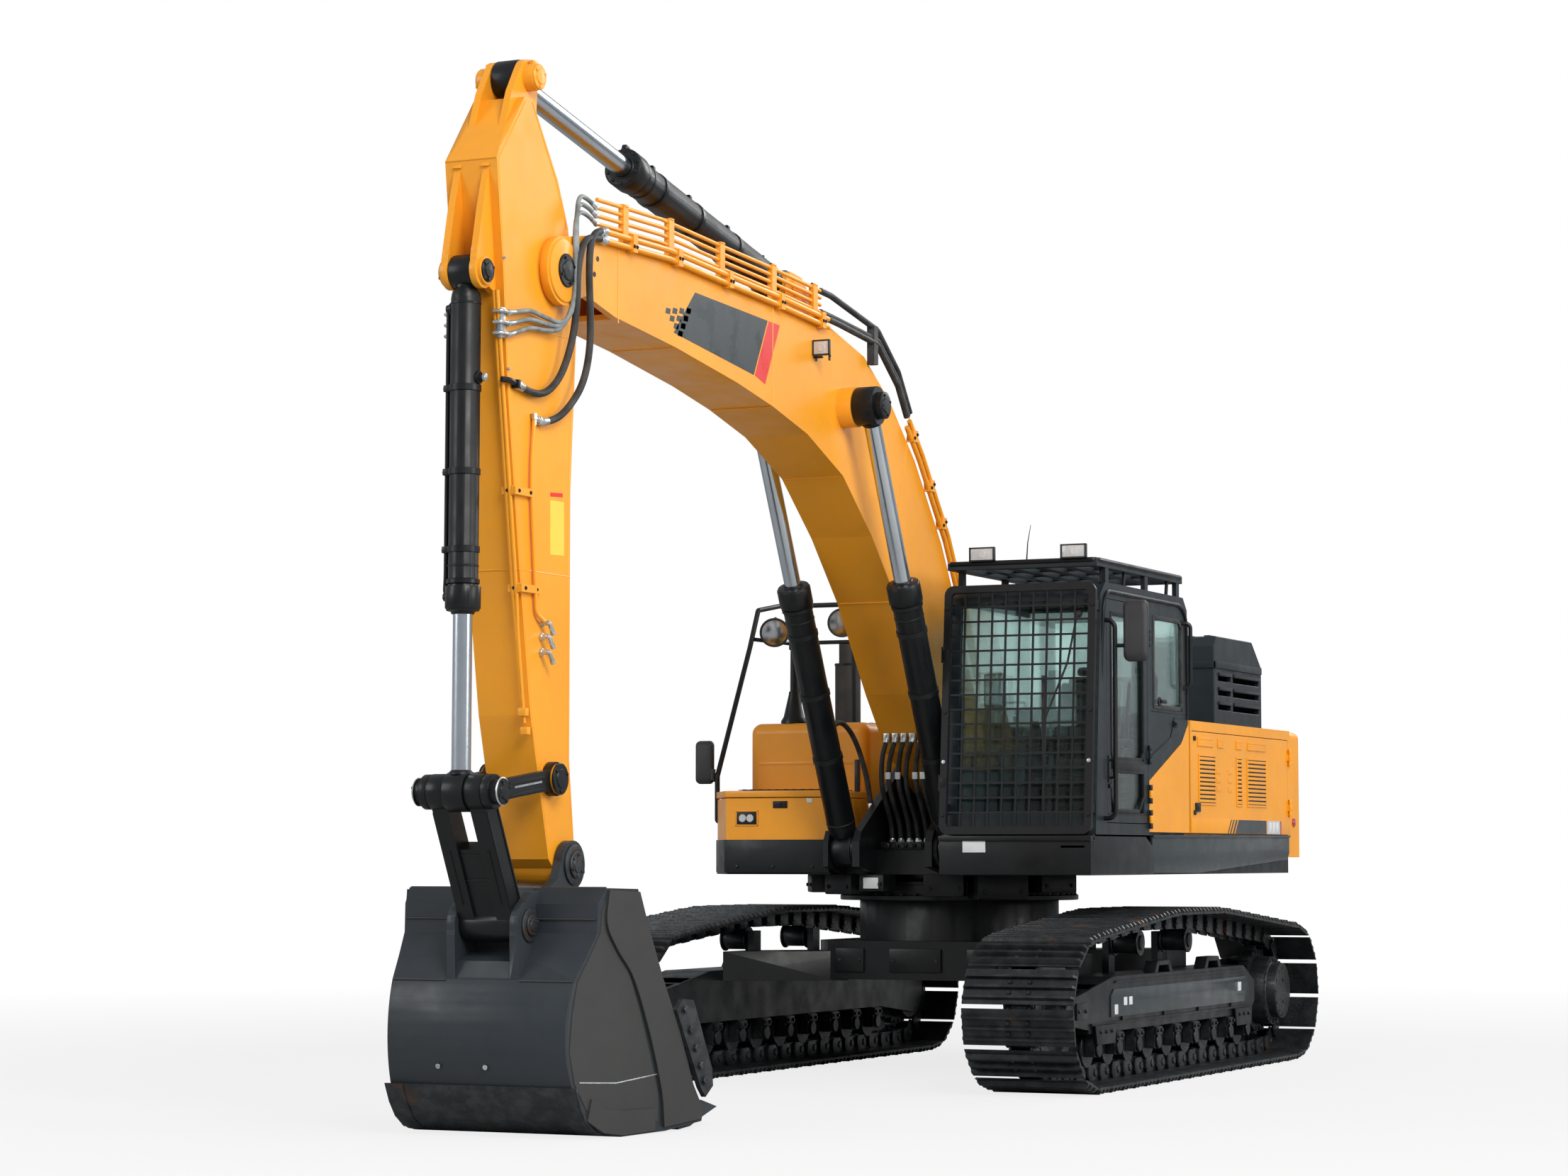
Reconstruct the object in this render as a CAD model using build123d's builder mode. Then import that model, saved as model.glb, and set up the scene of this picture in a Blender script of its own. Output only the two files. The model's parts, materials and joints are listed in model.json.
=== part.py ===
"""Crawler excavator of the 36 tonne class, as an assembly of separate pieces.

Millimetres. The origin is on the ground under the swing axis. The machine faces -Y, its left side (the
cab's side) is +X, and +Z is up. The working arm stands as parked, with the bucket on the ground.
Points of side views are (y, z) and points of plan views are (x, y).
"""
import os
from math import acos, atan2, cos, degrees, hypot, pi, radians, sin

from build123d import *

os.makedirs("parts", exist_ok=True)

# ---------------------------------------------------------------- driving dimensions
SIDES = (-1, 1)                 # right side, left side

# crawler
track_gauge = 2740.0            # between the tracks' middles
tumbler_distance = 4180.0       # from idler axle to sprocket axle
shoe_width = 700.0
shoe_pitch = 216.0              # nominal length of one shoe along the chain
pitch_radius = 382.0            # of the chain's pin line on idler and sprocket
link_half_height = 50.0         # chain link, each side of the pin line
shoe_plate = 14.0
grouser_height = 28.0
chain_width = 190.0
carrier_rise = 130.0            # of the pin line at the carrier rollers above the wheels' tops
carrier_places = (-560.0, 400.0)
lower_roller_count = 9
roller_gap = 0.3                # running gap between a roller and the chain

# slewing platform
platform_bottom = 1290.0
platform_top = 1450.0
bearing_radius = 740.0
house_half_width = 1500.0
tail_radius = 3280.0
counterweight_front = 2620.0
house_top = 2300.0
sill = 1560.0                   # lower edge of the side panels
panel_wall = 45.0

# cab
cab_inner_x, cab_outer_x = 500.0, house_half_width
cab_front_y, cab_rear_y = -1500.0, 300.0
cab_bottom, cab_top = 1540.0, 3100.0
cab_lean = 120.0                # of the front, over the cab's height
cab_wall = 40.0
door_front_y, door_rear_y = -1290.0, -510.0
door_bottom, door_top = 1610.0, 3000.0
door_gap = 5.0
glass = 8.0

# pivots of the working arm, as (y, z)
boom_foot = (-150.0, 1950.0)
boom_cylinder_foot = (-1020.0, 1450.0)
boom_cylinder_head = (-2370.0, 4130.0)
arm_pivot = (-5975.0, 4430.0)
arm_cylinder_foot = (-2889.0, 4798.0)
arm_cylinder_head = (-6183.0, 5410.0)
bucket_cylinder_foot = (-6630.0, 4340.0)
link_pivot = (-6650.0, 1725.0)
rocker_pivot = (-6010.0, 1800.0)
bucket_link_pivot = (-6310.0, 1060.0)
bucket_pivot = (-5840.0, 1361.0)

# lateral sizes of the working arm, as half widths
boom_half = 205.0
boom_plate = 30.0
arm_half = 150.0
arm_plate = 25.0
arm_fork_gap = 12.0             # between the arm and the boom's fork, each side
boom_cylinder_offset = 167.0    # of the boom cylinders' middles from the boom's sides
boom_cylinder_x = boom_half + boom_cylinder_offset
bucket_back_half = 510.0        # of the bucket at its back, where it is narrowest
bucket_back_y = -6480.0
bucket_taper = 0.2              # each side widens this much per length towards the lip
pin_gap = 0.08                  # running gap of a pin in its bore, radial
ear_gap = 7.0                   # between an eye and the ear beside it

# hinges of doors, hood and lid
hinge_pin, hinge_knuckle = 7.0, 12.0        # radii
hinge_out = 15.0                # of an upright hinge's axis from the outer face
hinge_leaf = 6.0                # thickness of a leaf


# ---------------------------------------------------------------- small shapes
def slab(points, x0, x1, mode=Mode.ADD):
    """A flat piece with the side view given by (y, z) points, from x0 to x1."""
    with BuildSketch(Plane.YZ.offset(x0)) as outline:
        with BuildLine():
            Polyline(*points, close=True)
        make_face()
    extrude(outline.sketch, amount=x1 - x0, mode=mode)


def cavity(points, plate, x0, x1, kept=()):
    """Cut the inside of such a piece, drawn in by its plates; kept areas are (centre, width, height)."""
    with BuildSketch(Plane.YZ.offset(x0)) as outline:
        with BuildLine():
            Polyline(*points, close=True)
        make_face()
        offset(amount=-plate, kind=Kind.INTERSECTION)
        for centre, width, height in kept:
            with Locations(centre):
                Rectangle(width, height, mode=Mode.SUBTRACT)
    extrude(outline.sketch, amount=x1 - x0, mode=Mode.SUBTRACT)


def disc(centre, radius, x0, x1, mode=Mode.ADD):
    """A round piece across the machine, about the (y, z) centre, from x0 to x1."""
    with BuildSketch(Plane.YZ.offset(x0)) as outline:
        with Locations(centre):
            Circle(radius)
    extrude(outline.sketch, amount=x1 - x0, mode=mode)


def prism(points, z0, z1, mode=Mode.ADD):
    """An upright piece with the plan given by (x, y) points, from z0 to z1."""
    with BuildSketch(Plane.XY.offset(z0)) as outline:
        with BuildLine():
            Polyline(*points, close=True)
        make_face()
    extrude(outline.sketch, amount=z1 - z0, mode=mode)


def post(centre, radius, z0, z1, mode=Mode.ADD):
    """An upright round piece about the (x, y) centre."""
    with BuildSketch(Plane.XY.offset(z0)) as outline:
        with Locations(centre):
            Circle(radius)
    extrude(outline.sketch, amount=z1 - z0, mode=mode)


def block(low, high, mode=Mode.ADD):
    """A box between two opposite corners."""
    centre = [(a + b) / 2 for a, b in zip(low, high)]
    with Locations(tuple(centre)):
        Box(*[b - a for a, b in zip(low, high)], mode=mode)


def bar(start, end, radius, mode=Mode.ADD):
    """A round bar between two points in space."""
    way = Vector(*end) - Vector(*start)
    with BuildSketch(Plane(origin=start, z_dir=way)) as outline:
        Circle(radius)
    extrude(outline.sketch, amount=way.length, mode=mode)


def pipe(points, bend, radius):
    """A bent round tube through points in space, with one bend radius."""
    with BuildLine() as way:
        FilletPolyline(*points, radius=bend)
    with BuildSketch(Plane(origin=way.line @ 0, z_dir=way.line % 0)) as outline:
        Circle(radius)
    sweep(outline.sketch, path=way.line)


def hinge_post(x, y, z, leaf_low, leaf_high):
    """The fixed half of an upright hinge: pin, two knuckles and their leaves between two (x, y) corners."""
    post((x, y), hinge_pin, z - 60, z + 60)
    for z0, z1 in ((z - 60, z - 25), (z + 25, z + 60)):
        post((x, y), hinge_knuckle, z0, z1)
        block((*leaf_low, z0), (*leaf_high, z1))


def hinge_eye(x, y, z, leaf_low, leaf_high):
    """The moving half of an upright hinge: one knuckle, bored for the pin, and its leaf."""
    post((x, y), hinge_knuckle, z - 24.7, z + 24.7)
    block((*leaf_low, z - 24.7), (*leaf_high, z + 24.7))
    post((x, y), hinge_pin + pin_gap, z - 25, z + 25, Mode.SUBTRACT)


def between(side, x0, x1):
    """The two offsets of a piece that lies from x0 to x1 on one side, lowest first."""
    return sorted((side * x0, side * x1))


def save(piece, name):
    piece.part.label = name
    export_step(piece.part, f"parts/{name}.step")


# ---------------------------------------------------------------- track
half_distance = tumbler_distance / 2
pin_line = link_half_height + shoe_plate + grouser_height   # height of the pin line above the ground
wheel_z = pin_line + pitch_radius
carrier_z = wheel_z + pitch_radius + carrier_rise


def chain_path():
    """The closed pin line as (kind, data, length) pieces, from the front of the bottom run to the rear."""
    front, rear = (-half_distance, wheel_z), (half_distance, wheel_z)
    ahead, behind = [(y, carrier_z) for y in carrier_places]

    def touch(wheel, point, turn):
        run = (point[0] - wheel[0], point[1] - wheel[1])
        return atan2(run[1], run[0]) + turn * acos(pitch_radius / hypot(*run))

    def on_wheel(wheel, angle):
        return wheel[0] + pitch_radius * cos(angle), wheel[1] + pitch_radius * sin(angle)

    leave, meet = touch(rear, behind, -1), touch(front, ahead, 1)
    corners = [on_wheel(rear, leave), behind, ahead, on_wheel(front, meet)]
    pieces = [("line", ((-half_distance, pin_line), (half_distance, pin_line)), tumbler_distance),
              ("arc", (rear, -pi / 2), pitch_radius * (leave + pi / 2))]
    for a, b in zip(corners, corners[1:]):
        pieces.append(("line", (a, b), hypot(b[0] - a[0], b[1] - a[1])))
    pieces.append(("arc", (front, meet), pitch_radius * (1.5 * pi - meet)))
    return pieces


def along_chain(pieces, way):
    """The (y, z) point of the pin line at this length from its start."""
    for kind, data, length in pieces:
        if way <= length:
            if kind == "line":
                (y0, z0), (y1, z1) = data
                part = way / length
                return y0 + (y1 - y0) * part, z0 + (z1 - z0) * part
            (y, z), start = data
            angle = start + way / pitch_radius
            return y + pitch_radius * cos(angle), z + pitch_radius * sin(angle)
        way -= length
    return along_chain(pieces, way)


shoe_count = round(sum(length for _, _, length in chain_path()) / shoe_pitch)


def track_outlines():
    """The shoes' outer outline, their inner one, and the chain's outer and inner ones."""
    pieces = chain_path()
    pitch = sum(length for _, _, length in pieces) / shoe_count
    pins = [along_chain(pieces, i * pitch) for i in range(shoe_count)]
    outer, inner, normals = [], [], []
    top = link_half_height + shoe_plate
    for i in range(shoe_count):
        (y0, z0), (y1, z1) = pins[i], pins[(i + 1) % shoe_count]
        chord = hypot(y1 - y0, z1 - z0)
        ty, tz = (y1 - y0) / chord, (z1 - z0) / chord
        normals.append((tz, -ty))

        def at(u, v):
            return (y0 + y1) / 2 + ty * u + tz * v, (z0 + z1) / 2 + tz * u - ty * v

        half = chord / 2 - 4
        shoe = [(-half, link_half_height), (-half, top)]
        for bar_place in (-0.62 * half, 0.0, 0.62 * half):
            shoe += [(bar_place - 15, top), (bar_place - 7, top + grouser_height),
                     (bar_place + 7, top + grouser_height), (bar_place + 15, top)]
        shoe += [(half, top), (half, link_half_height)]
        outer += [at(u, v) for u, v in shoe]
        inner += [at(-half, link_half_height - 6), at(half, link_half_height - 6)]

    def offset_pins(distance):
        ring = []
        for i in range(shoe_count):
            ny = normals[i - 1][0] + normals[i][0]
            nz = normals[i - 1][1] + normals[i][1]
            size = hypot(ny, nz)
            ring.append((pins[i][0] + distance * ny / size, pins[i][1] + distance * nz / size))
        return ring

    return outer, inner, offset_pins(link_half_height), offset_pins(-link_half_height)


shoe_outer, shoe_inner, chain_outer, chain_inner = track_outlines()
with BuildPart() as tracks:
    for side in SIDES:
        middle = side * track_gauge / 2
        slab(shoe_outer, middle - shoe_width / 2, middle + shoe_width / 2)
        slab(shoe_inner, middle - shoe_width / 2, middle + shoe_width / 2, Mode.SUBTRACT)
        slab(chain_outer, middle - chain_width / 2, middle + chain_width / 2)
        slab(chain_inner, middle - chain_width / 2, middle + chain_width / 2, Mode.SUBTRACT)
save(tracks, "tracks")

# ---------------------------------------------------------------- wheels and rollers
wheel_radius = (pitch_radius - link_half_height) * cos(shoe_pitch / (2 * pitch_radius)) - 4
lower_roller_radius = 95.0
lower_roller_z = pin_line + link_half_height + lower_roller_radius + roller_gap
carrier_radius = 70.0
carrier_roller_z = carrier_z - link_half_height - carrier_radius - 6
frame_bottom = lower_roller_z + 100
frame_half = 165.0              # half width of a track frame
roller_span = 3000.0            # from the first lower roller to the last
tread_half = 80.0               # half width of the rollers' treads

with BuildPart() as idlers:
    for side in SIDES:
        x = side * track_gauge / 2
        centre = (-half_distance, wheel_z)
        disc(centre, wheel_radius, x - tread_half, x + tread_half)
        for face in SIDES:
            disc(centre, wheel_radius - 70, *sorted((x + face * 45, x + face * tread_half)), Mode.SUBTRACT)
            disc(centre, 95, *sorted((x + face * 40, x + face * 118)))
        disc(centre, 55, x - frame_half, x + frame_half)
save(idlers, "idlers")

with BuildPart() as final_drives:
    for side in SIDES:
        x = side * track_gauge / 2
        centre = (half_distance, wheel_z)
        disc(centre, wheel_radius - 30, x - 35, x + 35)
        for i in range(11):
            angle = 2 * pi * i / 11
            tooth = (centre[0] + (wheel_radius - 24) * cos(angle),
                     centre[1] + (wheel_radius - 24) * sin(angle))
            disc(tooth, 22, x - 35, x + 35)
        disc(centre, 235, *between(side, track_gauge / 2 - 140, track_gauge / 2 + 150))
        disc(centre, 190, *between(side, track_gauge / 2 + 150, track_gauge / 2 + 215))
save(final_drives, "final_drives")

with BuildPart() as lower_rollers:
    for side in SIDES:
        x = side * track_gauge / 2
        for i in range(lower_roller_count):
            y = -80 - roller_span / 2 + i * roller_span / (lower_roller_count - 1)
            centre = (y, lower_roller_z)
            disc(centre, lower_roller_radius, x - tread_half, x + tread_half)
            disc(centre, 45, x - 150, x + 150)
            for face in SIDES:
                low, high = sorted((x + face * 100, x + face * 160))
                block((low, y - 60, lower_roller_z - 40), (high, y + 60, frame_bottom))
save(lower_rollers, "lower_rollers")

with BuildPart() as carrier_rollers:
    for side in SIDES:
        x = side * track_gauge / 2
        for y in carrier_places:
            centre = (y, carrier_roller_z)
            disc(centre, carrier_radius, x - tread_half, x + tread_half)
            disc(centre, 38, *between(side, track_gauge / 2 - 150, track_gauge / 2 + tread_half))
            low, high = between(side, track_gauge / 2 - 150, track_gauge / 2 - 105)
            block((low, y - 55, 670), (high, y + 55, carrier_roller_z + 55))
save(carrier_rollers, "carrier_rollers")

# ---------------------------------------------------------------- track frames
frame_top = 670.0
with BuildPart() as track_frames:
    for side in SIDES:
        x = side * track_gauge / 2
        slab([(-1740, frame_bottom), (1480, frame_bottom), (1600, 420), (1600, 560), (1350, frame_top),
              (-1300, frame_top), (-1740, 600)], x - frame_half, x + frame_half)
        for face in SIDES:
            low, high = sorted((x + face * 120, x + face * frame_half))
            slab([(-1740, 360), (-1740, 600), (-2130, 545), (-2130, 405)], low, high)
        low, high = between(side, track_gauge / 2 - frame_half, track_gauge / 2 - 140)
        slab([(1480, frame_bottom), (1350, frame_top), (half_distance, wheel_z + 230),
              (half_distance + 180, wheel_z), (half_distance, wheel_z - 200)], low, high)
        block((x - 140, -1700, frame_bottom - 1), (x + 140, 1450, frame_top - 40), Mode.SUBTRACT)
        disc((-half_distance, wheel_z), 55 + pin_gap, x - frame_half, x + frame_half, Mode.SUBTRACT)
save(track_frames, "track_frames")

# ---------------------------------------------------------------- car body and swing bearing
frame_inner_x = track_gauge / 2 - frame_half
with BuildPart() as car_body:
    prism([(-620, -760), (620, -760), (760, -560), (760, 560), (620, 760), (-620, 760), (-760, 560),
           (-760, -560)], 610, 860)
    for side in SIDES:
        for end in SIDES:
            prism([(side * 500, end * 700), (side * 720, end * 330), (side * frame_inner_x, end * 720),
                   (side * frame_inner_x, end * 1120)], 600, 790)
    post((0, 0), bearing_radius - 80, 860, 1120)
    post((0, 0), bearing_radius - 200, 700, 1121, Mode.SUBTRACT)
save(car_body, "car_body")

with BuildPart() as swing_bearing:
    post((0, 0), bearing_radius, 1120, platform_bottom - 45 - roller_gap)
    post((0, 0), bearing_radius - 200, 1120, platform_bottom - 45, Mode.SUBTRACT)
save(swing_bearing, "swing_bearing")

# ---------------------------------------------------------------- slewing platform
platform_front_y = -860.0
platform_half = house_half_width - 20
foot_ear_gap, foot_ear_plate = 20.0, 50.0      # of the boom foot's ears: from the boom's side, and thick
foot_ear = (boom_half + foot_ear_gap, boom_half + foot_ear_gap + foot_ear_plate)
cylinder_eye_half = 65.0
clevis_inner_face = boom_cylinder_x - cylinder_eye_half - ear_gap
clevis_outer = (boom_cylinder_x + cylinder_eye_half + ear_gap,
                boom_cylinder_x + cylinder_eye_half + ear_gap + 35)
foot_pin_radius = 60.0
cylinder_pin_radius = 52.0

with BuildPart() as main_frame:
    prism([(-480, platform_front_y), (480, platform_front_y), (500, -1560), (platform_half, -1560),
           (platform_half, counterweight_front),
           (-platform_half, counterweight_front), (-platform_half, -640), (-1240, -985), (-500, -985)],
          platform_bottom, platform_top)
    prism([(560, -1500), (1420, -1500), (1420, -700), (560, -700)], platform_bottom - 1,
          platform_top - 40, Mode.SUBTRACT)
    for side in SIDES:
        for y0, y1 in ((-640, 800), (860, 1560), (1620, counterweight_front - 60)):
            block((*between(side, 790, 1420)[:1], y0, platform_bottom - 1),
                  (*between(side, 790, 1420)[1:], y1, platform_top - 40), Mode.SUBTRACT)
        block((*between(side, 60, 720)[:1], 860, platform_bottom - 1),
              (*between(side, 60, 720)[1:], counterweight_front - 60, platform_top - 40), Mode.SUBTRACT)
    post((0, 0), bearing_radius - 60, platform_bottom - 45, platform_bottom)
    for side in SIDES:
        slab([(-1150, 1340), (-860, platform_bottom), (590, platform_bottom), (590, platform_top),
              (60, 2060), (-80, 2130), (-230, 2130), (-900, 1700), (-1110, 1570), (-1150, 1500)],
             *between(side, *foot_ear))
        disc(boom_cylinder_foot, 110, *between(side, foot_ear[0], clevis_inner_face))
        slab([(-1150, 1340), (-860, platform_bottom), (-700, platform_bottom), (-700, platform_top),
              (-930, 1570), (-1110, 1570), (-1150, 1500)], *between(side, *clevis_outer))
        disc(boom_cylinder_foot, cylinder_pin_radius, *between(side, foot_ear[1] - 20, clevis_outer[1] + 8))
    disc(boom_foot, foot_pin_radius, -foot_ear[1] - 20, foot_ear[1] + 20)
save(main_frame, "main_frame")

with BuildPart() as counterweight:
    with BuildSketch(Plane.XY.offset(1400)) as plan:
        Circle(tail_radius)
        with Locations((0, counterweight_front - tail_radius)):
            Rectangle(4 * tail_radius, 2 * tail_radius, mode=Mode.SUBTRACT)
        with Locations((0, 0)):
            Rectangle(2 * (house_half_width - 20), 2 * tail_radius, mode=Mode.INTERSECT)
    extrude(plan.sketch, amount=house_top - 1400)
    fillet(counterweight.edges().filter_by(Axis.Z).sort_by(Axis.Y)[2:], 60)
    fillet(counterweight.faces().sort_by(Axis.Z)[-1].edges().sort_by(Axis.Y)[1:], 50)
    with BuildSketch(Plane.XY.offset(1480)) as room:
        Circle(tail_radius - 250)
        with Locations((0, counterweight_front - tail_radius - 1)):
            Rectangle(4 * tail_radius, 2 * tail_radius, mode=Mode.SUBTRACT)
        Rectangle(2 * 1300, 3 * tail_radius, mode=Mode.INTERSECT)
    extrude(room.sketch, amount=house_top - 1560, mode=Mode.SUBTRACT)
save(counterweight, "counterweight")

with BuildPart() as engine:
    block((-700, 1250, platform_top), (450, counterweight_front - 120, 2150))
save(engine, "engine")

# ---------------------------------------------------------------- side panels, covers and their doors
left_door_split = 350.0
door_thickness = 25.0
left_front_outline = [(-490, sill), (-480, 1885), (180, 2145), (left_door_split - 30, 2270),
                      (left_door_split - 30, sill)]
left_rear_door_y = (left_door_split + 30, counterweight_front - 60)
rear_door_z = (sill + 70, 2230.0)
right_door_y = (1050.0, counterweight_front - 60)
panel_x = (house_half_width - panel_wall, house_half_width)
rear_hinge_y = counterweight_front - 50
door_hinge_z = (1750.0, 2110.0)
front_hinge = (house_half_width + hinge_out, -500.0)
front_hinge_z = (1640.0, 1800.0)

with BuildPart() as left_panel:
    block((panel_x[0], left_door_split, sill), (panel_x[1], counterweight_front - door_gap, house_top))
    block((panel_x[0] - 1, left_rear_door_y[0] - door_gap, rear_door_z[0] - door_gap),
          (panel_x[1] + 1, left_rear_door_y[1] + door_gap, rear_door_z[1] + door_gap), Mode.SUBTRACT)
    block((panel_x[0] - 30, left_door_split, platform_top),
          (panel_x[0], counterweight_front - door_gap, house_top))
    block((panel_x[0] - 31, left_rear_door_y[0] + 40, rear_door_z[0] + 40),
          (panel_x[0] + 1, left_rear_door_y[1] - 40, rear_door_z[1] - 40), Mode.SUBTRACT)
    for z in door_hinge_z:
        hinge_post(house_half_width + hinge_out, rear_hinge_y, z, (house_half_width, rear_hinge_y),
                   (house_half_width + hinge_leaf, rear_hinge_y + 35))
save(left_panel, "left_side_panel")

with BuildPart() as right_panel:
    block((-panel_x[1], 620, sill), (-panel_x[0], counterweight_front - door_gap, house_top))
    block((-panel_x[1] - 1, right_door_y[0] - door_gap, rear_door_z[0] - door_gap),
          (-panel_x[0] + 1, right_door_y[1] + door_gap, rear_door_z[1] + door_gap), Mode.SUBTRACT)
    block((-panel_x[0], 620, platform_top), (-panel_x[0] + 30, counterweight_front - door_gap, house_top))
    block((-panel_x[0] - 1, right_door_y[0] + 40, rear_door_z[0] + 40),
          (-panel_x[0] + 31, right_door_y[1] - 40, rear_door_z[1] - 40), Mode.SUBTRACT)
    for z in door_hinge_z:
        hinge_post(-house_half_width - hinge_out, rear_hinge_y, z,
                   (-house_half_width - hinge_leaf, rear_hinge_y),
                   (-house_half_width, rear_hinge_y + 35))
save(right_panel, "right_side_panel")

with BuildPart() as left_front_door:
    slab(left_front_outline, panel_x[1] - door_thickness, panel_x[1])
    for z in front_hinge_z:
        hinge_eye(*front_hinge, z, (panel_x[1], front_hinge[1]),
                  (panel_x[1] + hinge_leaf, front_hinge[1] + 40))
save(left_front_door, "left_front_door")

with BuildPart() as left_rear_door:
    block((panel_x[1] - door_thickness, left_rear_door_y[0], rear_door_z[0]),
          (panel_x[1], left_rear_door_y[1], rear_door_z[1]))
    for z in door_hinge_z:
        hinge_eye(panel_x[1] + hinge_out, rear_hinge_y, z, (panel_x[1], rear_hinge_y - 40),
                  (panel_x[1] + hinge_leaf, rear_hinge_y))
save(left_rear_door, "left_rear_door")

with BuildPart() as right_door:
    block((-panel_x[1], right_door_y[0], rear_door_z[0]),
          (-panel_x[1] + door_thickness, right_door_y[1], rear_door_z[1]))
    for z in door_hinge_z:
        hinge_eye(-panel_x[1] - hinge_out, rear_hinge_y, z, (-panel_x[1] - hinge_leaf, rear_hinge_y - 40),
                  (-panel_x[1], rear_hinge_y))
save(right_door, "right_side_door")

hood_x = (-1050.0, 450.0)
hood_y = (1150.0, counterweight_front - 30)
hood_z = (house_top + 5, 2440.0)
deck_thickness = 20.0
deck_front_y, deck_step_y, deck_step_x = 620.0, 320.0, 320.0
inner_x = panel_x[0] - 30
deck_rear_y = counterweight_front - door_gap
hood_hinge = (hood_y[1] + 13, house_top + 11)
hood_hinge_x = (hood_x[0] + 250, hood_x[1] - 250)
with BuildPart() as top_deck:
    prism([(-inner_x, deck_front_y), (deck_step_x, deck_front_y), (deck_step_x, deck_step_y),
           (inner_x, deck_step_y),
           (inner_x, deck_rear_y), (-inner_x, deck_rear_y)], platform_top, house_top)
    prism([(-inner_x - 1, deck_front_y + 30), (deck_step_x + 30, deck_front_y + 30),
           (deck_step_x + 30, deck_step_y + 30), (inner_x + 1, deck_step_y + 30),
           (inner_x + 1, deck_rear_y + 1),
           (-inner_x - 1, deck_rear_y + 1)], platform_top - 1, house_top - deck_thickness, Mode.SUBTRACT)
    block((hood_x[0] + 60, hood_y[0] + 60, house_top - deck_thickness - 1),
          (hood_x[1] - 60, hood_y[1] - 60, house_top + 1), Mode.SUBTRACT)
    for x in hood_hinge_x:
        bar((x - 60, *hood_hinge), (x + 60, *hood_hinge), hinge_pin)
        for x0 in (x - 60, x + 25):
            disc(hood_hinge, 10, x0, x0 + 35)
            block((x0, hood_hinge[0] - 8, house_top - 1), (x0 + 35, hood_hinge[0] + 8, hood_hinge[1]))
save(top_deck, "top_deck")

with BuildPart() as hood:
    block((hood_x[0], hood_y[0], hood_z[0]), (hood_x[1], hood_y[1], hood_z[1]))
    fillet(hood.edges().filter_by(Axis.Z) + hood.faces().sort_by(Axis.Z)[-1].edges(), 50)
    block((hood_x[0] + 20, hood_y[0] + 20, hood_z[0] - 1),
          (hood_x[1] - 20, hood_y[1] - 20, hood_z[1] - 20), Mode.SUBTRACT)
    for x in hood_hinge_x:
        disc(hood_hinge, 10, x - 24.7, x + 24.7)
        block((x - 24.7, hood_y[1] - 1, hood_hinge[1] + 1), (x + 24.7, hood_hinge[0], hood_hinge[1] + 9))
        disc(hood_hinge, hinge_pin + pin_gap, x - 25, x + 25, Mode.SUBTRACT)
save(hood, "engine_hood")

air_x, air_y, air_z = (560.0, 1300.0), (1500.0, counterweight_front - 20), (house_top, 2930.0)
with BuildPart() as air_box:
    slab([(air_y[0], air_z[0]), (air_y[1], air_z[0]), (air_y[1], 2760), (air_y[1] - 220, air_z[1]),
          (air_y[0] + 60, air_z[1]), (air_y[0], 2860)], *air_x)
    block((air_x[0] + 40, air_y[0] + 40, air_z[0] - 1), (air_x[1] - 40, air_y[1] - 40, 2740), Mode.SUBTRACT)
    for z in (2420, 2520, 2620):
        for y0, y1 in ((air_y[0] + 90, air_y[0] + 380), (air_y[0] + 430, air_y[1] - 60)):
            block((air_x[1] - 41, y0, z), (air_x[1] + 1, y1, z + 55), Mode.SUBTRACT)
save(air_box, "air_box")

# ---------------------------------------------------------------- right front: tool box, fuel tank
box_x = (10.0 - house_half_width, -500.0)
box_y = (-1000.0, -330.0)
box_corner = (box_x[0] + 250, -610.0)   # where the front corner's cut starts, across and along
tank_x = (box_x[0] + 90, -530.0)
box_z = (sill - 20, 1830.0)
tank_y = (-310.0, 610.0)
lid_thickness = 40.0
lid_hinge = (box_y[1] + 8, box_z[1] + 8)
lid_hinge_x = (box_x[0] + 200, box_x[1] - 200)
box_wall = 40.0


def box_plan(wall, z0, z1, mode=Mode.ADD):
    """The tool box's plan with its cut corner, drawn in by the wall."""
    with BuildSketch(Plane.XY.offset(z0)) as outline:
        with BuildLine():
            Polyline((box_x[1], box_y[0]), (box_corner[0], box_y[0]), (box_x[0], box_corner[1]),
                     (box_x[0], box_y[1]), (box_x[1], box_y[1]), close=True)
        make_face()
        if wall:
            offset(amount=-wall, kind=Kind.INTERSECTION)
    extrude(outline.sketch, amount=z1 - z0, mode=mode)


with BuildPart() as tool_box:
    box_plan(0, platform_top, box_z[1] - lid_thickness - door_gap)
    box_plan(box_wall, platform_top + 60, box_z[1], Mode.SUBTRACT)
    for x in lid_hinge_x:
        disc(lid_hinge, 5, x - 60, x + 60)
        for x0 in (x - 60, x + 25):
            disc(lid_hinge, 9, x0, x0 + 35)
            block((x0, lid_hinge[0] - 3, 1700), (x0 + 35, lid_hinge[0] + 6, lid_hinge[1]))
            block((x0, box_y[1] - 1, 1700), (x0 + 35, lid_hinge[0] + 6, 1780))
save(tool_box, "tool_box")

with BuildPart() as tool_lid:
    box_plan(0, box_z[1] - lid_thickness, box_z[1])
    for x in lid_hinge_x:
        disc(lid_hinge, 9, x - 24.7, x + 24.7)
        block((x - 24.7, box_y[1] - 40, box_z[1]), (x + 24.7, lid_hinge[0], box_z[1] + 4))
        block((x - 24.7, lid_hinge[0] - 12, box_z[1]), (x + 24.7, lid_hinge[0], box_z[1] + 12))
        disc(lid_hinge, 5 + pin_gap, x - 25, x + 25, Mode.SUBTRACT)
save(tool_lid, "tool_box_lid")

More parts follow.
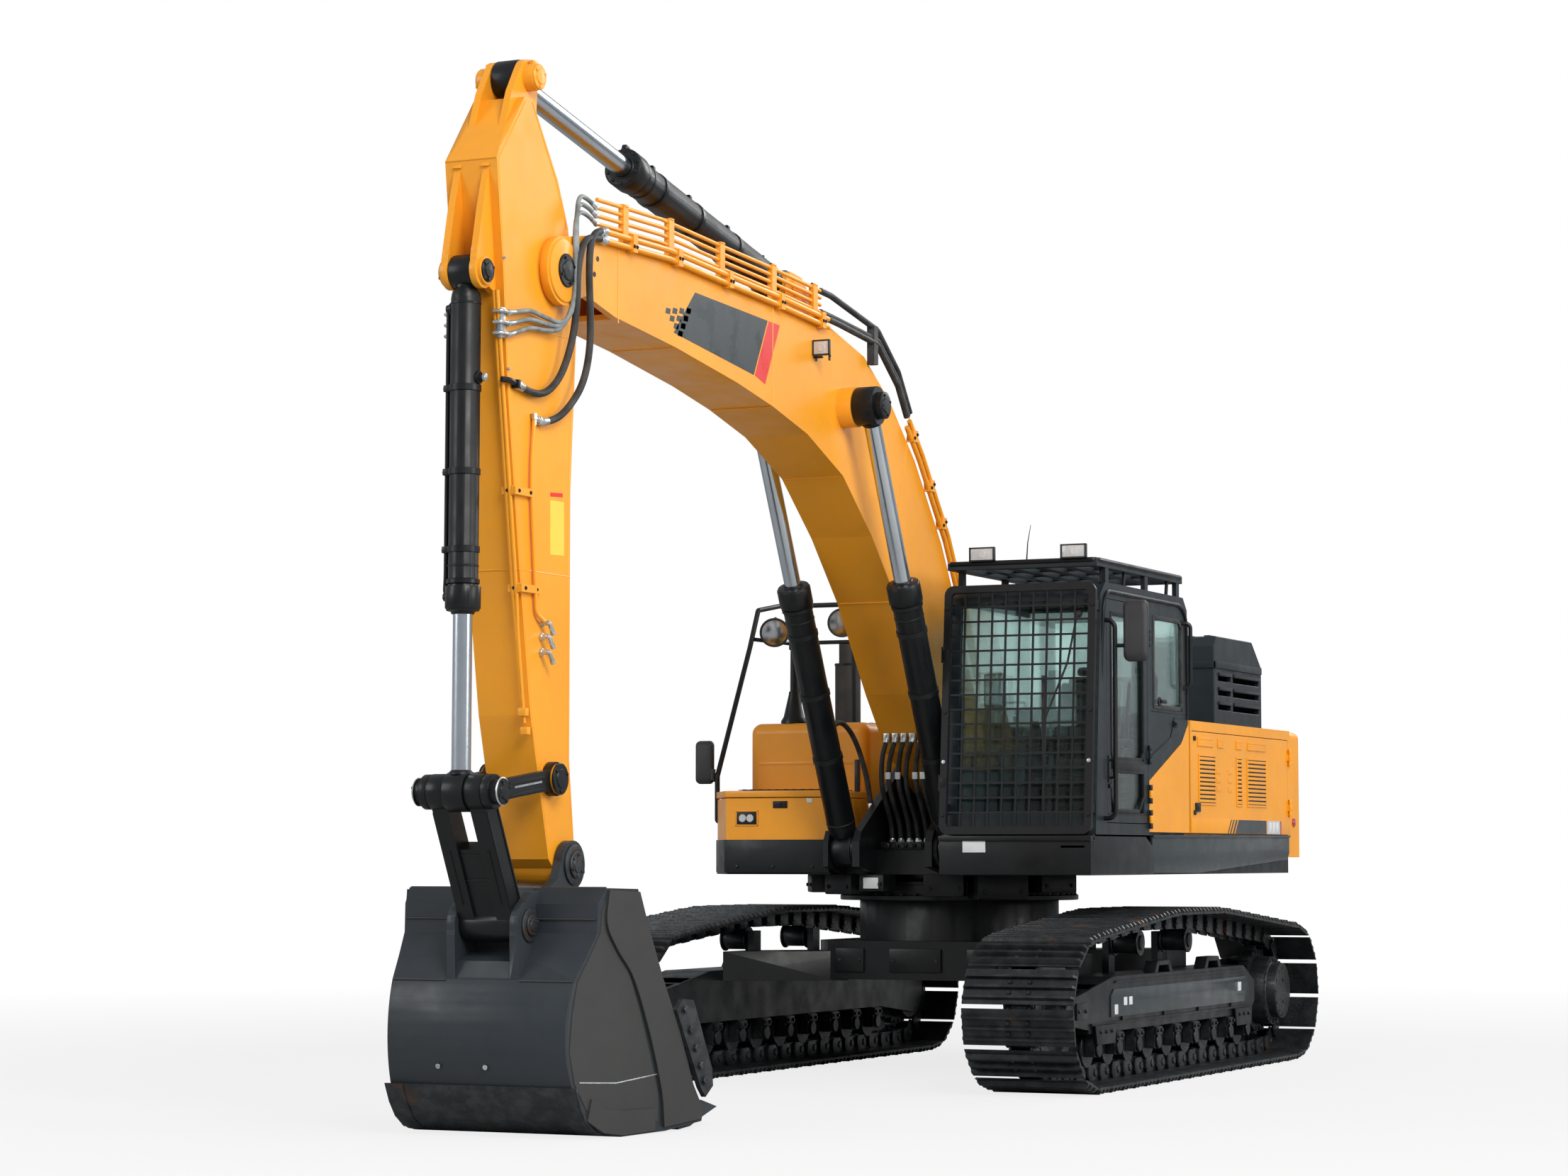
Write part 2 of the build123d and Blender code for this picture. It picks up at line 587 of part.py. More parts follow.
with BuildPart() as fuel_tank:
    block((tank_x[0], tank_y[0], platform_top), (tank_x[1], tank_y[1], house_top))
    fillet(fuel_tank.edges().filter_by(Axis.Z) + fuel_tank.faces().sort_by(Axis.Z)[-1].edges(), 70)
    block((tank_x[0] + 30, tank_y[0] + 30, platform_top - 1),
          (tank_x[1] - 30, tank_y[1] - 30, house_top - 30),
          Mode.SUBTRACT)
save(fuel_tank, "fuel_tank")

with BuildPart() as exhaust:
    post((-1200, 900), 90, house_top, 2760)
    post((-1200, 900), 62, 2760, 2900)
save(exhaust, "exhaust")

# ---------------------------------------------------------------- cab
def front_y(z, inset=0.0):
    """The cab's front at this height, and points a little behind it."""
    return cab_front_y + inset + cab_lean * (z - cab_bottom) / (cab_top - cab_bottom)


def cab_profile(wall):
    """The cab's side view, drawn in by the wall."""
    low, high, rear = cab_bottom + wall, cab_top - wall, cab_rear_y - wall
    return [(front_y(low, wall), low), (front_y(high - 80, wall), high - 80),
            (front_y(high, wall) + 80, high),
            (rear - 80, high), (rear, high - 80), (rear, low)]


window_x = (cab_inner_x + 80, cab_outer_x - 80)
cab_hinge = (cab_outer_x + hinge_out, door_rear_y + door_gap)
cab_hinge_z = (2050.0, 2800.0)
windscreen_z = (1680.0, 2990.0)
rear_window_z = (2250.0, 2960.0)
side_window = (-1290.0, 190.0, 1950.0, 2980.0)          # y from, y to, z from, z to
quarter_window = (-400.0, 190.0, 2350.0, 2950.0)

with BuildPart() as cab_shell:
    slab(cab_profile(0), cab_inner_x, cab_outer_x)
    slab(cab_profile(cab_wall), cab_inner_x + cab_wall, cab_outer_x - cab_wall, Mode.SUBTRACT)
    block((window_x[0], cab_front_y - 10, windscreen_z[0]),
          (window_x[1], cab_front_y + 300, windscreen_z[1]),
          Mode.SUBTRACT)
    block((window_x[0], cab_rear_y - cab_wall - 1, rear_window_z[0]),
          (window_x[1], cab_rear_y + 1, rear_window_z[1]), Mode.SUBTRACT)
    block((cab_outer_x - cab_wall - 1, door_front_y, door_bottom), (cab_outer_x + 1, door_rear_y, door_top),
          Mode.SUBTRACT)
    for x0, (y0, y1, z0, z1) in ((cab_inner_x, side_window), (cab_outer_x - cab_wall, quarter_window)):
        block((x0 - 1, y0, z0), (x0 + cab_wall + 1, y1, z1), Mode.SUBTRACT)
    recess = panel_x[1] - door_thickness - door_gap
    slab([(left_front_outline[0][0] - door_gap, cab_bottom - 1),
          (left_front_outline[1][0] - door_gap, 1890),
          (180, 2152), (cab_rear_y + 1, 2270), (cab_rear_y + 1, cab_bottom - 1)], recess, cab_outer_x + 1,
          Mode.SUBTRACT)
    slab([(left_front_outline[0][0] - door_gap - 4, cab_bottom),
          (left_front_outline[1][0] - door_gap - 4, 1896),
          (180, 2160), (cab_rear_y, 2280), (cab_rear_y, cab_bottom)], recess - 25, recess)
    for x in (cab_inner_x + 120, cab_outer_x - 160):
        for y in (cab_front_y + 150, cab_rear_y - 200):
            post((x, y), 60, platform_top, cab_bottom)
    for z in cab_hinge_z:
        hinge_post(*cab_hinge, z, (cab_outer_x, cab_hinge[1]),
                   (cab_outer_x + hinge_leaf, cab_hinge[1] + 40))
    for z in front_hinge_z:
        hinge_post(*front_hinge, z, (cab_outer_x, door_rear_y), (cab_outer_x + hinge_leaf, front_hinge[1]))
save(cab_shell, "cab_shell")

with BuildPart() as cab_glass:
    z0, z1 = windscreen_z
    slab([(front_y(z0, 15), z0), (front_y(z1, 15), z1), (front_y(z1, 15 + glass), z1),
          (front_y(z0, 15 + glass), z0)],
         *window_x)
    block((window_x[0], cab_rear_y - 25, rear_window_z[0]),
          (window_x[1], cab_rear_y - 25 + glass, rear_window_z[1]))
    for x0, (y0, y1, z0, z1) in ((cab_inner_x + 15, side_window),
                                 (cab_outer_x - 15 - glass, quarter_window)):
        block((x0, y0, z0), (x0 + glass, y1, z1))
save(cab_glass, "cab_windows")

door_frame = 70.0
door_x = (cab_outer_x - 45, cab_outer_x)
with BuildPart() as cab_door:
    block((door_x[0], door_front_y + door_gap, door_bottom + door_gap),
          (door_x[1], door_rear_y - door_gap, door_top - door_gap))
    block((door_x[0] - 1, door_front_y + door_gap + door_frame, 2000),
          (door_x[1] + 1, door_rear_y - door_gap - door_frame, door_top - door_gap - door_frame),
          Mode.SUBTRACT)
    block((door_x[0] - 1, door_front_y + door_gap + door_frame, door_bottom + door_gap + 60),
          (door_x[1] + 1, door_rear_y - door_gap - door_frame, 1950), Mode.SUBTRACT)
    for z in cab_hinge_z:
        hinge_eye(*cab_hinge, z, (cab_outer_x, cab_hinge[1] - 45), (cab_outer_x + hinge_leaf, cab_hinge[1]))
save(cab_door, "cab_door")

with BuildPart() as door_glass:
    for z0, z1 in ((2000, door_top - door_gap - door_frame), (door_bottom + door_gap + 60, 1950)):
        block((door_x[1] - 15 - glass, door_front_y + door_gap + door_frame, z0),
              (door_x[1] - 15, door_rear_y - door_gap - door_frame, z1))
save(door_glass, "cab_door_glass")

seat_x = (cab_inner_x + cab_outer_x) / 2
cab_floor_z = cab_bottom + cab_wall
with BuildPart() as seat:
    block((seat_x - 200, -560, cab_floor_z), (seat_x + 200, -150, cab_floor_z + 330))
    block((seat_x - 255, -650, cab_floor_z + 330), (seat_x + 255, -130, cab_floor_z + 450))
    slab([(-230, cab_floor_z + 450), (-110, cab_floor_z + 450), (40, cab_floor_z + 1050),
          (-60, cab_floor_z + 1070)],
         seat_x - 245, seat_x + 245)
save(seat, "operator_seat")

with BuildPart() as consoles:
    for side in SIDES:
        x0, x1 = sorted((seat_x + side * 275, seat_x + side * 385))
        block((x0, -700, cab_floor_z), (x1, -120, cab_floor_z + 520))
        bar(((x0 + x1) / 2, -640, cab_floor_z + 520), ((x0 + x1) / 2, -660, cab_floor_z + 700), 18)
    for x in (seat_x - 90, seat_x + 90):
        block((x - 45, -1330, cab_floor_z), (x + 45, -1080, cab_floor_z + 60))
save(consoles, "control_consoles")

# ---------------------------------------------------------------- guards and lamps on the cab
guard_low, guard_high = (-1575.0, 1540.0), (-1455.0, 3090.0)
guard_x = (cab_inner_x, cab_outer_x)
guard_height = hypot(guard_high[0] - guard_low[0], guard_high[1] - guard_low[1])
guard_plane = Plane(origin=((guard_x[0] + guard_x[1]) / 2, (guard_low[0] + guard_high[0]) / 2,
                            (guard_low[1] + guard_high[1]) / 2), x_dir=(1, 0, 0),
                    z_dir=(0, -(guard_high[1] - guard_low[1]), guard_high[0] - guard_low[0]))


def guard_y(z):
    """The guard's middle plane at this height."""
    return guard_low[0] + (guard_high[0] - guard_low[0]) * (z - guard_low[1]) / (guard_high[1] - guard_low[1])


columns, rows = 10, 16
guard_rim = 45.0
mesh_bar = 12.0
cell_w = (guard_x[1] - guard_x[0] - 2 * guard_rim) / columns
cell_h = (guard_height - 2 * guard_rim) / rows
with BuildPart() as front_guard:
    with BuildSketch(guard_plane) as rim:
        RectangleRounded(guard_x[1] - guard_x[0], guard_height, 60)
        RectangleRounded(guard_x[1] - guard_x[0] - 2 * guard_rim, guard_height - 2 * guard_rim, 30,
                         mode=Mode.SUBTRACT)
    extrude(rim.sketch, amount=15, both=True)
    with BuildSketch(guard_plane) as mesh:
        Rectangle(guard_x[1] - guard_x[0] - guard_rim, guard_height - guard_rim)
        with GridLocations(cell_w, cell_h, columns, rows):
            Rectangle(cell_w - mesh_bar, cell_h - mesh_bar, mode=Mode.SUBTRACT)
    extrude(mesh.sketch, amount=5, both=True)
    for z in (1700, 2950):
        for x in (guard_x[0] + 20, guard_x[1] - 20):
            slab([(guard_y(z - 30), z - 30), (front_y(z - 30), z - 30), (front_y(z + 30), z + 30),
                  (guard_y(z + 30), z + 30)], x - 15, x + 15)
save(front_guard, "front_guard")

roof_guard_z = (3190.0, 3235.0)
with BuildPart() as roof_guard:
    block((guard_x[0] + 10, -1450, roof_guard_z[0]), (guard_x[1], 210, roof_guard_z[1]))
    with Locations(((guard_x[0] + guard_x[1]) / 2, -620, roof_guard_z[0])):
        with GridLocations(180, 0, 5, 1):
            Box(120, 1500, 200, mode=Mode.SUBTRACT)
    for x in (guard_x[0] + 30, guard_x[1] - 20):
        for y in (-1250, -500, 130):
            block((x - 15, y - 30, cab_top), (x + 15, y + 30, roof_guard_z[0] + 5))
save(roof_guard, "roof_guard")

with BuildPart() as work_lamps:
    for x in (guard_x[0] + 250, guard_x[1] - 145):
        block((x - 85, -1480, roof_guard_z[1]), (x + 85, -1400, roof_guard_z[1] + 95))
save(work_lamps, "work_lamps")

with BuildPart() as mirrors:
    block((cab_outer_x + 130, -1365, 2600), (cab_outer_x + 290, -1315, 2980))
    block((box_x[0] - 180, -600, 1890), (box_x[0] - 50, -555, 2180))
save(mirrors, "mirrors")

rail_x = box_x[0] - 22                 # of the rail beside the tool box
rail_top, rail_middle = 3150.0, 2890.0
with BuildPart() as handrails:
    pipe([(box_x[0], -570, 1640), (rail_x, -570, 1640), (rail_x, -570, 1940), (rail_x, -60, 2830),
          (rail_x + 30, 10, rail_top - 60), (rail_x + 45, 400, rail_top), (rail_x + 45, 660, rail_top),
          (rail_x + 45, 660, house_top)], 15, 17)
    bar((rail_x + 10, -25, rail_middle), (rail_x + 45, 660, rail_middle), 14)
    pipe([(rail_x + 45, 500, rail_top), (-980, 500, rail_top), (-980, 500, house_top)], 60, 17)
    bar((rail_x + 45, 500, rail_middle), (-980, 500, rail_middle), 14)
    bar((rail_x, -570, 1915), (box_x[0] - 50, -570, 1915), 11)
    pipe([(cab_outer_x, -1340, 2860), (cab_outer_x + 75, -1340, 2860), (cab_outer_x + 75, -1340, 1640),
          (cab_outer_x, -1340, 1640)], 50, 15)
    bar((cab_outer_x + 75, -1340, 2700), (cab_outer_x + 130, -1340, 2700), 12)
save(handrails, "handrails")

# ---------------------------------------------------------------- boom
boom_outline = [(arm_pivot[0], arm_pivot[1] + 178), (-5650, 4668), (-4800, 4690), (-4020, 4660),
                (-3410, 4640),
                (-2600, 4600), (-2050, 4480), (-1650, 4250), (-1250, 3920), (-800, 3420), (-430, 2860),
                (-20, 2080),
                (-150, 1790), (-300, 1830), (-755, 2080), (-1090, 2440), (-1540, 3000), (-1940, 3380),
                (-2380, 3710), (-2905, 3910), (-3400, 4020), (-3880, 4100), (-4670, 4200), (-5400, 4268),
                (-5720, 4335), (arm_pivot[0], arm_pivot[1] - 178)]


boom_pin_radius = 55.0
fork_depth = 620.0              # of the boom's fork behind the arm's pin
arm_eye_half = 62.0             # half widths of the eyes of the arm's and the bucket's cylinders
bucket_eye_half = 57.0
arm_eye_radius = 96.0
with BuildPart() as boom:
    slab(boom_outline, -boom_half, boom_half)
    disc(arm_pivot, 180, -boom_half, boom_half)
    disc(boom_foot, 160, -boom_half, boom_half)
    cavity(boom_outline, boom_plate, -boom_half + boom_plate, boom_half - boom_plate,
           [((0, 1950), 860, 1300)])
    fork = arm_half + arm_fork_gap
    block((-fork, arm_pivot[0] - 300, 4000), (fork, arm_pivot[0] + fork_depth, 5000), Mode.SUBTRACT)
    disc(arm_pivot, boom_pin_radius + 5, -boom_half - 15, boom_half + 15)
    disc(boom_foot, foot_pin_radius + pin_gap, -boom_half, boom_half, Mode.SUBTRACT)
    for side in SIDES:
        disc(boom_cylinder_head, 125, *between(side, boom_half,
                                               boom_cylinder_x - cylinder_eye_half - ear_gap))
        slab([(-3230, 4600), (-2540, 4560), (-2640, 4760), (-2790, 4870), (-2950, 4885), (-3015, 4830),
              (-3025, 4730), (-3150, 4660)],
             *between(side, arm_eye_half + ear_gap, arm_eye_half + ear_gap + 45))
    disc(arm_cylinder_foot, cylinder_pin_radius, -130, 130)
save(boom, "boom")

# ---------------------------------------------------------------- pipes and hoses clamped along the boom
pipe_radius, big_pipe_radius, hose_radius = 11.0, 16.0, 19.0
stack_x = 178.0                 # of the stacked pipes on the boom's top plate
stack_heights = (75.0, 118.0, 161.0, 204.0)             # above the top plate's edge
edge_pipe_x = boom_half + big_pipe_radius + 10
edge_pipe_heights = (28.0, -20.0)
boom_ridge = boom_outline[1:6]          # the top plate's edge under the pipes
pipe_ends = (-5560.0, -2660.0)
boom_clamps = (-5250.0, -4700.0, -4050.0, -3350.0, -2760.0)
rear_run = [(-1420, 4130), (-1210, 3935), (-780, 3455), (-420, 2900), (-240, 2560)]
rear_clamps = ((-1340, 4060), (-1060, 3770), (-860, 3545), (-500, 3025))


def top_at(y):
    """The height of the boom's top plate here."""
    for (y0, z0), (y1, z1) in zip(boom_ridge, boom_ridge[1:]):
        if y0 <= y <= y1:
            return z0 + (z1 - z0) * (y - y0) / (y1 - y0)
    return boom_ridge[-1][1]


boom_run = [(y, top_at(y)) for y in (pipe_ends[0], *[y for y, z in boom_ridge[1:-1]], pipe_ends[1])]
with BuildPart() as boom_pipes:
    for height in stack_heights:
        pipe([(stack_x, y, z + height) for y, z in boom_run], 100, pipe_radius)
    for height in edge_pipe_heights:
        pipe([(edge_pipe_x, y, z + height) for y, z in boom_run], 100, big_pipe_radius)
        pipe([(edge_pipe_x, y + height * 0.9, z + height * 0.9) for y, z in rear_run], 100, big_pipe_radius)
    for y in boom_clamps:
        foot = [(y + way, top_at(y + way)) for way in (-30, 30)]
        slab(foot + [(y0, z0 + stack_heights[-1] + 16) for y0, z0 in reversed(foot)], stack_x - 16,
             stack_x + 16)
        block((stack_x, y - 25, top_at(y) + 8), (edge_pipe_x, y + 25, top_at(y) + 40))
        block((boom_half, y - 25, top_at(y) - 44), (edge_pipe_x + 22, y + 25, top_at(y) + 50))
    for y, z in rear_clamps:
        block((boom_half, y - 34, z - 34), (edge_pipe_x + 22, y + 40, z + 40))
save(boom_pipes, "boom_pipes")

with BuildPart() as boom_hoses:
    for x, height in ((stack_x, stack_heights[0]), (stack_x, stack_heights[-1]),
                      (edge_pipe_x, edge_pipe_heights[0])):
        y_end, z_end = rear_run[0]
        lift = 0.5 * height
        pipe([(x, pipe_ends[1], boom_run[-1][1] + height),
              (x, pipe_ends[1] + 160, boom_run[-1][1] - 8 + height),
              (edge_pipe_x + 8, -1930, 4560 + lift), (edge_pipe_x + 8, -1600, 4340 + lift),
              (edge_pipe_x + 2, y_end - 30 + lift * 0.55, z_end + 40 + lift * 0.35)], 120, hose_radius)
    block((boom_half, -2010, 4440), (edge_pipe_x + 24, -1950, 4680))
save(boom_hoses, "boom_hoses")

# ---------------------------------------------------------------- arm
arm_outline = [(-6305, 5285), (-6592, 4920), (-6516, 4330), (-6468, 3768), (-6334, 2854), (-6211, 2121),
               (-6010, 1390), (-5840, 1240), (-5725, 1400), (-5790, 1900), (-5790, 3300), (-5735, 4090),
               (-5828, 4680), (-5942, 4912), (-6228, 5290)]
horn_ear = (arm_eye_half + ear_gap, arm_eye_half + ear_gap + 38)
front_ear = (bucket_eye_half + ear_gap, bucket_eye_half + ear_gap + 38)
horn_recess = 52.0              # cut away around the eye of the arm's cylinder
with BuildPart() as arm:
    slab(arm_outline, -arm_half, arm_half)
    disc(bucket_pivot, 118, -arm_half, arm_half)
    disc(arm_pivot, 170, -fork + 2, fork - 2)
    cavity(arm_outline, arm_plate, -arm_half + arm_plate, arm_half - arm_plate,
           [((-5840, 1080), 1200, 1100)])
    disc(arm_pivot, 130, -arm_half, arm_half)
    disc(rocker_pivot, 95, -arm_half - 4, arm_half + 4)
    disc(rocker_pivot, 50, -arm_half - 62, arm_half + 62)
    for side in SIDES:
        disc(rocker_pivot, 78, *between(side, arm_half + 50, arm_half + 62))
        slab([(-6440, 5110), (-6362, 5310), (-6262, 5465), (-6130, 5490), (-6090, 5380), (-6110, 5130)],
             *between(side, *horn_ear))
        disc(arm_cylinder_head, 96, *between(side, *horn_ear))
        disc(arm_cylinder_head, 70, *between(side, horn_ear[1], 163))
        slab([(-6580, 4885), (-6642, 4674), (-6706, 4400), (-6708, 4320), (-6500, 4235), (-6500, 4885)],
             *between(side, *front_ear))
        disc(bucket_cylinder_foot, 88, *between(side, *front_ear))
        disc(bucket_cylinder_foot, 70, *between(side, front_ear[1], front_ear[1] + 18))
    disc(bucket_cylinder_foot, 45, -front_ear[1], front_ear[1])
    disc(arm_cylinder_head, arm_eye_radius + horn_recess, -arm_eye_half - ear_gap, arm_eye_half + ear_gap,
         Mode.SUBTRACT)
    disc(arm_pivot, boom_pin_radius + 5 + pin_gap, -fork, fork, Mode.SUBTRACT)
    disc(bucket_pivot, 50 + pin_gap, -arm_half, arm_half, Mode.SUBTRACT)
save(arm, "arm")

# ---------------------------------------------------------------- pipes clamped along the arm
front_pipe_run = [(-6548, 4250), (-6484, 3768), (-6350, 2854), (-6330, 2720)]
side_pipe_run = [(-6217, 3640), (-6240, 3420), (-6242, 3276), (-6190, 2700)]
with BuildPart() as arm_pipes:
    for x in (119, 138):
        pipe([(x, y - pipe_radius, z) for y, z in front_pipe_run], 80, pipe_radius)
    pipe([(arm_half + pipe_radius + 6, y, z) for y, z in side_pipe_run], 80, pipe_radius)
    for y, z in ((-6402, 3249), (-6330, 2760)):
        block((95, y - 22, z - 20), (arm_half, y + 5, z + 20))
        block((arm_half, y - 22, z - 20), (arm_half + 24, y + 185, z + 20))
save(arm_pipes, "arm_pipes")


# ---------------------------------------------------------------- cylinders
def cylinder_plane(foot, head, x):
    """Z runs from the foot's eye to the head's eye, and X across the machine."""
    return Plane(origin=(x, *foot), x_dir=(1, 0, 0), z_dir=(0, head[0] - foot[0], head[1] - foot[1]))


def barrel(foot, head, x, outer, bore, rod, length, neck, eye_half, eye_radius, pin_radius):
    """A closed tube from its foot eye to its gland, bored for the piston and the rod."""
    frame = cylinder_plane(foot, head, x)
    for radius, start, end, mode in ((eye_half - 3, eye_radius * 0.5, neck + 5, Mode.ADD),
                                     (outer, neck, length, Mode.ADD),
                                     (outer + 14, length - 110, length, Mode.ADD),
                                     (bore, neck + 30, length - 90, Mode.SUBTRACT),
                                     (rod + 0.3, neck + 60, length + 1, Mode.SUBTRACT)):
        with BuildSketch(frame.offset(start)) as outline:
            Circle(radius)
        extrude(outline.sketch, amount=end - start, mode=mode)
    disc(foot, eye_radius, x - eye_half, x + eye_half)
    disc(foot, pin_radius + pin_gap, x - eye_half, x + eye_half, Mode.SUBTRACT)


def rod(foot, head, x, bore, rod_radius, length, eye_half, eye_radius):
    """A rod with its piston, and with the eye and the middle of its pin at the head."""
    frame = cylinder_plane(foot, head, x)
    reach = hypot(head[0] - foot[0], head[1] - foot[1])
    with BuildSketch(frame.offset(reach - length)) as outline:
        Circle(rod_radius)
    extrude(outline.sketch, amount=length - eye_radius * 0.5)
    with BuildSketch(frame.offset(reach - length)) as outline:
        Circle(bore - 0.3)
    extrude(outline.sketch, amount=100)
    disc(head, eye_radius, x - eye_half, x + eye_half)


boom_barrel_length, boom_rod_length = 1825.0, 1850.0
boom_bore, boom_rod_radius = 75.0, 52.0
with BuildPart() as boom_barrels:
    for side in SIDES:
        barrel(boom_cylinder_foot, boom_cylinder_head, side * boom_cylinder_x, 92, boom_bore,
               boom_rod_radius,
               boom_barrel_length, 175, cylinder_eye_half, 105, cylinder_pin_radius)
save(boom_barrels, "boom_cylinder_barrels")

with BuildPart() as boom_rods:
    for side in SIDES:
        rod(boom_cylinder_foot, boom_cylinder_head, side * boom_cylinder_x, boom_bore, boom_rod_radius,
            boom_rod_length, cylinder_eye_half, 115)
        disc(boom_cylinder_head, 80, *between(side, boom_cylinder_x + cylinder_eye_half,
                                              boom_cylinder_x + cylinder_eye_half + 40))
save(boom_rods, "boom_cylinder_rods")

with BuildPart() as arm_barrel:
    barrel(arm_cylinder_foot, arm_cylinder_head, 0, 98, 80, 57, 2060, 170, arm_eye_half, 105,
           cylinder_pin_radius)
save(arm_barrel, "arm_cylinder_barrel")

with BuildPart() as arm_rod:
    rod(arm_cylinder_foot, arm_cylinder_head, 0, 80, 57, 2070, arm_eye_half, arm_eye_radius)
save(arm_rod, "arm_cylinder_rod")

with BuildPart() as bucket_barrel:
    barrel(bucket_cylinder_foot, link_pivot, 0, 76, 62, 49, 1700, 135, bucket_eye_half, 84, 45)
save(bucket_barrel, "bucket_cylinder_barrel")

with BuildPart() as bucket_rod:
    rod(bucket_cylinder_foot, link_pivot, 0, 62, 49, 1850, bucket_eye_half, 98)
save(bucket_rod, "bucket_cylinder_rod")


# ---------------------------------------------------------------- bucket linkage
def strap(a, b, half_width, x0, x1):
    """A flat bar between two (y, z) pivots, with straight sides."""
    run = (b[0] - a[0], b[1] - a[1])
    size = hypot(*run)
    ny, nz = -run[1] / size * half_width, run[0] / size * half_width
    slab([(a[0] + ny, a[1] + nz), (b[0] + ny, b[1] + nz), (b[0] - ny, b[1] - nz), (a[0] - ny, a[1] - nz)],
         x0, x1)


rocker_x = (arm_half + ear_gap, arm_half + 46)
with BuildPart() as rockers:
    for side in SIDES:
        strap(rocker_pivot, link_pivot, 52, *between(side, *rocker_x))
        for centre, radius in ((rocker_pivot, 88), (link_pivot, 88)):
            disc(centre, radius, *between(side, *rocker_x))
        disc(link_pivot, 62, *between(side, rocker_x[1], rocker_x[1] + 40))
        disc(rocker_pivot, 50 + pin_gap, *between(side, *rocker_x), Mode.SUBTRACT)
save(rockers, "rocker_links")

link_ear = (bucket_eye_half + ear_gap, arm_half + 2)
link_run = (bucket_link_pivot[0] - link_pivot[0], bucket_link_pivot[1] - link_pivot[1])
link_length = hypot(*link_run)
fork_end = (link_pivot[0] + link_run[0] * 300 / link_length,
            link_pivot[1] + link_run[1] * 300 / link_length)
with BuildPart() as bucket_link:
    for side in SIDES:
        strap(link_pivot, bucket_link_pivot, 60, *between(side, *link_ear))
        disc(link_pivot, 90, *between(side, *link_ear))
    strap(fork_end, bucket_link_pivot, 45, -link_ear[0], link_ear[0])
    disc(bucket_link_pivot, 85, -arm_half, arm_half)
    disc(bucket_link_pivot, 50 + pin_gap, -link_ear[1], link_ear[1], Mode.SUBTRACT)
save(bucket_link, "bucket_link")

# ---------------------------------------------------------------- bucket
bucket_wall = 30.0
bucket_side = [(-6057, 0), (-5700, 8), (-5400, 40), (-5390, 95), (-5470, 230), (-5590, 520), (-5720, 775),
               (-5844, 1050), (-5924, 1240), (-6176, 1246), (-6240, 1166), (-6247, 1020), (-6328, 905),
               (-6423, 785)]
bucket_back = [(-6490, 480), (-6329, 100), (-6203, 34)]         # middle of the back, heel, middle of the heel
bucket_inside = [(-6057, 32), (-5700, 40), (-5400, 72), (-5200, 72), (-5100, 300), (-5800, 1300),
                 (-6150, 1300),
                 (-6208, 1156), (-6215, 1010), (-6303, 888), (-6396, 770)]
inside_back = [(-6459, 480), (-6308, 124), (-6189, 64)]


def scoop(points, back, x0, x1):
    """A piece whose side view runs through the points and closes over two arcs, the back and the heel."""
    with BuildSketch(Plane.YZ.offset(x0)) as outline:
        with BuildLine():
            Polyline(*points)
            ThreePointArc(points[-1], back[0], back[1])
            ThreePointArc(back[1], back[2], points[0])
        make_face()
    extrude(outline.sketch, amount=x1 - x0)


def bucket_half(y):
    """The bucket's outer half width here."""
    return bucket_back_half + bucket_taper * (y - bucket_back_y)


def taper_plan(wall):
    """The bucket's plan, drawn in by the wall at each side."""
    ends = (-7000, -4800)
    right = [(bucket_half(y) - wall, y) for y in ends]
    return right + [(-x, y) for x, y in reversed(right)]


bucket_ear = (arm_half + ear_gap, arm_half + 55)
notch = [(-6500, 880), (-6370, 880), (-6200, 950), (-6108, 1260), (-6500, 1260)]
with BuildPart() as bucket:
    scoop(bucket_side, bucket_back, -900, 900)
    prism(taper_plan(0), -10, 1400, Mode.INTERSECT)
    with BuildPart(mode=Mode.PRIVATE) as room:
        scoop(bucket_inside, inside_back, -900, 900)
        prism(taper_plan(bucket_wall), -10, 1400, Mode.INTERSECT)
    add(room.part, mode=Mode.SUBTRACT)
    slab([(-6420, 780), (-6380, 880), (-6200, 950), (-6112, 1246), (-6078, 1246), (-6165, 920),
          (-6330, 850),
          (-6390, 775)], -bucket_ear[0], bucket_ear[0])
    slab(notch, -bucket_ear[0], bucket_ear[0], Mode.SUBTRACT)
    for side in SIDES:
        slab([(-6430, 1010), (-6420, 1110), (-6290, 1225), (-6130, 1235), (-6010, 1290), (-5955, 1400),
              (-5725, 1400), (-5715, 1320), (-5830, 1238), (-6000, 1180), (-6200, 880), (-6420, 785)],
             *between(side, *bucket_ear))
        disc(bucket_pivot, 125, *between(side, *bucket_ear))
        disc(bucket_link_pivot, 120, *between(side, *bucket_ear))
    disc(bucket_pivot, 50, -bucket_ear[1] - 15, bucket_ear[1] + 15)
    disc(bucket_link_pivot, 50, -bucket_ear[1] - 15, bucket_ear[1] + 15)
save(bucket, "bucket")

with BuildPart() as teeth:
    for x in (-600, -300, 0, 300, 600):
        slab([(-5500, 112), (-5250, 138), (-5060, 92), (-5250, 46), (-5380, 10), (-5520, 2), (-5520, 27.1),
              (-5399.8, 39.8), (-5380, 72.1), (-5400, 72.1), (-5500, 61.5)], x - 50, x + 50)
save(teeth, "bucket_teeth")
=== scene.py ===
"""Looks of the crawler excavator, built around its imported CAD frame.

Metres; the machine faces -Y and its cab is at +X.
"""
import json
import math

import bmesh
import bpy
from mathutils import Matrix, Vector


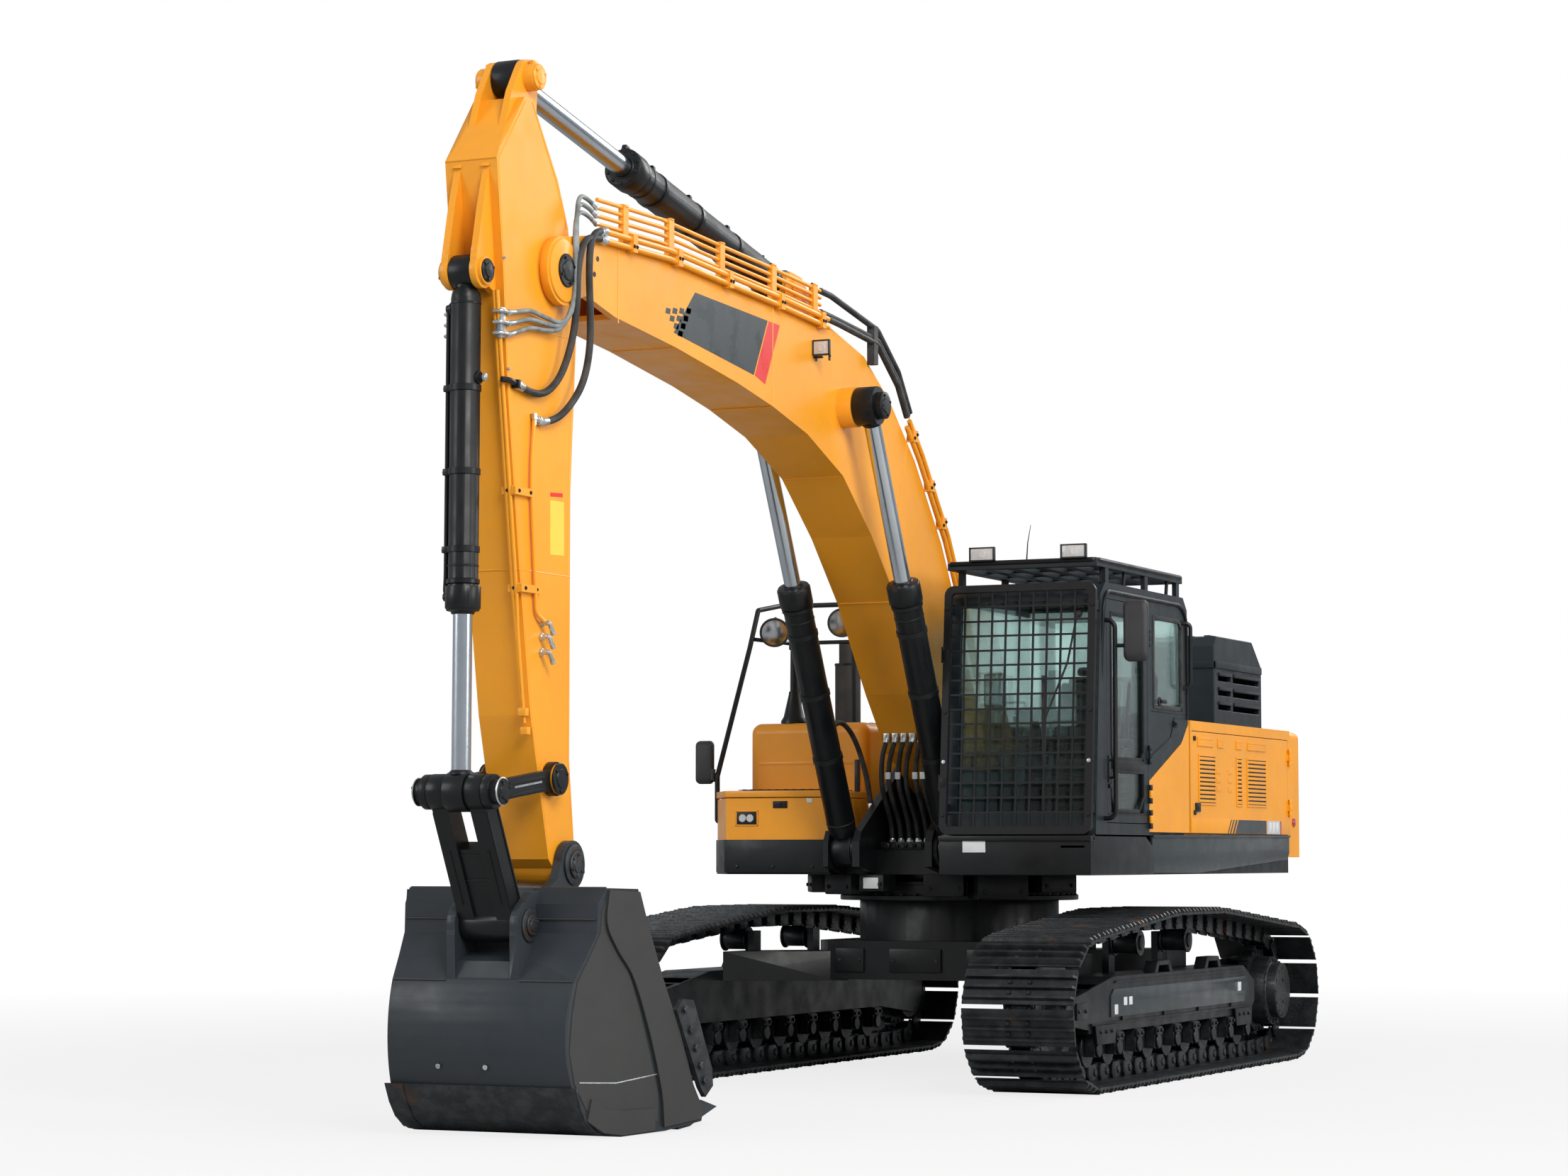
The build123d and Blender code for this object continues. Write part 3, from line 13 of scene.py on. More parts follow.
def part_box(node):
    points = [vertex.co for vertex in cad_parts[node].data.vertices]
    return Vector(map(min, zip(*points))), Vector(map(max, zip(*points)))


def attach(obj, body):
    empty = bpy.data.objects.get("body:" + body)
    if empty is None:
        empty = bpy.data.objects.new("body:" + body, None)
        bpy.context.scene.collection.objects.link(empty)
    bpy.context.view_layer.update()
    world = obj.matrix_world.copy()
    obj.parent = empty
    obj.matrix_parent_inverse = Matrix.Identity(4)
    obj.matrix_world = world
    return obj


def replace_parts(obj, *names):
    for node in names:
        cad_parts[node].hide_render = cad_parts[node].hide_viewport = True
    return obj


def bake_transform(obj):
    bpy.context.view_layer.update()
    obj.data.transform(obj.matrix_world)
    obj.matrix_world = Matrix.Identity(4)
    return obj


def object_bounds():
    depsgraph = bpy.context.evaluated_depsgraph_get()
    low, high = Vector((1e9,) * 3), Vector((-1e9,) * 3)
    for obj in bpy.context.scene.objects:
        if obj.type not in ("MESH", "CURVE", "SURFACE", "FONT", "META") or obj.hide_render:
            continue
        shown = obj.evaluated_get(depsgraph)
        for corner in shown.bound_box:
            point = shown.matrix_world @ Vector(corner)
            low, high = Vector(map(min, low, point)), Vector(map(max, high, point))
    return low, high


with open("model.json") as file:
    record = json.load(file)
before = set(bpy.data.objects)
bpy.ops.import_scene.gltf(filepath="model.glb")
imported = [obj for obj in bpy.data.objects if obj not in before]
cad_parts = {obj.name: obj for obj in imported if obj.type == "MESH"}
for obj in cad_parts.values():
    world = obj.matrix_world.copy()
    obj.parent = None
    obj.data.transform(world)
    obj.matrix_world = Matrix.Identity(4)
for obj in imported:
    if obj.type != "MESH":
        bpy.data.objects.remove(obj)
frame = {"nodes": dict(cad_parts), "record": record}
cad_low, cad_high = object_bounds()
nodes = frame["nodes"]
slot_of = {part["node"]: part["material_slot"] for part in frame["record"]["subparts"]}
pivots = {joint["name"]: Vector(joint["pos_m"])
          for joint in frame["record"]["behaviour"]["joints"] if "pos_m" in joint}
SIDES = (-1, 1)
ACROSS, AHEAD, UP = (1, 0, 0), (0, -1, 0), (0, 0, 1)


# ---------------------------------------------------------------- materials
def shader(name, colour, roughness, metallic=0.0, **sockets):
    """A new principled material and its main node."""
    material = bpy.data.materials.new(name)
    material.use_nodes = True
    main = material.node_tree.nodes["Principled BSDF"]
    main.inputs["Base Color"].default_value = (*colour, 1)
    main.inputs["Roughness"].default_value = roughness
    main.inputs["Metallic"].default_value = metallic
    for socket, value in sockets.items():
        main.inputs[socket.replace("_", " ")].default_value = value
    return material, main


def node(material, kind, **inputs):
    """A new shader node, its inputs set to values or linked to outputs; i0, i1 and so on count the inputs."""
    tree = material.node_tree
    new = tree.nodes.new(kind)
    for name, value in inputs.items():
        numbered = name[0] == "i" and name[1:].isdigit()
        socket = new.inputs[int(name[1:]) if numbered else name.replace("_", " ")]
        if isinstance(value, bpy.types.NodeSocket):
            tree.links.new(value, socket)
        else:
            socket.default_value = value
    return new


def texture(material, kind, **inputs):
    """A texture in the object's own coordinates."""
    place = node(material, "ShaderNodeTexCoord")
    return node(material, "ShaderNodeTex" + kind, Vector=place.outputs["Object"], **inputs)


def spread(material, pattern, low, high):
    """A 0 to 1 pattern spread between two values."""
    return node(material, "ShaderNodeMapRange", i0=pattern, i3=low, i4=high).outputs["Result"]


def product(material, first, second):
    """Two values multiplied."""
    times = node(material, "ShaderNodeMath", i0=first, i1=second)
    times.operation = "MULTIPLY"
    return times.outputs[0]


def shade_of(colour, share):
    """A darker or lighter colour of the same hue."""
    return tuple(share * part for part in colour)


def mottle(material, scale, detail=6.0, low=0.35, high=0.65):
    """A soft 0 to 1 pattern."""
    cloud = texture(material, "Noise", Scale=scale, Detail=detail)
    ramp = node(material, "ShaderNodeMapRange", i0=cloud.outputs["Fac"], i1=low, i2=high)
    return ramp.outputs["Result"]


def blend_colour(material, factor, first, second):
    """Mixes two colours, each a colour or an output."""
    mix = material.node_tree.nodes.new("ShaderNodeMix")
    mix.data_type = "RGBA"
    material.node_tree.links.new(factor, mix.inputs["Factor"])
    colours = [socket for socket in mix.inputs if socket.type == "RGBA"]
    for socket, colour in zip(colours, (first, second)):
        if isinstance(colour, bpy.types.NodeSocket):
            material.node_tree.links.new(colour, socket)
        else:
            socket.default_value = (*colour, 1)
    return [output for output in mix.outputs if output.type == "RGBA"][0]


def finish_shader(material, main, colour=None, rough=None, bump=None, bump_depth=0.0005):
    """Links a colour, a roughness and a bump height into the main node."""
    links = material.node_tree.links
    if colour is not None:
        links.new(colour, main.inputs["Base Color"])
    if rough is not None:
        links.new(rough, main.inputs["Roughness"])
    if bump is not None:
        relief = node(material, "ShaderNodeBump", Height=bump, Strength=1.0, Distance=bump_depth)
        links.new(relief.outputs["Normal"], main.inputs["Normal"])
    return material


def painted(name, colour, roughness, dirt=(0.25, 0.22, 0.18), dirt_share=0.12, coat=0.3):
    """Sprayed enamel: faint unevenness, fine orange peel, and a little dust that settles on upper faces."""
    material, main = shader(name, colour, roughness, Coat_Weight=coat, Coat_Roughness=0.12,
                            Specular_IOR_Level=0.3)
    uneven = blend_colour(material, mottle(material, 1.3), colour, shade_of(colour, 0.90))
    geometry = node(material, "ShaderNodeNewGeometry")
    facing = node(material, "ShaderNodeSeparateXYZ", Vector=geometry.outputs["Normal"])
    upward = node(material, "ShaderNodeMapRange", i0=facing.outputs["Z"], i1=0.3, i2=1.0, i3=0.0,
                  i4=dirt_share * 2.5)
    specks = product(material, mottle(material, 9.0, 9.0), dirt_share)
    settled = product(material, mottle(material, 4.0, 8.0, 0.2, 0.8), upward.outputs["Result"])
    dust = node(material, "ShaderNodeMath", i0=specks, i1=settled)
    dust.use_clamp = True
    coloured = blend_colour(material, dust.outputs[0], uneven, dirt)
    rough = spread(material, mottle(material, 6.0), roughness - 0.06, roughness + 0.12)
    peel = texture(material, "Noise", Scale=260.0)
    return finish_shader(material, main, coloured, rough, peel.outputs["Fac"], 0.00012)


def bare_steel(name, colour, worn, roughness, scale=14.0, metallic=0.6, relief=0.0006):
    """Dark rolled steel, polished here and there, with mill scale and fine scratches."""
    material, main = shader(name, colour, roughness, metallic)
    patches = mottle(material, scale, 9.0, 0.42, 0.62)
    fine = mottle(material, scale * 9, 5.0)
    mixed = blend_colour(material, patches, colour, worn)
    rust = blend_colour(material, mottle(material, scale * 0.45, 10.0, 0.62, 0.78), mixed,
                        (0.10, 0.055, 0.03))
    rough = spread(material, fine, roughness - 0.12, roughness + 0.15)
    return finish_shader(material, main, rust, rough, fine, relief)


def chromed(name):
    """A ground and chromed surface with faint drawn lines, for the rods and the mirrors."""
    material, main = shader(name, (0.60, 0.65, 0.69), 0.2, 1.0)
    place = node(material, "ShaderNodeTexCoord")
    stretched = node(material, "ShaderNodeMapping", Vector=place.outputs["Object"], Scale=(260.0, 6.0, 6.0))
    lines = node(material, "ShaderNodeTexNoise", Vector=stretched.outputs["Vector"], Scale=4.0)
    rough = spread(material, lines.outputs["Fac"], 0.12, 0.3)
    tint = blend_colour(material, mottle(material, 2.0), (0.60, 0.65, 0.69), (0.50, 0.55, 0.60))
    return finish_shader(material, main, tint, rough)


def glazed(name, colour):
    """Tinted cab glass."""
    material, main = shader(name, colour, 0.03, 0.0, Transmission_Weight=1.0, IOR=1.35, Alpha=0.62)
    rough = spread(material, mottle(material, 3.0, 8.0, 0.3, 0.9), 0.02, 0.09)
    tint = blend_colour(material, mottle(material, 1.1), colour, shade_of(colour, 0.85))
    return finish_shader(material, main, tint, rough)


def rubber(name, colour=(0.012, 0.012, 0.013)):
    """Hose rubber with a fine woven cover."""
    material, main = shader(name, colour, 0.55)
    weave = texture(material, "Wave", Scale=180.0, Distortion=2.0)
    dusty = blend_colour(material, mottle(material, 12.0, 8.0, 0.4, 0.8), colour, (0.05, 0.05, 0.048))
    return finish_shader(material, main, dusty, None, weave.outputs["Fac"], 0.0004)


def cloth(name, colour):
    """Woven seat fabric."""
    material, main = shader(name, colour, 0.85, Sheen_Weight=0.4, Sheen_Roughness=0.4)
    weave = texture(material, "Voronoi", Scale=420.0).outputs["Distance"]
    mixed = blend_colour(material, weave, colour, shade_of(colour, 2.4))
    return finish_shader(material, main, mixed, None, weave, 0.0006)


def moulded(name, colour, roughness=0.5):
    """Moulded plastic with a fine grain."""
    material, main = shader(name, colour, roughness)
    grain = mottle(material, 330.0, 3.0)
    mixed = blend_colour(material, mottle(material, 5.0), colour, shade_of(colour, 1.35))
    return finish_shader(material, main, mixed, None, grain, 0.0003)


def lens(name, colour):
    """A clear lamp lens with pressed ribs."""
    material, main = shader(name, colour, 0.12, 0.0, Coat_Weight=1.0, Coat_Roughness=0.05)
    ribs = texture(material, "Wave", Scale=60.0).outputs["Fac"]
    mixed = blend_colour(material, ribs, colour, shade_of(colour, 0.7))
    return finish_shader(material, main, mixed, None, ribs, 0.002)


YELLOW, OCHRE_DUST = (0.90, 0.355, 0.016), (0.42, 0.24, 0.09)
GREY_DUST, PALE_DUST = (0.2, 0.2, 0.2), (0.3, 0.3, 0.3)
DARK_PLASTIC = (0.020, 0.021, 0.023)
MAKERS = {     # by material: the function that makes it, and what it takes after the name
    "paint_yellow": (painted, YELLOW, 0.36, OCHRE_DUST, 0.07, 0.15),
    "counterweight_iron": (painted, YELLOW, 0.40, OCHRE_DUST, 0.07, 0.12),
    "paint_slate": (painted, (0.012, 0.019, 0.023), 0.42, (0.05, 0.055, 0.055), 0.05, 0.06),
    "paint_black": (painted, (0.004, 0.005, 0.006), 0.40, (0.035, 0.037, 0.037), 0.05, 0.06),
    "track_steel": (bare_steel, (0.014, 0.017, 0.019), (0.030, 0.034, 0.037), 0.40, 10.0, 0.5, 0.0002),
    "bucket_steel": (painted, (0.026, 0.033, 0.040), 0.42, (0.07, 0.068, 0.062), 0.05, 0.05),
    "engine_block": (bare_steel, (0.2, 0.2, 0.21), (0.3, 0.3, 0.31), 0.5),
    "chrome_rod": (chromed,),
    "cab_glass": (glazed, (0.50, 0.74, 0.70)),
    "seat_fabric": (cloth, DARK_PLASTIC),
    "console_plastic": (moulded, DARK_PLASTIC),
    "lamp": (lens, (0.80, 0.82, 0.83)),
    "hose_rubber": (rubber,),
    "exhaust_steel": (painted, (0.03, 0.03, 0.03), 0.6, (0.1, 0.07, 0.05), 0.2, 0.0),
}
EXTRAS = {     # looks that share another material's slot: the slot, then as above
    # The bucket's sides take a lighter, browner copy of the bucket paint: painted light, for the light the
    # sides catch.
    "bucket_side": ("bucket_steel", painted, (0.040, 0.042, 0.041), 0.45, (0.08, 0.075, 0.065), 0.05, 0.03),
    "bucket_edge": ("bucket_steel", bare_steel, (0.030, 0.034, 0.038), (0.055, 0.060, 0.064), 0.5),
    "wear_white": ("paint_slate", painted, (0.72, 0.74, 0.74), 0.4, PALE_DUST, 0.1),
    "decal_slate": ("paint_slate", painted, (0.022, 0.032, 0.036), 0.3, GREY_DUST, 0.02),
    "decal_red": ("paint_slate", painted, (0.72, 0.022, 0.018), 0.3, GREY_DUST, 0.02),
    "label_yellow": ("paint_yellow", painted, (0.92, 0.60, 0.06), 0.35, GREY_DUST, 0.02),
    "zinc": ("chrome_rod", bare_steel, (0.50, 0.53, 0.54), (0.66, 0.69, 0.70), 0.34, 20.0, 0.9, 0.0002),
    "grey_hose": ("hose_rubber", rubber, (0.26, 0.29, 0.29)),
    "mirror_glass": ("chrome_rod", chromed),
    "amber": ("lamp", lens, (0.85, 0.22, 0.02)),
    "red_lens": ("lamp", lens, (0.55, 0.01, 0.01)),
    "green_cap": ("console_plastic", moulded, (0.02, 0.22, 0.10)),
}
MATERIALS = {name: make(name, *values) for name, (make, *values) in MAKERS.items()}
MATERIALS.update((name, make(name, *values)) for name, (_, make, *values) in EXTRAS.items())
SLOTS = {name: name for name in MAKERS} | {name: slot for name, (slot, *_) in EXTRAS.items()}


# ---------------------------------------------------------------- shape tools
def turned(degrees, axis):
    """A turn about one of the machine's axes."""
    return Matrix.Rotation(math.radians(degrees), 3, axis)


def beside(point, x):
    """The place at x in line with this point of the middle plane."""
    return Vector((x, point.y, point.z))


def rect(y0, y1, z0, z1):
    """A rectangle's corners, (y, z) in the side view."""
    return [(y0, z0), (y1, z0), (y1, z1), (y0, z1)]


def pin_line(start, end):
    """The way from one pin to another in the side view, and the way square to it."""
    way = (end - start).normalized()
    return way, Vector((0, -way.z, way.y))


def upright(direction):
    """A frame whose Z is this direction."""
    z = Vector(direction).normalized()
    x = Vector((1, 0, 0)) if abs(z.x) < 0.9 else Vector((0, 1, 0))
    y = z.cross(x).normalized()
    return Matrix((y.cross(z), y, z)).transposed()


def smooth_line(points, steps=8):
    """Points along a smooth curve through the given ones."""
    points = [Vector(point) for point in points]
    padded = [2 * points[0] - points[1], *points, 2 * points[-1] - points[-2]]
    line = []
    for a, b, c, d in zip(padded, padded[1:], padded[2:], padded[3:]):
        for step in range(steps):
            t = step / steps
            line.append(0.5 * (2 * b + (c - a) * t + (2 * a - 5 * b + 4 * c - d) * t * t
                               + (3 * b - 3 * c + d - a) * t ** 3))
    return line + [points[-1]]


def rounded_line(points, bend, steps=5):
    """The straight runs between the points, joined by bends of this reach."""
    points = [Vector(point) for point in points]
    line = [points[0]]
    for before, corner, after in zip(points, points[1:], points[2:]):
        reach = min(bend, (before - corner).length / 2.1, (after - corner).length / 2.1)
        start = corner + (before - corner).normalized() * reach
        end = corner + (after - corner).normalized() * reach
        for step in range(steps + 1):
            t = step / steps
            line.append(start.lerp(corner, t).lerp(corner.lerp(end, t), t))
    return line + [points[-1]]


class Shape:
    """Solids gathered into one mesh."""

    def __init__(self):
        self.mesh = bmesh.new()

    def skin(self, rings, bevel=0.0, segments=2):
        """A closed solid through rings of like counts of points, its edges bevelled."""
        rows = [[self.mesh.verts.new(point) for point in ring] for ring in rings]
        faces = [self.mesh.faces.new(list(reversed(rows[0]))), self.mesh.faces.new(rows[-1])]
        for low, high in zip(rows, rows[1:]):
            for i in range(len(low)):
                j = (i + 1) % len(low)
                faces.append(self.mesh.faces.new((low[i], low[j], high[j], high[i])))
        bmesh.ops.recalc_face_normals(self.mesh, faces=faces)
        if bevel:
            edges = {edge for face in faces for edge in face.edges}
            bmesh.ops.bevel(self.mesh, geom=list(edges), offset=bevel, segments=segments, affect="EDGES",
                            profile=0.6, clamp_overlap=True)
        return self

    def block(self, low, high, bevel=0.0, turn=None):
        """A box between two corners, turned about its centre by a matrix."""
        low, high = Vector(low), Vector(high)
        centre = (low + high) / 2
        rings = []
        for z in (low.z, high.z):
            ring = [Vector((x, y, z)) for x, y in rect(low.x, high.x, low.y, high.y)]
            rings.append([centre + turn @ (point - centre) if turn else point for point in ring])
        return self.skin(rings, bevel)

    def side(self, points, x0, x1, bevel=0.0):
        """A plate across the machine with the side view given by (y, z) points."""
        return self.skin([[(x0, *point) for point in points], [(x1, *point) for point in points]], bevel)

    def plan(self, points, z0, z1, bevel=0.0):
        """An upright piece with the plan given by (x, y) points."""
        return self.skin([[(*point, z0) for point in points], [(*point, z1) for point in points]], bevel)

    def front(self, points, y0, y1, bevel=0.0):
        """A plate with the front view given by (x, z) points."""
        return self.skin([[(x, y, z) for x, z in points] for y in (y0, y1)], bevel)

    def lathe(self, start, direction, profile, sides=24):
        """A turned piece: (distance along the axis, radius) pairs from one end to the other."""
        turn, start = upright(direction), Vector(start)
        angles = [2 * math.pi * i / sides for i in range(sides)]
        return self.skin([[start + turn @ Vector((radius * math.cos(a), radius * math.sin(a), along))
                           for a in angles] for along, radius in profile])

    def rod(self, start, end, radius, sides=20, edge=0.0):
        """A round bar with slightly broken edges."""
        way = Vector(end) - Vector(start)
        edge = edge or min(0.12 * radius, way.length / 4)
        profile = [(0, radius - edge), (edge, radius), (way.length - edge, radius),
                   (way.length, radius - edge)]
        return self.lathe(start, way, profile, sides)

    def ring(self, centre, direction, inner, outer, thick, sides=32, edge=0.0):
        """A flat ring, centred, with its bore open."""
        half, edge = thick / 2, edge or thick * 0.15
        return self.hoop(centre, direction, [(-half + edge, inner), (-half, inner + edge),
                                             (-half, outer - edge), (-half + edge, outer),
                                             (half - edge, outer), (half, outer - edge), (half, inner + edge),
                                             (half - edge, inner)], sides)

    def hoop(self, centre, direction, section, sides=32):
        """A turned ring with its bore open: its closed section as (distance along the axis, radius) pairs."""
        turn, centre = upright(direction), Vector(centre)
        rows = []
        for i in range(sides):
            angle = 2 * math.pi * i / sides
            out = Vector((math.cos(angle), math.sin(angle), 0))
            rows.append([self.mesh.verts.new(centre + turn @ (out * radius + Vector((0, 0, along))))
                         for along, radius in section])
        faces = []
        for a, b in zip(rows, rows[1:] + rows[:1]):
            for i in range(len(section)):
                j = (i + 1) % len(section)
                faces.append(self.mesh.faces.new((a[i], a[j], b[j], b[i])))
        bmesh.ops.recalc_face_normals(self.mesh, faces=faces)
        return self

    def tube(self, line, radius, sides=10):
        """A round section along a line of points; radius is a number or a function of 0 to 1."""
        line = [Vector(point) for point in line]
        rings, across = [], None
        for i, point in enumerate(line):
            way = (line[min(i + 1, len(line) - 1)] - line[max(i - 1, 0)]).normalized()
            across = across or upright(way) @ Vector(ACROSS)
            across = (across - way * across.dot(way)).normalized()
            other = way.cross(across)
            size = radius(i / (len(line) - 1)) if callable(radius) else radius
            angles = [2 * math.pi * k / sides for k in range(sides)]
            rings.append([point + size * (across * math.cos(a) + other * math.sin(a)) for a in angles])
        return self.skin(rings)

    def pipe(self, points, bend, radius):
        """A tube along straight runs with rounded corners."""
        return self.tube(rounded_line(points, bend), radius)

    def weld(self, x, line, radius):
        """A bead along (y, z) points at this x."""
        return self.tube([(x, y, z) for y, z in line], radius, 6)

    def cross_weld(self, half, y, z, radius):
        """A bead across the machine."""
        return self.tube([(-half, y, z), (half, y, z)], radius, 6)

    def strip(self, start, end, rise, x0, x1, bevel=0.0):
        """A narrow plate beside a line of the middle plane, its height given by a vector."""
        corners = [(point.y, point.z) for point in (start, end, end + rise, start + rise)]
        return self.side(corners, *sorted((x0, x1)), bevel)

    def grip(self, first, pitch, counts, thick):
        """Rows of small rings on a grip plate, from the first one's centre."""
        x, y, z = first
        for i in range(counts[0]):
            for j in range(counts[1]):
                self.ring((x + i * pitch, y + j * pitch, z), UP, 0.008, 0.016, thick, 8)
        return self

    def bolt(self, centre, direction, size, height=None):
        """A hexagon head on a washer; size is the head's radius."""
        height = height or 0.7 * size
        z = Vector(direction).normalized()
        self.lathe(centre, z, [(0, 1.35 * size), (0.18 * size, 1.3 * size)], 14)
        head = [(0, size), (height * 0.8, size), (height, 0.8 * size)]
        return self.lathe(Vector(centre) + z * 0.18 * size, z, head, 6)

    def bolts(self, centre, direction, ring, count, size, start=0.0):
        """A circle of bolts about an axis."""
        turn = upright(direction)
        for i in range(count):
            angle = start + 2 * math.pi * i / count
            place = Vector(centre) + turn @ Vector((ring * math.cos(angle), ring * math.sin(angle), 0))
            self.bolt(place, direction, size)
        return self

    def add(self, other, matrix=None):
        """Joins a copy of another shape, moved by a matrix."""
        copy = other.mesh.copy()
        if matrix is not None:
            copy.transform(matrix)
            if matrix.determinant() < 0:
                bmesh.ops.reverse_faces(copy, faces=copy.faces[:])
        passing = bpy.data.meshes.new("passing")
        copy.to_mesh(passing)
        self.mesh.from_mesh(passing)
        copy.free()
        bpy.data.meshes.remove(passing)
        return self

    def mirrored(self):
        """Joins the shape's own mirror image across the machine."""
        copy = Shape().add(self, Matrix.Scale(-1, 4, ACROSS))
        return self.add(copy)

    def piece(self, name, body, material, angle=35.0):
        """Makes the object, smooth except at sharp edges, and hands it to its body."""
        data = bpy.data.meshes.new(name)
        self.mesh.to_mesh(data)
        self.mesh.free()
        data.shade_smooth()
        data.set_sharp_from_angle(angle=math.radians(angle))
        piece = bpy.data.objects.new(name, data)
        bpy.context.scene.collection.objects.link(piece)
        data.materials.append(MATERIALS[material])
        if body:
            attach(piece, body)
        return piece


# ---------------------------------------------------------------- the CAD nodes' own finish
SOFT_EDGES = {0.002: "front_guard",
              0.003: "roof_guard carrier_rollers boom_cylinder_barrels arm_cylinder_barrel "
                     "bucket_cylinder_barrel",
              0.004: "main_frame engine_hood top_deck rocker_links final_drives idlers",
              0.005: "boom arm bucket bucket_link car_body track_frames left_front_door left_rear_door "
                     "right_side_door cab_door",
              0.006: "left_side_panel right_side_panel tool_box cab_shell",
              0.008: "tool_box_lid air_box",
              0.012: "counterweight"}
for name, piece in nodes.items():
    piece.data.materials.clear()
    piece.data.materials.append(MATERIALS[slot_of[name]])
    width = next((width for width, names in SOFT_EDGES.items() if name in names.split()), 0)
    if width:
        weld = piece.modifiers.new("weld", "WELD")
        weld.merge_threshold = 0.0002
        bevel = piece.modifiers.new("edges", "BEVEL")
        bevel.width = width
        bevel.segments = 2
        bevel.limit_method = "ANGLE"
        bevel.angle_limit = math.radians(32)
        bevel.harden_normals = True


# ---------------------------------------------------------------- tracks
idler_low, idler_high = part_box("idlers")
drive_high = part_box("final_drives")[1]
track_low, track_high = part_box("tracks")
roller_low, roller_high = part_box("carrier_rollers")
LINK_HALF, PLATE, GROUSER = 0.050, 0.014, 0.028          # half a link's height, a shoe's plate and its bars
SHOES = 50                                               # on each track
shoe_reach = LINK_HALF + PLATE + GROUSER
wheel_z = (idler_low.z + idler_high.z) / 2
pitch_radius = wheel_z - shoe_reach
idler_y = track_low.y + pitch_radius + shoe_reach
sprocket_y = -idler_y
carrier_radius = 0.070
carrier_top = track_high.z - shoe_reach
carrier_ys = (roller_low.y + carrier_radius, roller_high.y - carrier_radius)
AXLE_REACH = 0.165                          # from a track's middle to the ends of its axles
gauge_half = idler_high.x - AXLE_REACH


def chain_line():
    """The closed pin line as (kind, data, length) runs, from the front of the bottom."""
    front, rear = (idler_y, wheel_z), (sprocket_y, wheel_z)

    def touch(wheel, point, turn):
        """The angle at which a line from the point meets a wheel."""
        run = (point[0] - wheel[0], point[1] - wheel[1])
        return math.atan2(run[1], run[0]) + turn * math.acos(pitch_radius / math.hypot(*run))

    ahead, behind = [(y, carrier_top) for y in carrier_ys]
    leave, meet = touch(rear, behind, -1), touch(front, ahead, 1)
    corners = [(wheel[0] + pitch_radius * math.cos(angle), wheel[1] + pitch_radius * math.sin(angle))
               for wheel, angle in ((rear, leave), (front, meet))]
    corners[1:1] = [behind, ahead]
    bottom = ((idler_y, shoe_reach), (sprocket_y, shoe_reach))
    runs = [("line", bottom, sprocket_y - idler_y),
            ("arc", (rear, -math.pi / 2), pitch_radius * (leave + math.pi / 2))]
    runs += [("line", (a, b), math.dist(a, b)) for a, b in zip(corners, corners[1:])]
    return runs + [("arc", (front, meet), pitch_radius * (1.5 * math.pi - meet))]


def on_chain(runs, way):
    """The (y, z) point this far along the pin line."""
    for kind, data, length in runs:
        if way <= length:
            if kind == "line":
                (y0, z0), (y1, z1) = data
                return y0 + (y1 - y0) * way / length, z0 + (z1 - z0) * way / length
            (y, z), start = data
            angle = start + way / pitch_radius
            return y + pitch_radius * math.cos(angle), z + pitch_radius * math.sin(angle)
        way -= length
    return on_chain(runs, way)


def track_shoe(pitch, width):
    """One shoe with its two links, its pin and its bolts; Y along the track and Z outward."""
    shoe = Shape()
    half, x = pitch / 2 - 0.003, width / 2
    top = LINK_HALF + PLATE
    section = [(-half - 0.010, LINK_HALF + 0.010), (-half + 0.012, LINK_HALF), (half - 0.004, LINK_HALF),
               (half, LINK_HALF + 0.004), (half, top - 0.003), (half - 0.004, top)]
    for place, height in ((0.62, 0.024), (0.0, 0.026), (-0.62, GROUSER)):
        middle = place * half
        section += [(middle + 0.015, top), (middle + 0.007, top + height), (middle - 0.007, top + height),
                    (middle - 0.015, top)]
    section += [(-half - 0.010, top)]
    ends = [(-x, 0.4), (-x + 0.016, 1.0), (x - 0.016, 1.0), (x, 0.4)]      # across, share of the bars' height
    shoe.skin([[(across, y, z if z <= top else top + (z - top) * share) for y, z in section]
               for across, share in ends])
    for across in (-0.062, 0.062):
        for along in (-0.31 * half, 0.31 * half):
            shoe.bolt((across, along, top), UP, 0.013, 0.010)
    for side in SIDES:
        for start, end, inset in ((-half - 0.022, 0.012, 0.060), (-0.012, half + 0.022, 0.078)):
            shoe.side([(start, -0.030), (start + 0.018, -LINK_HALF), (end - 0.018, -LINK_HALF), (end, -0.030),
                       (end, 0.022), (end - 0.02, LINK_HALF), (start + 0.02, LINK_HALF), (start, 0.022)],
                      side * inset, side * (inset + 0.016), 0.003)
        shoe.rod((side * 0.045, half, 0), (side * 0.101, half, 0), 0.024, 14)
    shoe.rod((-0.05, half, 0), (0.05, half, 0), 0.030, 14)
    return shoe


def make_track(side, name):
    """A belt of like shoes along the pin line."""
    runs = chain_line()
    pitch = sum(length for _, _, length in runs) / SHOES
    shoe = track_shoe(pitch, 2 * (track_high.x - gauge_half))
    belt = Shape()
    pins = [on_chain(runs, i * pitch) for i in range(SHOES)]
    for (y0, z0), (y1, z1) in zip(pins, pins[1:] + pins[:1]):
        along = Vector((0, y1 - y0, z1 - z0)).normalized()
        outward = Vector((0, along.z, -along.y))
        turn = Matrix((ACROSS, along, outward)).transposed().to_4x4()
        turn.translation = (side * gauge_half, (y0 + y1) / 2, (z0 + z1) / 2)
        belt.add(shoe, turn)
    bmesh.ops.recalc_face_normals(belt.mesh, faces=belt.mesh.faces[:])
    return belt.piece(name, "undercarriage", "track_steel", angle=25)


for side, name in ((1, "left_track_belt"), (-1, "right_track_belt")):
    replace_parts(make_track(side, name), "tracks")


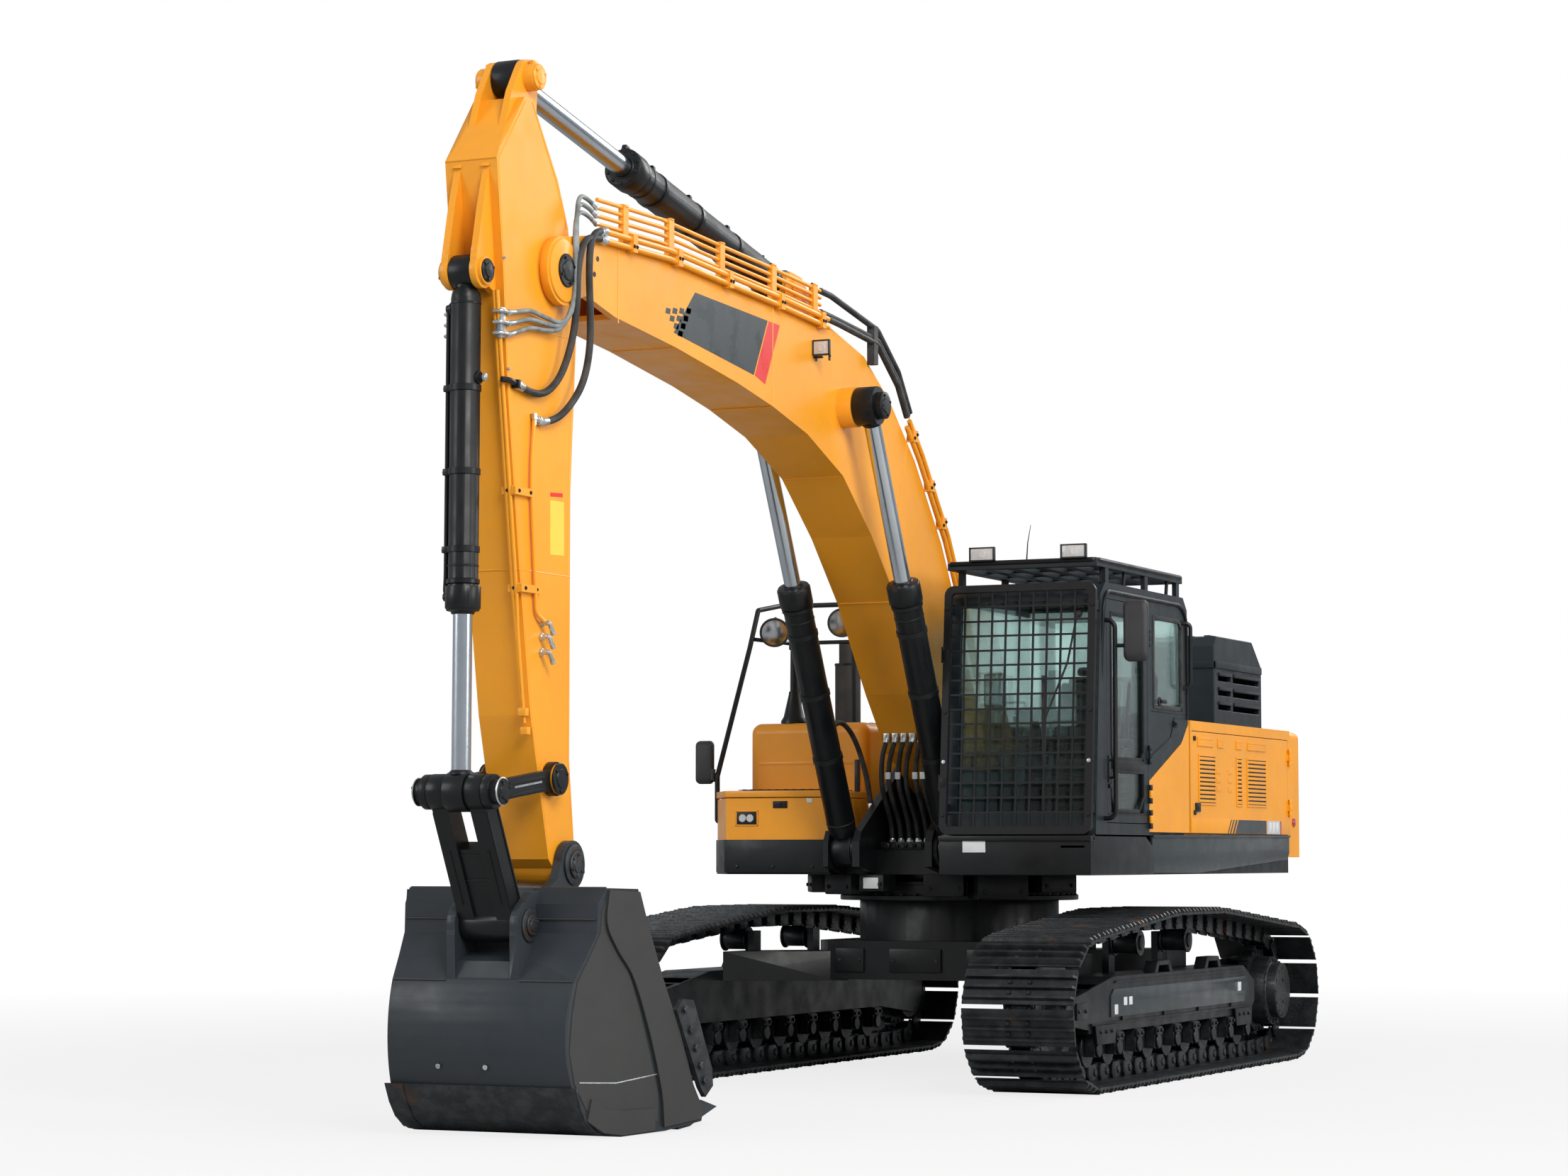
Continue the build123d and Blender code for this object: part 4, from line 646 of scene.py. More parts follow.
# ---------------------------------------------------------------- undercarriage fittings
def make_rollers():
    """Flanges of all the rollers and their end caps, on both sides."""
    rollers, caps = Shape(), Shape()
    low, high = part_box("lower_rollers")
    count, radius, cap_half, cap_half_thick = 9, 0.095, 0.06, 0.008
    first, last = low.y + radius, high.y - radius
    axle_z = low.z + radius
    for i in range(count):
        y = first + (last - first) * i / (count - 1)
        for face in SIDES:
            cap_x, end_x = gauge_half + face * 0.168, gauge_half + face * 0.176
            rollers.ring((gauge_half + face * 0.088, y, axle_z), ACROSS, 0.04, radius + 0.016, 0.014)
            caps.rod((gauge_half + face * 0.160, y, axle_z), (end_x, y, axle_z), 0.046)
            caps.block((cap_x - cap_half_thick, y - cap_half, axle_z + 0.045),
                       (cap_x + cap_half_thick, y + cap_half, axle_z + 0.095), 0.004)
            for step in SIDES:
                caps.bolt((end_x, y + step * 0.038, axle_z + 0.07), (face, 0, 0), 0.012)
    carrier_z = roller_high.z - carrier_radius
    for y in carrier_ys:
        for face in SIDES:
            rollers.ring((gauge_half + face * 0.084, y, carrier_z), ACROSS, 0.03, carrier_radius + 0.012,
                         0.012)
        caps.lathe((gauge_half + 0.08, y, carrier_z), ACROSS, [(0, 0.05), (0.02, 0.046), (0.026, 0.03)])
    rollers.mirrored().piece("roller_flanges", "undercarriage", "track_steel")
    caps.mirrored().piece("roller_caps", "undercarriage", "paint_black")


def make_drive_covers():
    """The final drives' stepped covers with their bolts, the sprockets' bolts and the idlers' hubs."""
    cover, bolts = Shape(), Shape()
    out = drive_high.x
    cover.lathe((out - 0.075, sprocket_y, wheel_z), ACROSS, [(0, 0.205), (0.012, 0.205), (0.02, 0.195)], 40)
    cover.lathe((out - 0.002, sprocket_y, wheel_z), ACROSS, [(0, 0.178), (0.006, 0.174), (0.012, 0.12)], 40)
    bolts.bolts((out, sprocket_y, wheel_z), ACROSS, 0.155, 12, 0.011)
    bolts.bolts((gauge_half + 0.15, sprocket_y, wheel_z), ACROSS, 0.214, 20, 0.010)
    for rise in (0.075, -0.075):
        bolts.bolt((out + 0.004, sprocket_y, wheel_z + rise), ACROSS, 0.014)
    for face in SIDES:
        bolts.bolts((gauge_half + face * 0.036, sprocket_y, wheel_z), (face, 0, 0), 0.27, 22, 0.011)
        cover.lathe((gauge_half + face * 0.118, idler_y, wheel_z), (face, 0, 0),
                    [(0, 0.07), (0.012, 0.066), (0.02, 0.03)])
        bolts.bolts((gauge_half + face * 0.114, idler_y, wheel_z), (face, 0, 0), 0.082, 6, 0.008)
    cover.mirrored().piece("drive_covers", "undercarriage", "track_steel")
    bolts.mirrored().piece("drive_bolts", "undercarriage", "track_steel")


def make_frame_plates():
    """Outer plates of the track frames with their small marks, rails, guards, steps and tension cover."""
    plate, dark, marks = Shape(), Shape(), Shape()
    face = gauge_half + AXLE_REACH
    low, high = 0.425, 0.595
    plate.side([(-1.36, low), (1.34, low), (1.42, low + 0.05), (1.42, high - 0.03), (1.36, high),
                (-1.30, high), (-1.36, high - 0.04)], face, face + 0.008, 0.003)
    for y0, y1, z0, z1 in ((-1.30, -1.24, 0.44, 0.50), (-1.13, -1.07, 0.49, 0.54), (-1.03, -0.97, 0.49, 0.54),
                           (1.20, 1.27, 0.50, 0.56)):
        marks.block((face + 0.007, y0, z0), (face + 0.0105, y1, z1), 0.001)
    dark.side(rect(-1.72, 1.46, 0.385, 0.40), face, face + 0.014, 0.003)
    dark.side([(-1.30, high + 0.035), (1.34, high + 0.035), (1.30, high + 0.05), (-1.26, high + 0.05)], face,
              face + 0.010, 0.003)
    for y in (-1.15, -0.35, 0.35, 1.05):
        dark.side(rect(y - 0.012, y + 0.012, 0.40, 0.425), face, face + 0.012)
    guard = gauge_half + 0.190
    for y in (-1.50, 1.28):
        dark.side([(y - 0.16, 0.27), (y + 0.16, 0.27), (y + 0.19, 0.385), (y - 0.19, 0.385)],
                  gauge_half + 0.178, guard, 0.003)
        for step in (-0.1, 0, 0.1):
            dark.bolt((guard, y + step, 0.345), ACROSS, 0.011)
    dark.block((face, -1.98, 0.43), (face + 0.012, -1.80, 0.53), 0.004)
    for step in (-0.06, 0.06):
        dark.bolt((face + 0.012, -1.89 + step, 0.48), ACROSS, 0.011)
    for y in (-0.30, 0.72):
        arch, hole = ([(y - foot, high + 0.05), (y - top, high + rise), (y + top, high + rise),
                       (y + foot, high + 0.05)] for foot, top, rise in ((0.20, 0.12, 0.15),
                                                                        (0.13, 0.09, 0.12)))
        for i in range(3):
            dark.side([arch[i], arch[i + 1], hole[i + 1], hole[i]], face - 0.09, face - 0.01, 0.003)
    plate.mirrored().piece("track_frame_plates", "undercarriage", "decal_slate")
    dark.mirrored().piece("track_frame_fittings", "undercarriage", "paint_black")
    marks.mirrored().piece("track_frame_marks", "undercarriage", "wear_white")


def make_turntable():
    """Rings and bolts of the swing bearing, the body's cover plates and the travel pipes."""
    ring_low, ring_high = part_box("swing_bearing")
    fittings, bolts, pipes = Shape(), Shape(), Shape()
    radius = ring_high.x
    fittings.ring((0, 0, ring_low.z + 0.018), UP, radius - 0.12, radius + 0.05, 0.034, 72)
    fittings.ring((0, 0, ring_high.z - 0.012), UP, radius - 0.1, radius + 0.012, 0.02, 72)
    bolts.bolts((0, 0, ring_low.z + 0.035), UP, radius + 0.026, 48, 0.013)
    for x, width in ((0.0, 0.36), (0.46, 0.2), (-0.46, 0.2)):
        fittings.block((x - width / 2, -0.775, 0.66), (x + width / 2, -0.758, 0.81), 0.004)
        for along in SIDES:
            bolts.bolt((x + along * (width / 2 - 0.03), -0.775, 0.735), AHEAD, 0.010)
    for x in (-0.24, -0.12, 0.12, 0.24):
        pipes.pipe([(x, 0.10, 0.88), (x, 0.10, 0.82 + abs(x) * 0.1), (x, 0.95, 0.81), (x * 3.4, 1.25, 0.70),
                    (x * 3.4, 1.9, 0.62)], 0.12, 0.014)
    fittings.piece("turntable_rings", "undercarriage", "paint_black")
    bolts.piece("turntable_bolts", "undercarriage", "track_steel")
    pipes.piece("travel_pipes", "undercarriage", "hose_rubber")


make_rollers()
make_drive_covers()
make_frame_plates()
make_turntable()


# ---------------------------------------------------------------- slewing platform and covers
house_x = pivots["left_rear_door_hinge"].x - 0.015      # outer face of the side panels
platform_z = 1.292                          # underside of the platform's beams
tail_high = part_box("counterweight")[1]
door_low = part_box("left_rear_door")[0]
box_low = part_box("tool_box")[0]


def louvre(paint, dark, face, y0, y1, z0, z1, slats):
    """A framed grille on a side panel, with flat slats over a black sheet."""
    # Painted shade: a flat black sheet behind the slats, for the shade of the opening behind them.
    dark.block((face, y0, z0), (face + 0.002, y1, z1))
    rim, depth = 0.014, 0.007
    for low, high in (((y0 - rim, z0 - rim), (y1 + rim, z0)), ((y0 - rim, z1), (y1 + rim, z1 + rim)),
                      ((y0 - rim, z0), (y0, z1)), ((y1, z0), (y1 + rim, z1))):
        paint.block((face, *low), (face + depth, *high), 0.002)
    for i in range(slats):
        z = z0 + (z1 - z0) * (i + 0.5) / slats
        half = 0.32 * (z1 - z0) / slats
        paint.side(rect(y0, y1, z - half, z + half), face + 0.001, face + 0.0055, 0.0015)


def make_side_panels():
    """Grilles, vents and lock of the doors and the raised strip below them, on each side of the house."""
    fixed, moving, dark = Shape(), Shape(), Shape()
    for y0, y1 in ((0.53, 0.87), (1.36, 1.46), (1.60, 2.02)):
        louvre(moving, dark, house_x, y0, y1, 1.76, 2.07, 11)
    for y0, y1 in ((0.50, 0.83), (0.93, 1.05), (1.34, 1.46), (1.60, 2.02)):
        moving.block((house_x, y0, 2.135), (house_x + 0.006, y1, 2.195), 0.0025)
        louvre(moving, dark, house_x + 0.001, y0 + 0.02, y1 - 0.02, 2.15, 2.18, 2)
    for y in (0.95, 1.20):
        for z in (1.84, 1.90, 1.96):
            moving.block((house_x, y - 0.04, z), (house_x + 0.003, y + 0.04, z + 0.035), 0.001)
    lock_y = door_low.y + 0.11
    dark.block((house_x, lock_y - 0.05, 1.70), (house_x + 0.010, lock_y + 0.05, 1.76), 0.004)
    dark.rod((house_x + 0.004, lock_y, 1.73), (house_x + 0.014, lock_y, 1.73), 0.014)
    for z in (1.68, 2.17):
        dark.block((house_x, door_low.y + 0.03, z), (house_x + 0.008, door_low.y + 0.075, z + 0.03), 0.003)
    fixed.block((house_x, 0.36, 1.561), (house_x + 0.004, 2.60, 1.657), 0.0015)
    for name, body, side in (("left", "left_rear_door", 1), ("right", "right_side_door", -1)):
        flip = Matrix.Scale(side, 4, ACROSS)
        Shape().add(moving, flip).piece(f"{name}_door_grilles", body, "paint_yellow")
        Shape().add(dark, flip).piece(f"{name}_door_fittings", body, "paint_black")
        Shape().add(fixed, flip).piece(f"{name}_panel_strip", "upperstructure", "paint_yellow")


def make_decals():
    """The blank dark field low on the left side with slanted bars, the lamp beside it and the reflectors."""
    dark, pale, red = Shape(), Shape(), Shape()
    face = house_x + 0.0042
    low, high = 1.562, 1.655
    lean = 0.08
    foil = face + 0.0012
    dark.side([(1.30, low), (2.02, low), (2.02, high), (1.30 + lean, high)], face, foil)
    for i, y in enumerate((1.24, 1.18, 1.13)):
        width = 0.034 - 0.008 * i
        dark.side([(y, low), (y + width, low), (y + width + lean, high), (y + lean, high)], face, foil)
    pale.side(rect(2.04, 2.34, low, high), face, face + 0.0014)
    red.side(rect(2.35, 2.38, low, high), face, face + 0.0014)
    for y in (2.12, 2.20, 2.28):
        pale.side(rect(y - 0.025, y + 0.025, low + 0.01, high - 0.01),
                  face + 0.001, face + 0.004, 0.001)
    red.lathe((house_x - 0.022, 2.76, 1.65), ACROSS, [(0, 0.034), (0.009, 0.034), (0.013, 0.026)])
    dark.piece("side_decal_bars", "upperstructure", "decal_slate")
    pale.piece("side_lamp_glass", "upperstructure", "lamp")
    red.piece("side_reflectors", "upperstructure", "red_lens")


def make_skirts():
    """The grey skirts below the panels and the black beams under the cab and the tool box."""
    grey, black = Shape(), Shape()
    grey.side([(-0.42, 1.30), (0.50, 1.296), (2.55, 1.385), (2.60, 1.43), (2.60, 1.552), (-0.42, 1.535)],
              house_x - 0.022, house_x - 0.004, 0.004)
    grey.side([(-0.42, 1.525), (2.60, 1.540), (2.60, 1.556), (-0.42, 1.541)], house_x - 0.022,
              house_x + 0.006, 0.003)
    grey.mirrored()
    black.side([(-1.575, platform_z), (-0.40, platform_z), (-0.40, 1.46), (-0.55, 1.53), (-1.575, 1.53)],
               house_x - 0.03, house_x - 0.002, 0.005)
    black.block((0.50, -1.585, platform_z), (house_x - 0.002, -1.562, 1.53), 0.006)
    black.block((0.50, -1.60, 1.50), (house_x, -1.50, 1.532), 0.005)
    front = box_low.y - 0.012
    ring = [(-0.50, front), (-1.245, front), (box_low.x - 0.010, -0.612), (box_low.x - 0.010, 0.60)]
    inner = [(-0.50, box_low.y), (-1.24, box_low.y), (box_low.x, -0.61), (box_low.x, 0.60)]
    for (a, b), (c, d) in zip(zip(ring, ring[1:]), zip(inner, inner[1:])):
        black.plan([a, b, d, c], 1.30, 1.515, 0.003)
    for x in (-0.62, -0.90, -1.16):
        black.bolt((x, front, 1.34), AHEAD, 0.012)
    grey.piece("skirts", "upperstructure", "decal_slate")
    black.piece("lower_beams", "upperstructure", "paint_black")


def make_tail():
    """Lifting eyes, seam and reflectors of the counterweight."""
    iron, dark, red = Shape(), Shape(), Shape()
    eye_y, deck = tail_high.y - 0.36, tail_high.z
    for x in (-0.85, 0.85):
        iron.ring((x, eye_y, deck + 0.012), ACROSS, 0.026, 0.058, 0.045)
        iron.block((x - 0.06, eye_y - 0.10, deck - 0.002), (x + 0.06, eye_y + 0.10, deck + 0.012), 0.004)
    links = 24
    for i in range(links):
        angle = math.radians(-25 + 50 * i / (links - 1))
        x, y = tail_high.y * math.sin(angle), tail_high.y * math.cos(angle)
        turn = Matrix.Rotation(-angle, 3, "Z")
        dark.block((x - 0.062, y - 0.004, 1.560), (x + 0.062, y + 0.0015, 1.572), 0.0, turn)
    for x in (-0.95, 0.95):
        angle = math.asin(x / tail_high.y)
        y = tail_high.y * math.cos(angle)
        red.block((x - 0.06, y - 0.012, 1.60), (x + 0.06, y + 0.002, 1.66), 0.006,
                  Matrix.Rotation(-angle, 3, "Z"))
    iron.piece("lifting_eyes", "upperstructure", "counterweight_iron")
    dark.piece("tail_seam", "upperstructure", "paint_black")
    red.piece("tail_reflectors", "upperstructure", "red_lens")


def make_top():
    """Grip plates, hood vents and handle, the air box's lid, ribs and louvres, and the exhaust's collars."""
    black, slate = Shape(), Shape()
    deck = tail_high.z
    for x0, x1, y0, y1 in ((0.36, 0.56, 0.70, 1.10), (-0.95, 0.30, 0.70, 1.08), (-1.38, -1.10, 1.15, 2.45)):
        black.block((x0, y0, deck), (x1, y1, deck + 0.004), 0.001)
        counts = int((x1 - x0) / 0.06), int((y1 - y0) / 0.06)
        black.grip((x0 + 0.04, y0 + 0.04, deck + 0.006), 0.06, counts, 0.006)
    hood_low, hood_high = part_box("engine_hood")
    vents = Shape()
    for i in range(9):
        y = hood_low.y + 0.25 + i * 0.08
        vents.block((-0.80, y, hood_high.z - 0.001), (-0.05, y + 0.045, hood_high.z + 0.012), 0.004)
    vents.pipe([(x, hood_low.y + 0.10, hood_high.z + rise)
                for x, rise in ((0.0, -0.01), (0.0, 0.04), (-0.25, 0.04), (-0.25, -0.01))], 0.03, 0.009)
    vents.piece("hood_vents", "engine_hood", "paint_slate")
    air_low, air_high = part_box("air_box")
    lid, rear, top = 2.735, air_high.y, air_high.z
    rim_low = (air_low.x - 0.012, air_low.y - 0.012)
    for low, high in ((rim_low, (air_high.x + 0.014, air_low.y + 0.004)),
                      ((air_high.x - 0.002, rim_low[1]), (air_high.x + 0.014, air_high.y - 0.03)),
                      (rim_low, (air_low.x + 0.002, air_high.y - 0.03))):
        slate.block((*low, lid - 0.03), (*high, lid + 0.02), 0.005)
    for i in range(5):
        x = air_low.x + 0.10 + i * 0.14
        x0, x1 = x - 0.022, x + 0.022
        slate.side([(rear - 0.245, top - 0.012), (rear - 0.20, top - 0.035), (rear - 0.05, 2.80),
                    (rear - 0.04, 2.815), (rear - 0.23, top + 0.008)], x0, x1, 0.004)
        slate.block((x0, air_low.y + 0.09, top - 0.004), (x1, rear - 0.24, top + 0.010), 0.004)
    for z in (2.42, 2.52, 2.62):
        for y0, y1 in ((air_low.y + 0.09, air_low.y + 0.38), (air_low.y + 0.43, rear - 0.06)):
            slate.side(rect(y0, y1, z + 0.036, z + 0.058), air_high.x - 0.03, air_high.x + 0.012, 0.003)
    pipe_low, pipe_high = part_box("exhaust")
    x, y = (pipe_low.x + pipe_high.x) / 2, (pipe_low.y + pipe_high.y) / 2
    black.ring((x, y, pipe_low.z + 0.02), UP, 0.05, 0.115, 0.03)
    black.ring((x, y, pipe_high.z - 0.146), UP, 0.05, 0.094, 0.016)
    black.piece("grip_plates", "upperstructure", "paint_black")
    slate.piece("air_box_lid", "upperstructure", "paint_slate")


def make_underside():
    """Bolted boxes and a blank plate under the platform, round the turntable."""
    dark, pale = Shape(), Shape()
    boxes = ((-122, 0.30, 0.16, 1.16), (-104, 0.20, 0.14, 1.18), (-74, 0.26, 0.16, 1.15),
             (-52, 0.34, 0.22, 1.13), (-28, 0.30, 0.20, 1.17), (-150, 0.28, 0.20, 1.17))
    for angle, width, deep, z in boxes:
        turn = turned(angle + 90, "Z")
        out = turn @ Vector((0, -0.90, 0))
        half = Vector((width / 2, deep / 2))
        dark.block((*(out.xy - half), z), (*(out.xy + half), platform_z), 0.012, turn)
        for side in SIDES:
            foot = out + turn @ Vector((side * width * 0.36, -deep / 2 - 0.001, 0))
            dark.bolt((foot.x, foot.y, z + 0.05), turn @ Vector(AHEAD), 0.012)
    turn = turned(-14, "Z")
    out = turn @ Vector((0, -0.972, 0))
    pale.block((out.x - 0.06, out.y - 0.002, 1.20), (out.x + 0.06, out.y + 0.002, 1.27), 0.001, turn)
    dark.piece("platform_boxes", "upperstructure", "paint_black")
    pale.piece("platform_plate", "upperstructure", "wear_white")


make_side_panels()
make_underside()
make_decals()
make_skirts()
make_tail()
make_top()


# ---------------------------------------------------------------- tool box, tank, mirrors and lamps
lid_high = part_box("tool_box_lid")[1]
tank_low, tank_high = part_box("fuel_tank")
lamp_low, lamp_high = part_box("work_lamps")
guard_low, guard_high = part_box("roof_guard")


def work_lamp(housing, glass, centre, half_width, height, depth):
    """A square lamp that faces -Y: rimmed housing, tapered back, bracket and a lens set in it."""
    x, y, z = centre
    half = height / 2
    housing.skin([[(x + sx * half_width * k, y + d, z + sz * half * k) for sx, sz in rect(-1, 1, -1, 1)]
                  for d, k in ((0.0, 1.0), (0.018, 1.0), (depth * 0.6, 0.86), (depth, 0.55))], 0.004)
    for low, high in (((-1, -1), (1, -0.8)), ((-1, 0.8), (1, 1)), ((-1, -1), (-0.86, 1)),
                      ((0.86, -1), (1, 1))):
        housing.block((x + low[0] * half_width, y - 0.006, z + low[1] * half),
                      (x + high[0] * half_width, y + 0.002, z + high[1] * half), 0.002)
    pane = Vector((0.86 * half_width, 0, 0.8 * half))
    glass.block(Vector((x, y - 0.003, z)) - pane, Vector((x, y + 0.001, z)) + pane, 0.001)
    glass.lathe((x, y - 0.003, z), AHEAD, [(0, 0.55 * half), (0.002, 0.5 * half)], 20)
    foot = z - half
    for side in SIDES:
        edge = x + side * (half_width - 0.012)
        housing.block((edge - 0.004, y + depth * 0.3, foot - 0.03),
                      (edge + 0.004, y + depth * 0.6, foot + 0.01), 0.001)
        housing.bolt((edge + side * 0.004, y + depth * 0.45, foot - 0.002), (side, 0, 0), 0.006)


def make_roof_lamps():
    """The cab's two roof lamps in place of their plain blocks, and the lamp on the boom."""
    housing, glass = Shape(), Shape()
    width = 0.17
    for x in (lamp_low.x + width / 2, lamp_high.x - width / 2):
        work_lamp(housing, glass, (x, lamp_low.y + 0.008, lamp_high.z - 0.046), width / 2, 0.088, 0.07)
        housing.block((x - 0.05, lamp_low.y + 0.03, lamp_low.z),
                      (x + 0.05, lamp_low.y + 0.06, lamp_low.z + 0.012), 0.002)
    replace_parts(housing.piece("roof_lamp_housings", "upperstructure", "console_plastic"), "work_lamps")
    glass.piece("roof_lamp_lenses", "upperstructure", "lamp")
    housing, glass = Shape(), Shape()
    work_lamp(housing, glass, (0.262, -2.835, 4.435), 0.055, 0.095, 0.06)
    housing.block((0.205, -2.82, 4.375), (0.262, -2.80, 4.387), 0.002)
    housing.piece("boom_lamp_housing", "boom", "console_plastic")
    glass.piece("boom_lamp_lens", "boom", "lamp")


def make_tool_box():
    """Step lamp on a black sheet inside a raised rim, the sheet painted shade standing for a recess; latch
    and white tag, and the lid's grip plate and lip.
    """
    dark, paint, glass, tag = Shape(), Shape(), Shape(), Shape()
    front = box_low.y
    x, z = -1.09, 1.655
    # Painted shade: a flat black sheet behind the lamps, inside the raised rim, stands for the shade of a
    # recess.
    dark.block((x - 0.072, front - 0.002, z - 0.042), (x + 0.072, front + 0.001, z + 0.042), 0.001)
    for low, high in (((-0.08, -0.05), (0.08, -0.042)), ((-0.08, 0.042), (0.08, 0.05)),
                      ((-0.08, -0.05), (-0.072, 0.05)), ((0.072, -0.05), (0.08, 0.05))):
        paint.block((x + low[0], front - 0.007, z + low[1]), (x + high[0], front + 0.001, z + high[1]), 0.002)
    for step in (-0.032, 0.022):
        glass.lathe((x + step, front - 0.002, z), AHEAD, [(0, 0.026), (0.004, 0.024)], 20)
    dark.block((-0.90, front - 0.008, 1.72), (-0.80, front + 0.001, 1.765), 0.003)
    dark.rod((-0.85, front - 0.006, 1.742), (-0.85, front - 0.014, 1.742), 0.013)
    tag.block((-0.66, front - 0.003, 1.755), (-0.62, front + 0.001, 1.782), 0.0008)
    dark.piece("tool_box_fittings", "upperstructure", "paint_black")
    paint.piece("tool_box_lamp_rim", "upperstructure", "paint_yellow")
    glass.piece("tool_box_lamp", "upperstructure", "lamp")
    tag.piece("tool_box_tag", "upperstructure", "wear_white")
    grip, lip = Shape(), Shape()
    grip.block((-1.20, -0.90, lid_high.z - 0.009), (-0.60, -0.42, lid_high.z - 0.0045), 0.001)
    grip.grip((-1.17, -0.87, lid_high.z - 0.0035), 0.06, (10, 8), 0.004)
    rim = [(-0.502, front - 0.008), (-1.245, front - 0.008), (box_low.x - 0.008, -0.613),
           (box_low.x - 0.008, -0.34)]
    for a, b in zip(rim, rim[1:]):
        inward = Vector((b[1] - a[1], a[0] - b[0], 0)).normalized() * -0.010
        lip.plan([a, b, (b[0] - inward.x, b[1] - inward.y), (a[0] - inward.x, a[1] - inward.y)], 1.792, 1.834,
                 0.004)
    grip.piece("lid_grip", "tool_box_lid", "paint_black")
    lip.piece("lid_lip", "tool_box_lid", "paint_yellow")


def make_tank():
    """Filler cap, gauge, breather cone with its mast, seams and grip plate."""
    dark, green, paint = Shape(), Shape(), Shape()
    top = tank_high.z
    cap_x, cap_y, ribs = -0.95, -0.17, 8
    dark.ring((cap_x, cap_y, top + 0.010), UP, 0.02, 0.066, 0.022)
    green.lathe((cap_x, cap_y, top + 0.020), UP, [(0, 0.048), (0.03, 0.046), (0.038, 0.036)], 16)
    for i in range(ribs):
        angle = 2 * math.pi * i / ribs
        x, y = cap_x + 0.046 * math.cos(angle), cap_y + 0.046 * math.sin(angle)
        green.block((x - 0.006, y - 0.006, top + 0.022), (x + 0.006, y + 0.006, top + 0.048), 0.002)
    dark.lathe((-1.13, cap_y, top - 0.002), UP, [(0, 0.088), (0.02, 0.088), (0.05, 0.070), (0.20, 0.036),
                                                 (0.22, 0.034), (0.222, 0.026), (0.50, 0.024), (0.505, 0.034),
                                                 (0.55, 0.034), (0.56, 0.02)])
    dark.pipe([(-1.13, cap_y, top + 0.53), (-1.13, cap_y, top + 0.66), (-1.10, -0.13, top + 0.72),
               (-1.02, -0.10, top + 0.72)], 0.06, 0.009)
    dark.side(rect(0.02, 0.55, top, top + 0.004), -1.32, -0.62, 0.001)
    dark.grip((-1.28, 0.06, top + 0.006), 0.062, (11, 8), 0.005)
    for z in (1.62, 2.02):
        paint.block((tank_low.x + 0.08, tank_low.y - 0.003, z),
                    (tank_high.x - 0.08, tank_low.y + 0.001, z + 0.02), 0.0012)
    dark.block((-0.62, tank_low.y - 0.01, 1.70), (-0.585, tank_low.y, 2.05), 0.003)
    dark.piece("tank_fittings", "upperstructure", "paint_black")
    green.piece("filler_cap", "upperstructure", "green_cap")
    paint.piece("tank_seams", "upperstructure", "paint_yellow")


def mirror_head(shell, glass, low, high, face):
    """A rounded mirror housing between two corners, its glass towards face (+1 or -1 along Y)."""
    low, high = Vector(low), Vector(high)
    y0, y1 = (low.y, high.y) if face > 0 else (high.y, low.y)
    centre, half = (low + high) / 2, (high - low) / 2
    outline = []
    for corner, (sx, sz) in enumerate(((1, 1), (-1, 1), (-1, -1), (1, -1))):
        for step in range(5):
            angle = math.radians(90 * corner + 22.5 * step)
            r = min(half.x, half.z) * 0.45
            outline.append((sx * (half.x - r) + r * math.cos(angle), sz * (half.z - r) + r * math.sin(angle)))
    shell.skin([[(centre.x + x * k, y0 + (y1 - y0) * d, centre.z + z * k) for x, z in outline]
                for d, k in ((0.0, 0.72), (0.15, 0.88), (0.4, 0.97), (0.8, 1.0), (1.0, 0.97))])
    glass.skin([[(centre.x + x * 0.88, y1 + face * d, centre.z + z * 0.9) for x, z in outline]
                for d in (-0.004, 0.0015)])


def make_mirrors():
    """Both mirror heads in place of their plain blocks, and the round mirrors on the rails."""
    low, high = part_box("mirrors")
    shell, glass, amber = Shape(), Shape(), Shape()
    left_x = house_x + 0.13
    mirror_head(shell, glass, (left_x, -1.365, 2.60), (high.x, -1.315, high.z), 1)
    mirror_head(shell, glass, (low.x, -0.60, low.z), (low.x + 0.13, -0.555, 2.18), 1)
    shell.rod((low.x + 0.125, -0.578, 1.915), (low.x + 0.13, -0.578, 1.99), 0.018)
    for x, y, z, way in ((-1.05, 0.46, 3.02, (0.55, -1, -0.3)), (-1.40, 0.10, 2.94, (0.5, -1, -0.35))):
        way = Vector(way).normalized()
        centre = Vector((x, y, z))
        back = centre - way * 0.03
        amber.lathe(back, way, [(0, 0.03), (0.008, 0.075), (0.022, 0.096), (0.026, 0.098)], 32)
        glass.lathe(centre - way * 0.006, way, [(0, 0.092), (0.004, 0.09), (0.012, 0.06), (0.015, 0.02)], 32)
        shell.ring(centre - way * 0.004, way, 0.088, 0.103, 0.012, 36)
        shell.rod(back, back + Vector((0, 0.02, 0.10)), 0.009)
    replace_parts(shell.piece("mirror_heads", "upperstructure", "console_plastic"), "mirrors")
    glass.piece("mirror_glass", "upperstructure", "mirror_glass")
    amber.piece("round_mirror_backs", "upperstructure", "amber")


make_roof_lamps()
make_tool_box()
make_tank()
make_mirrors()


# ---------------------------------------------------------------- cab
cab_low, cab_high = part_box("cab_shell")
front_low, front_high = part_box("front_guard")
glass_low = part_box("cab_windows")[0]
cab_door_low, cab_door_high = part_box("cab_door")
pane_low, pane_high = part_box("cab_door_glass")
seat_low, seat_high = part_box("operator_seat")
console_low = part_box("control_consoles")[0]
seat_x = (seat_low.x + seat_high.x) / 2


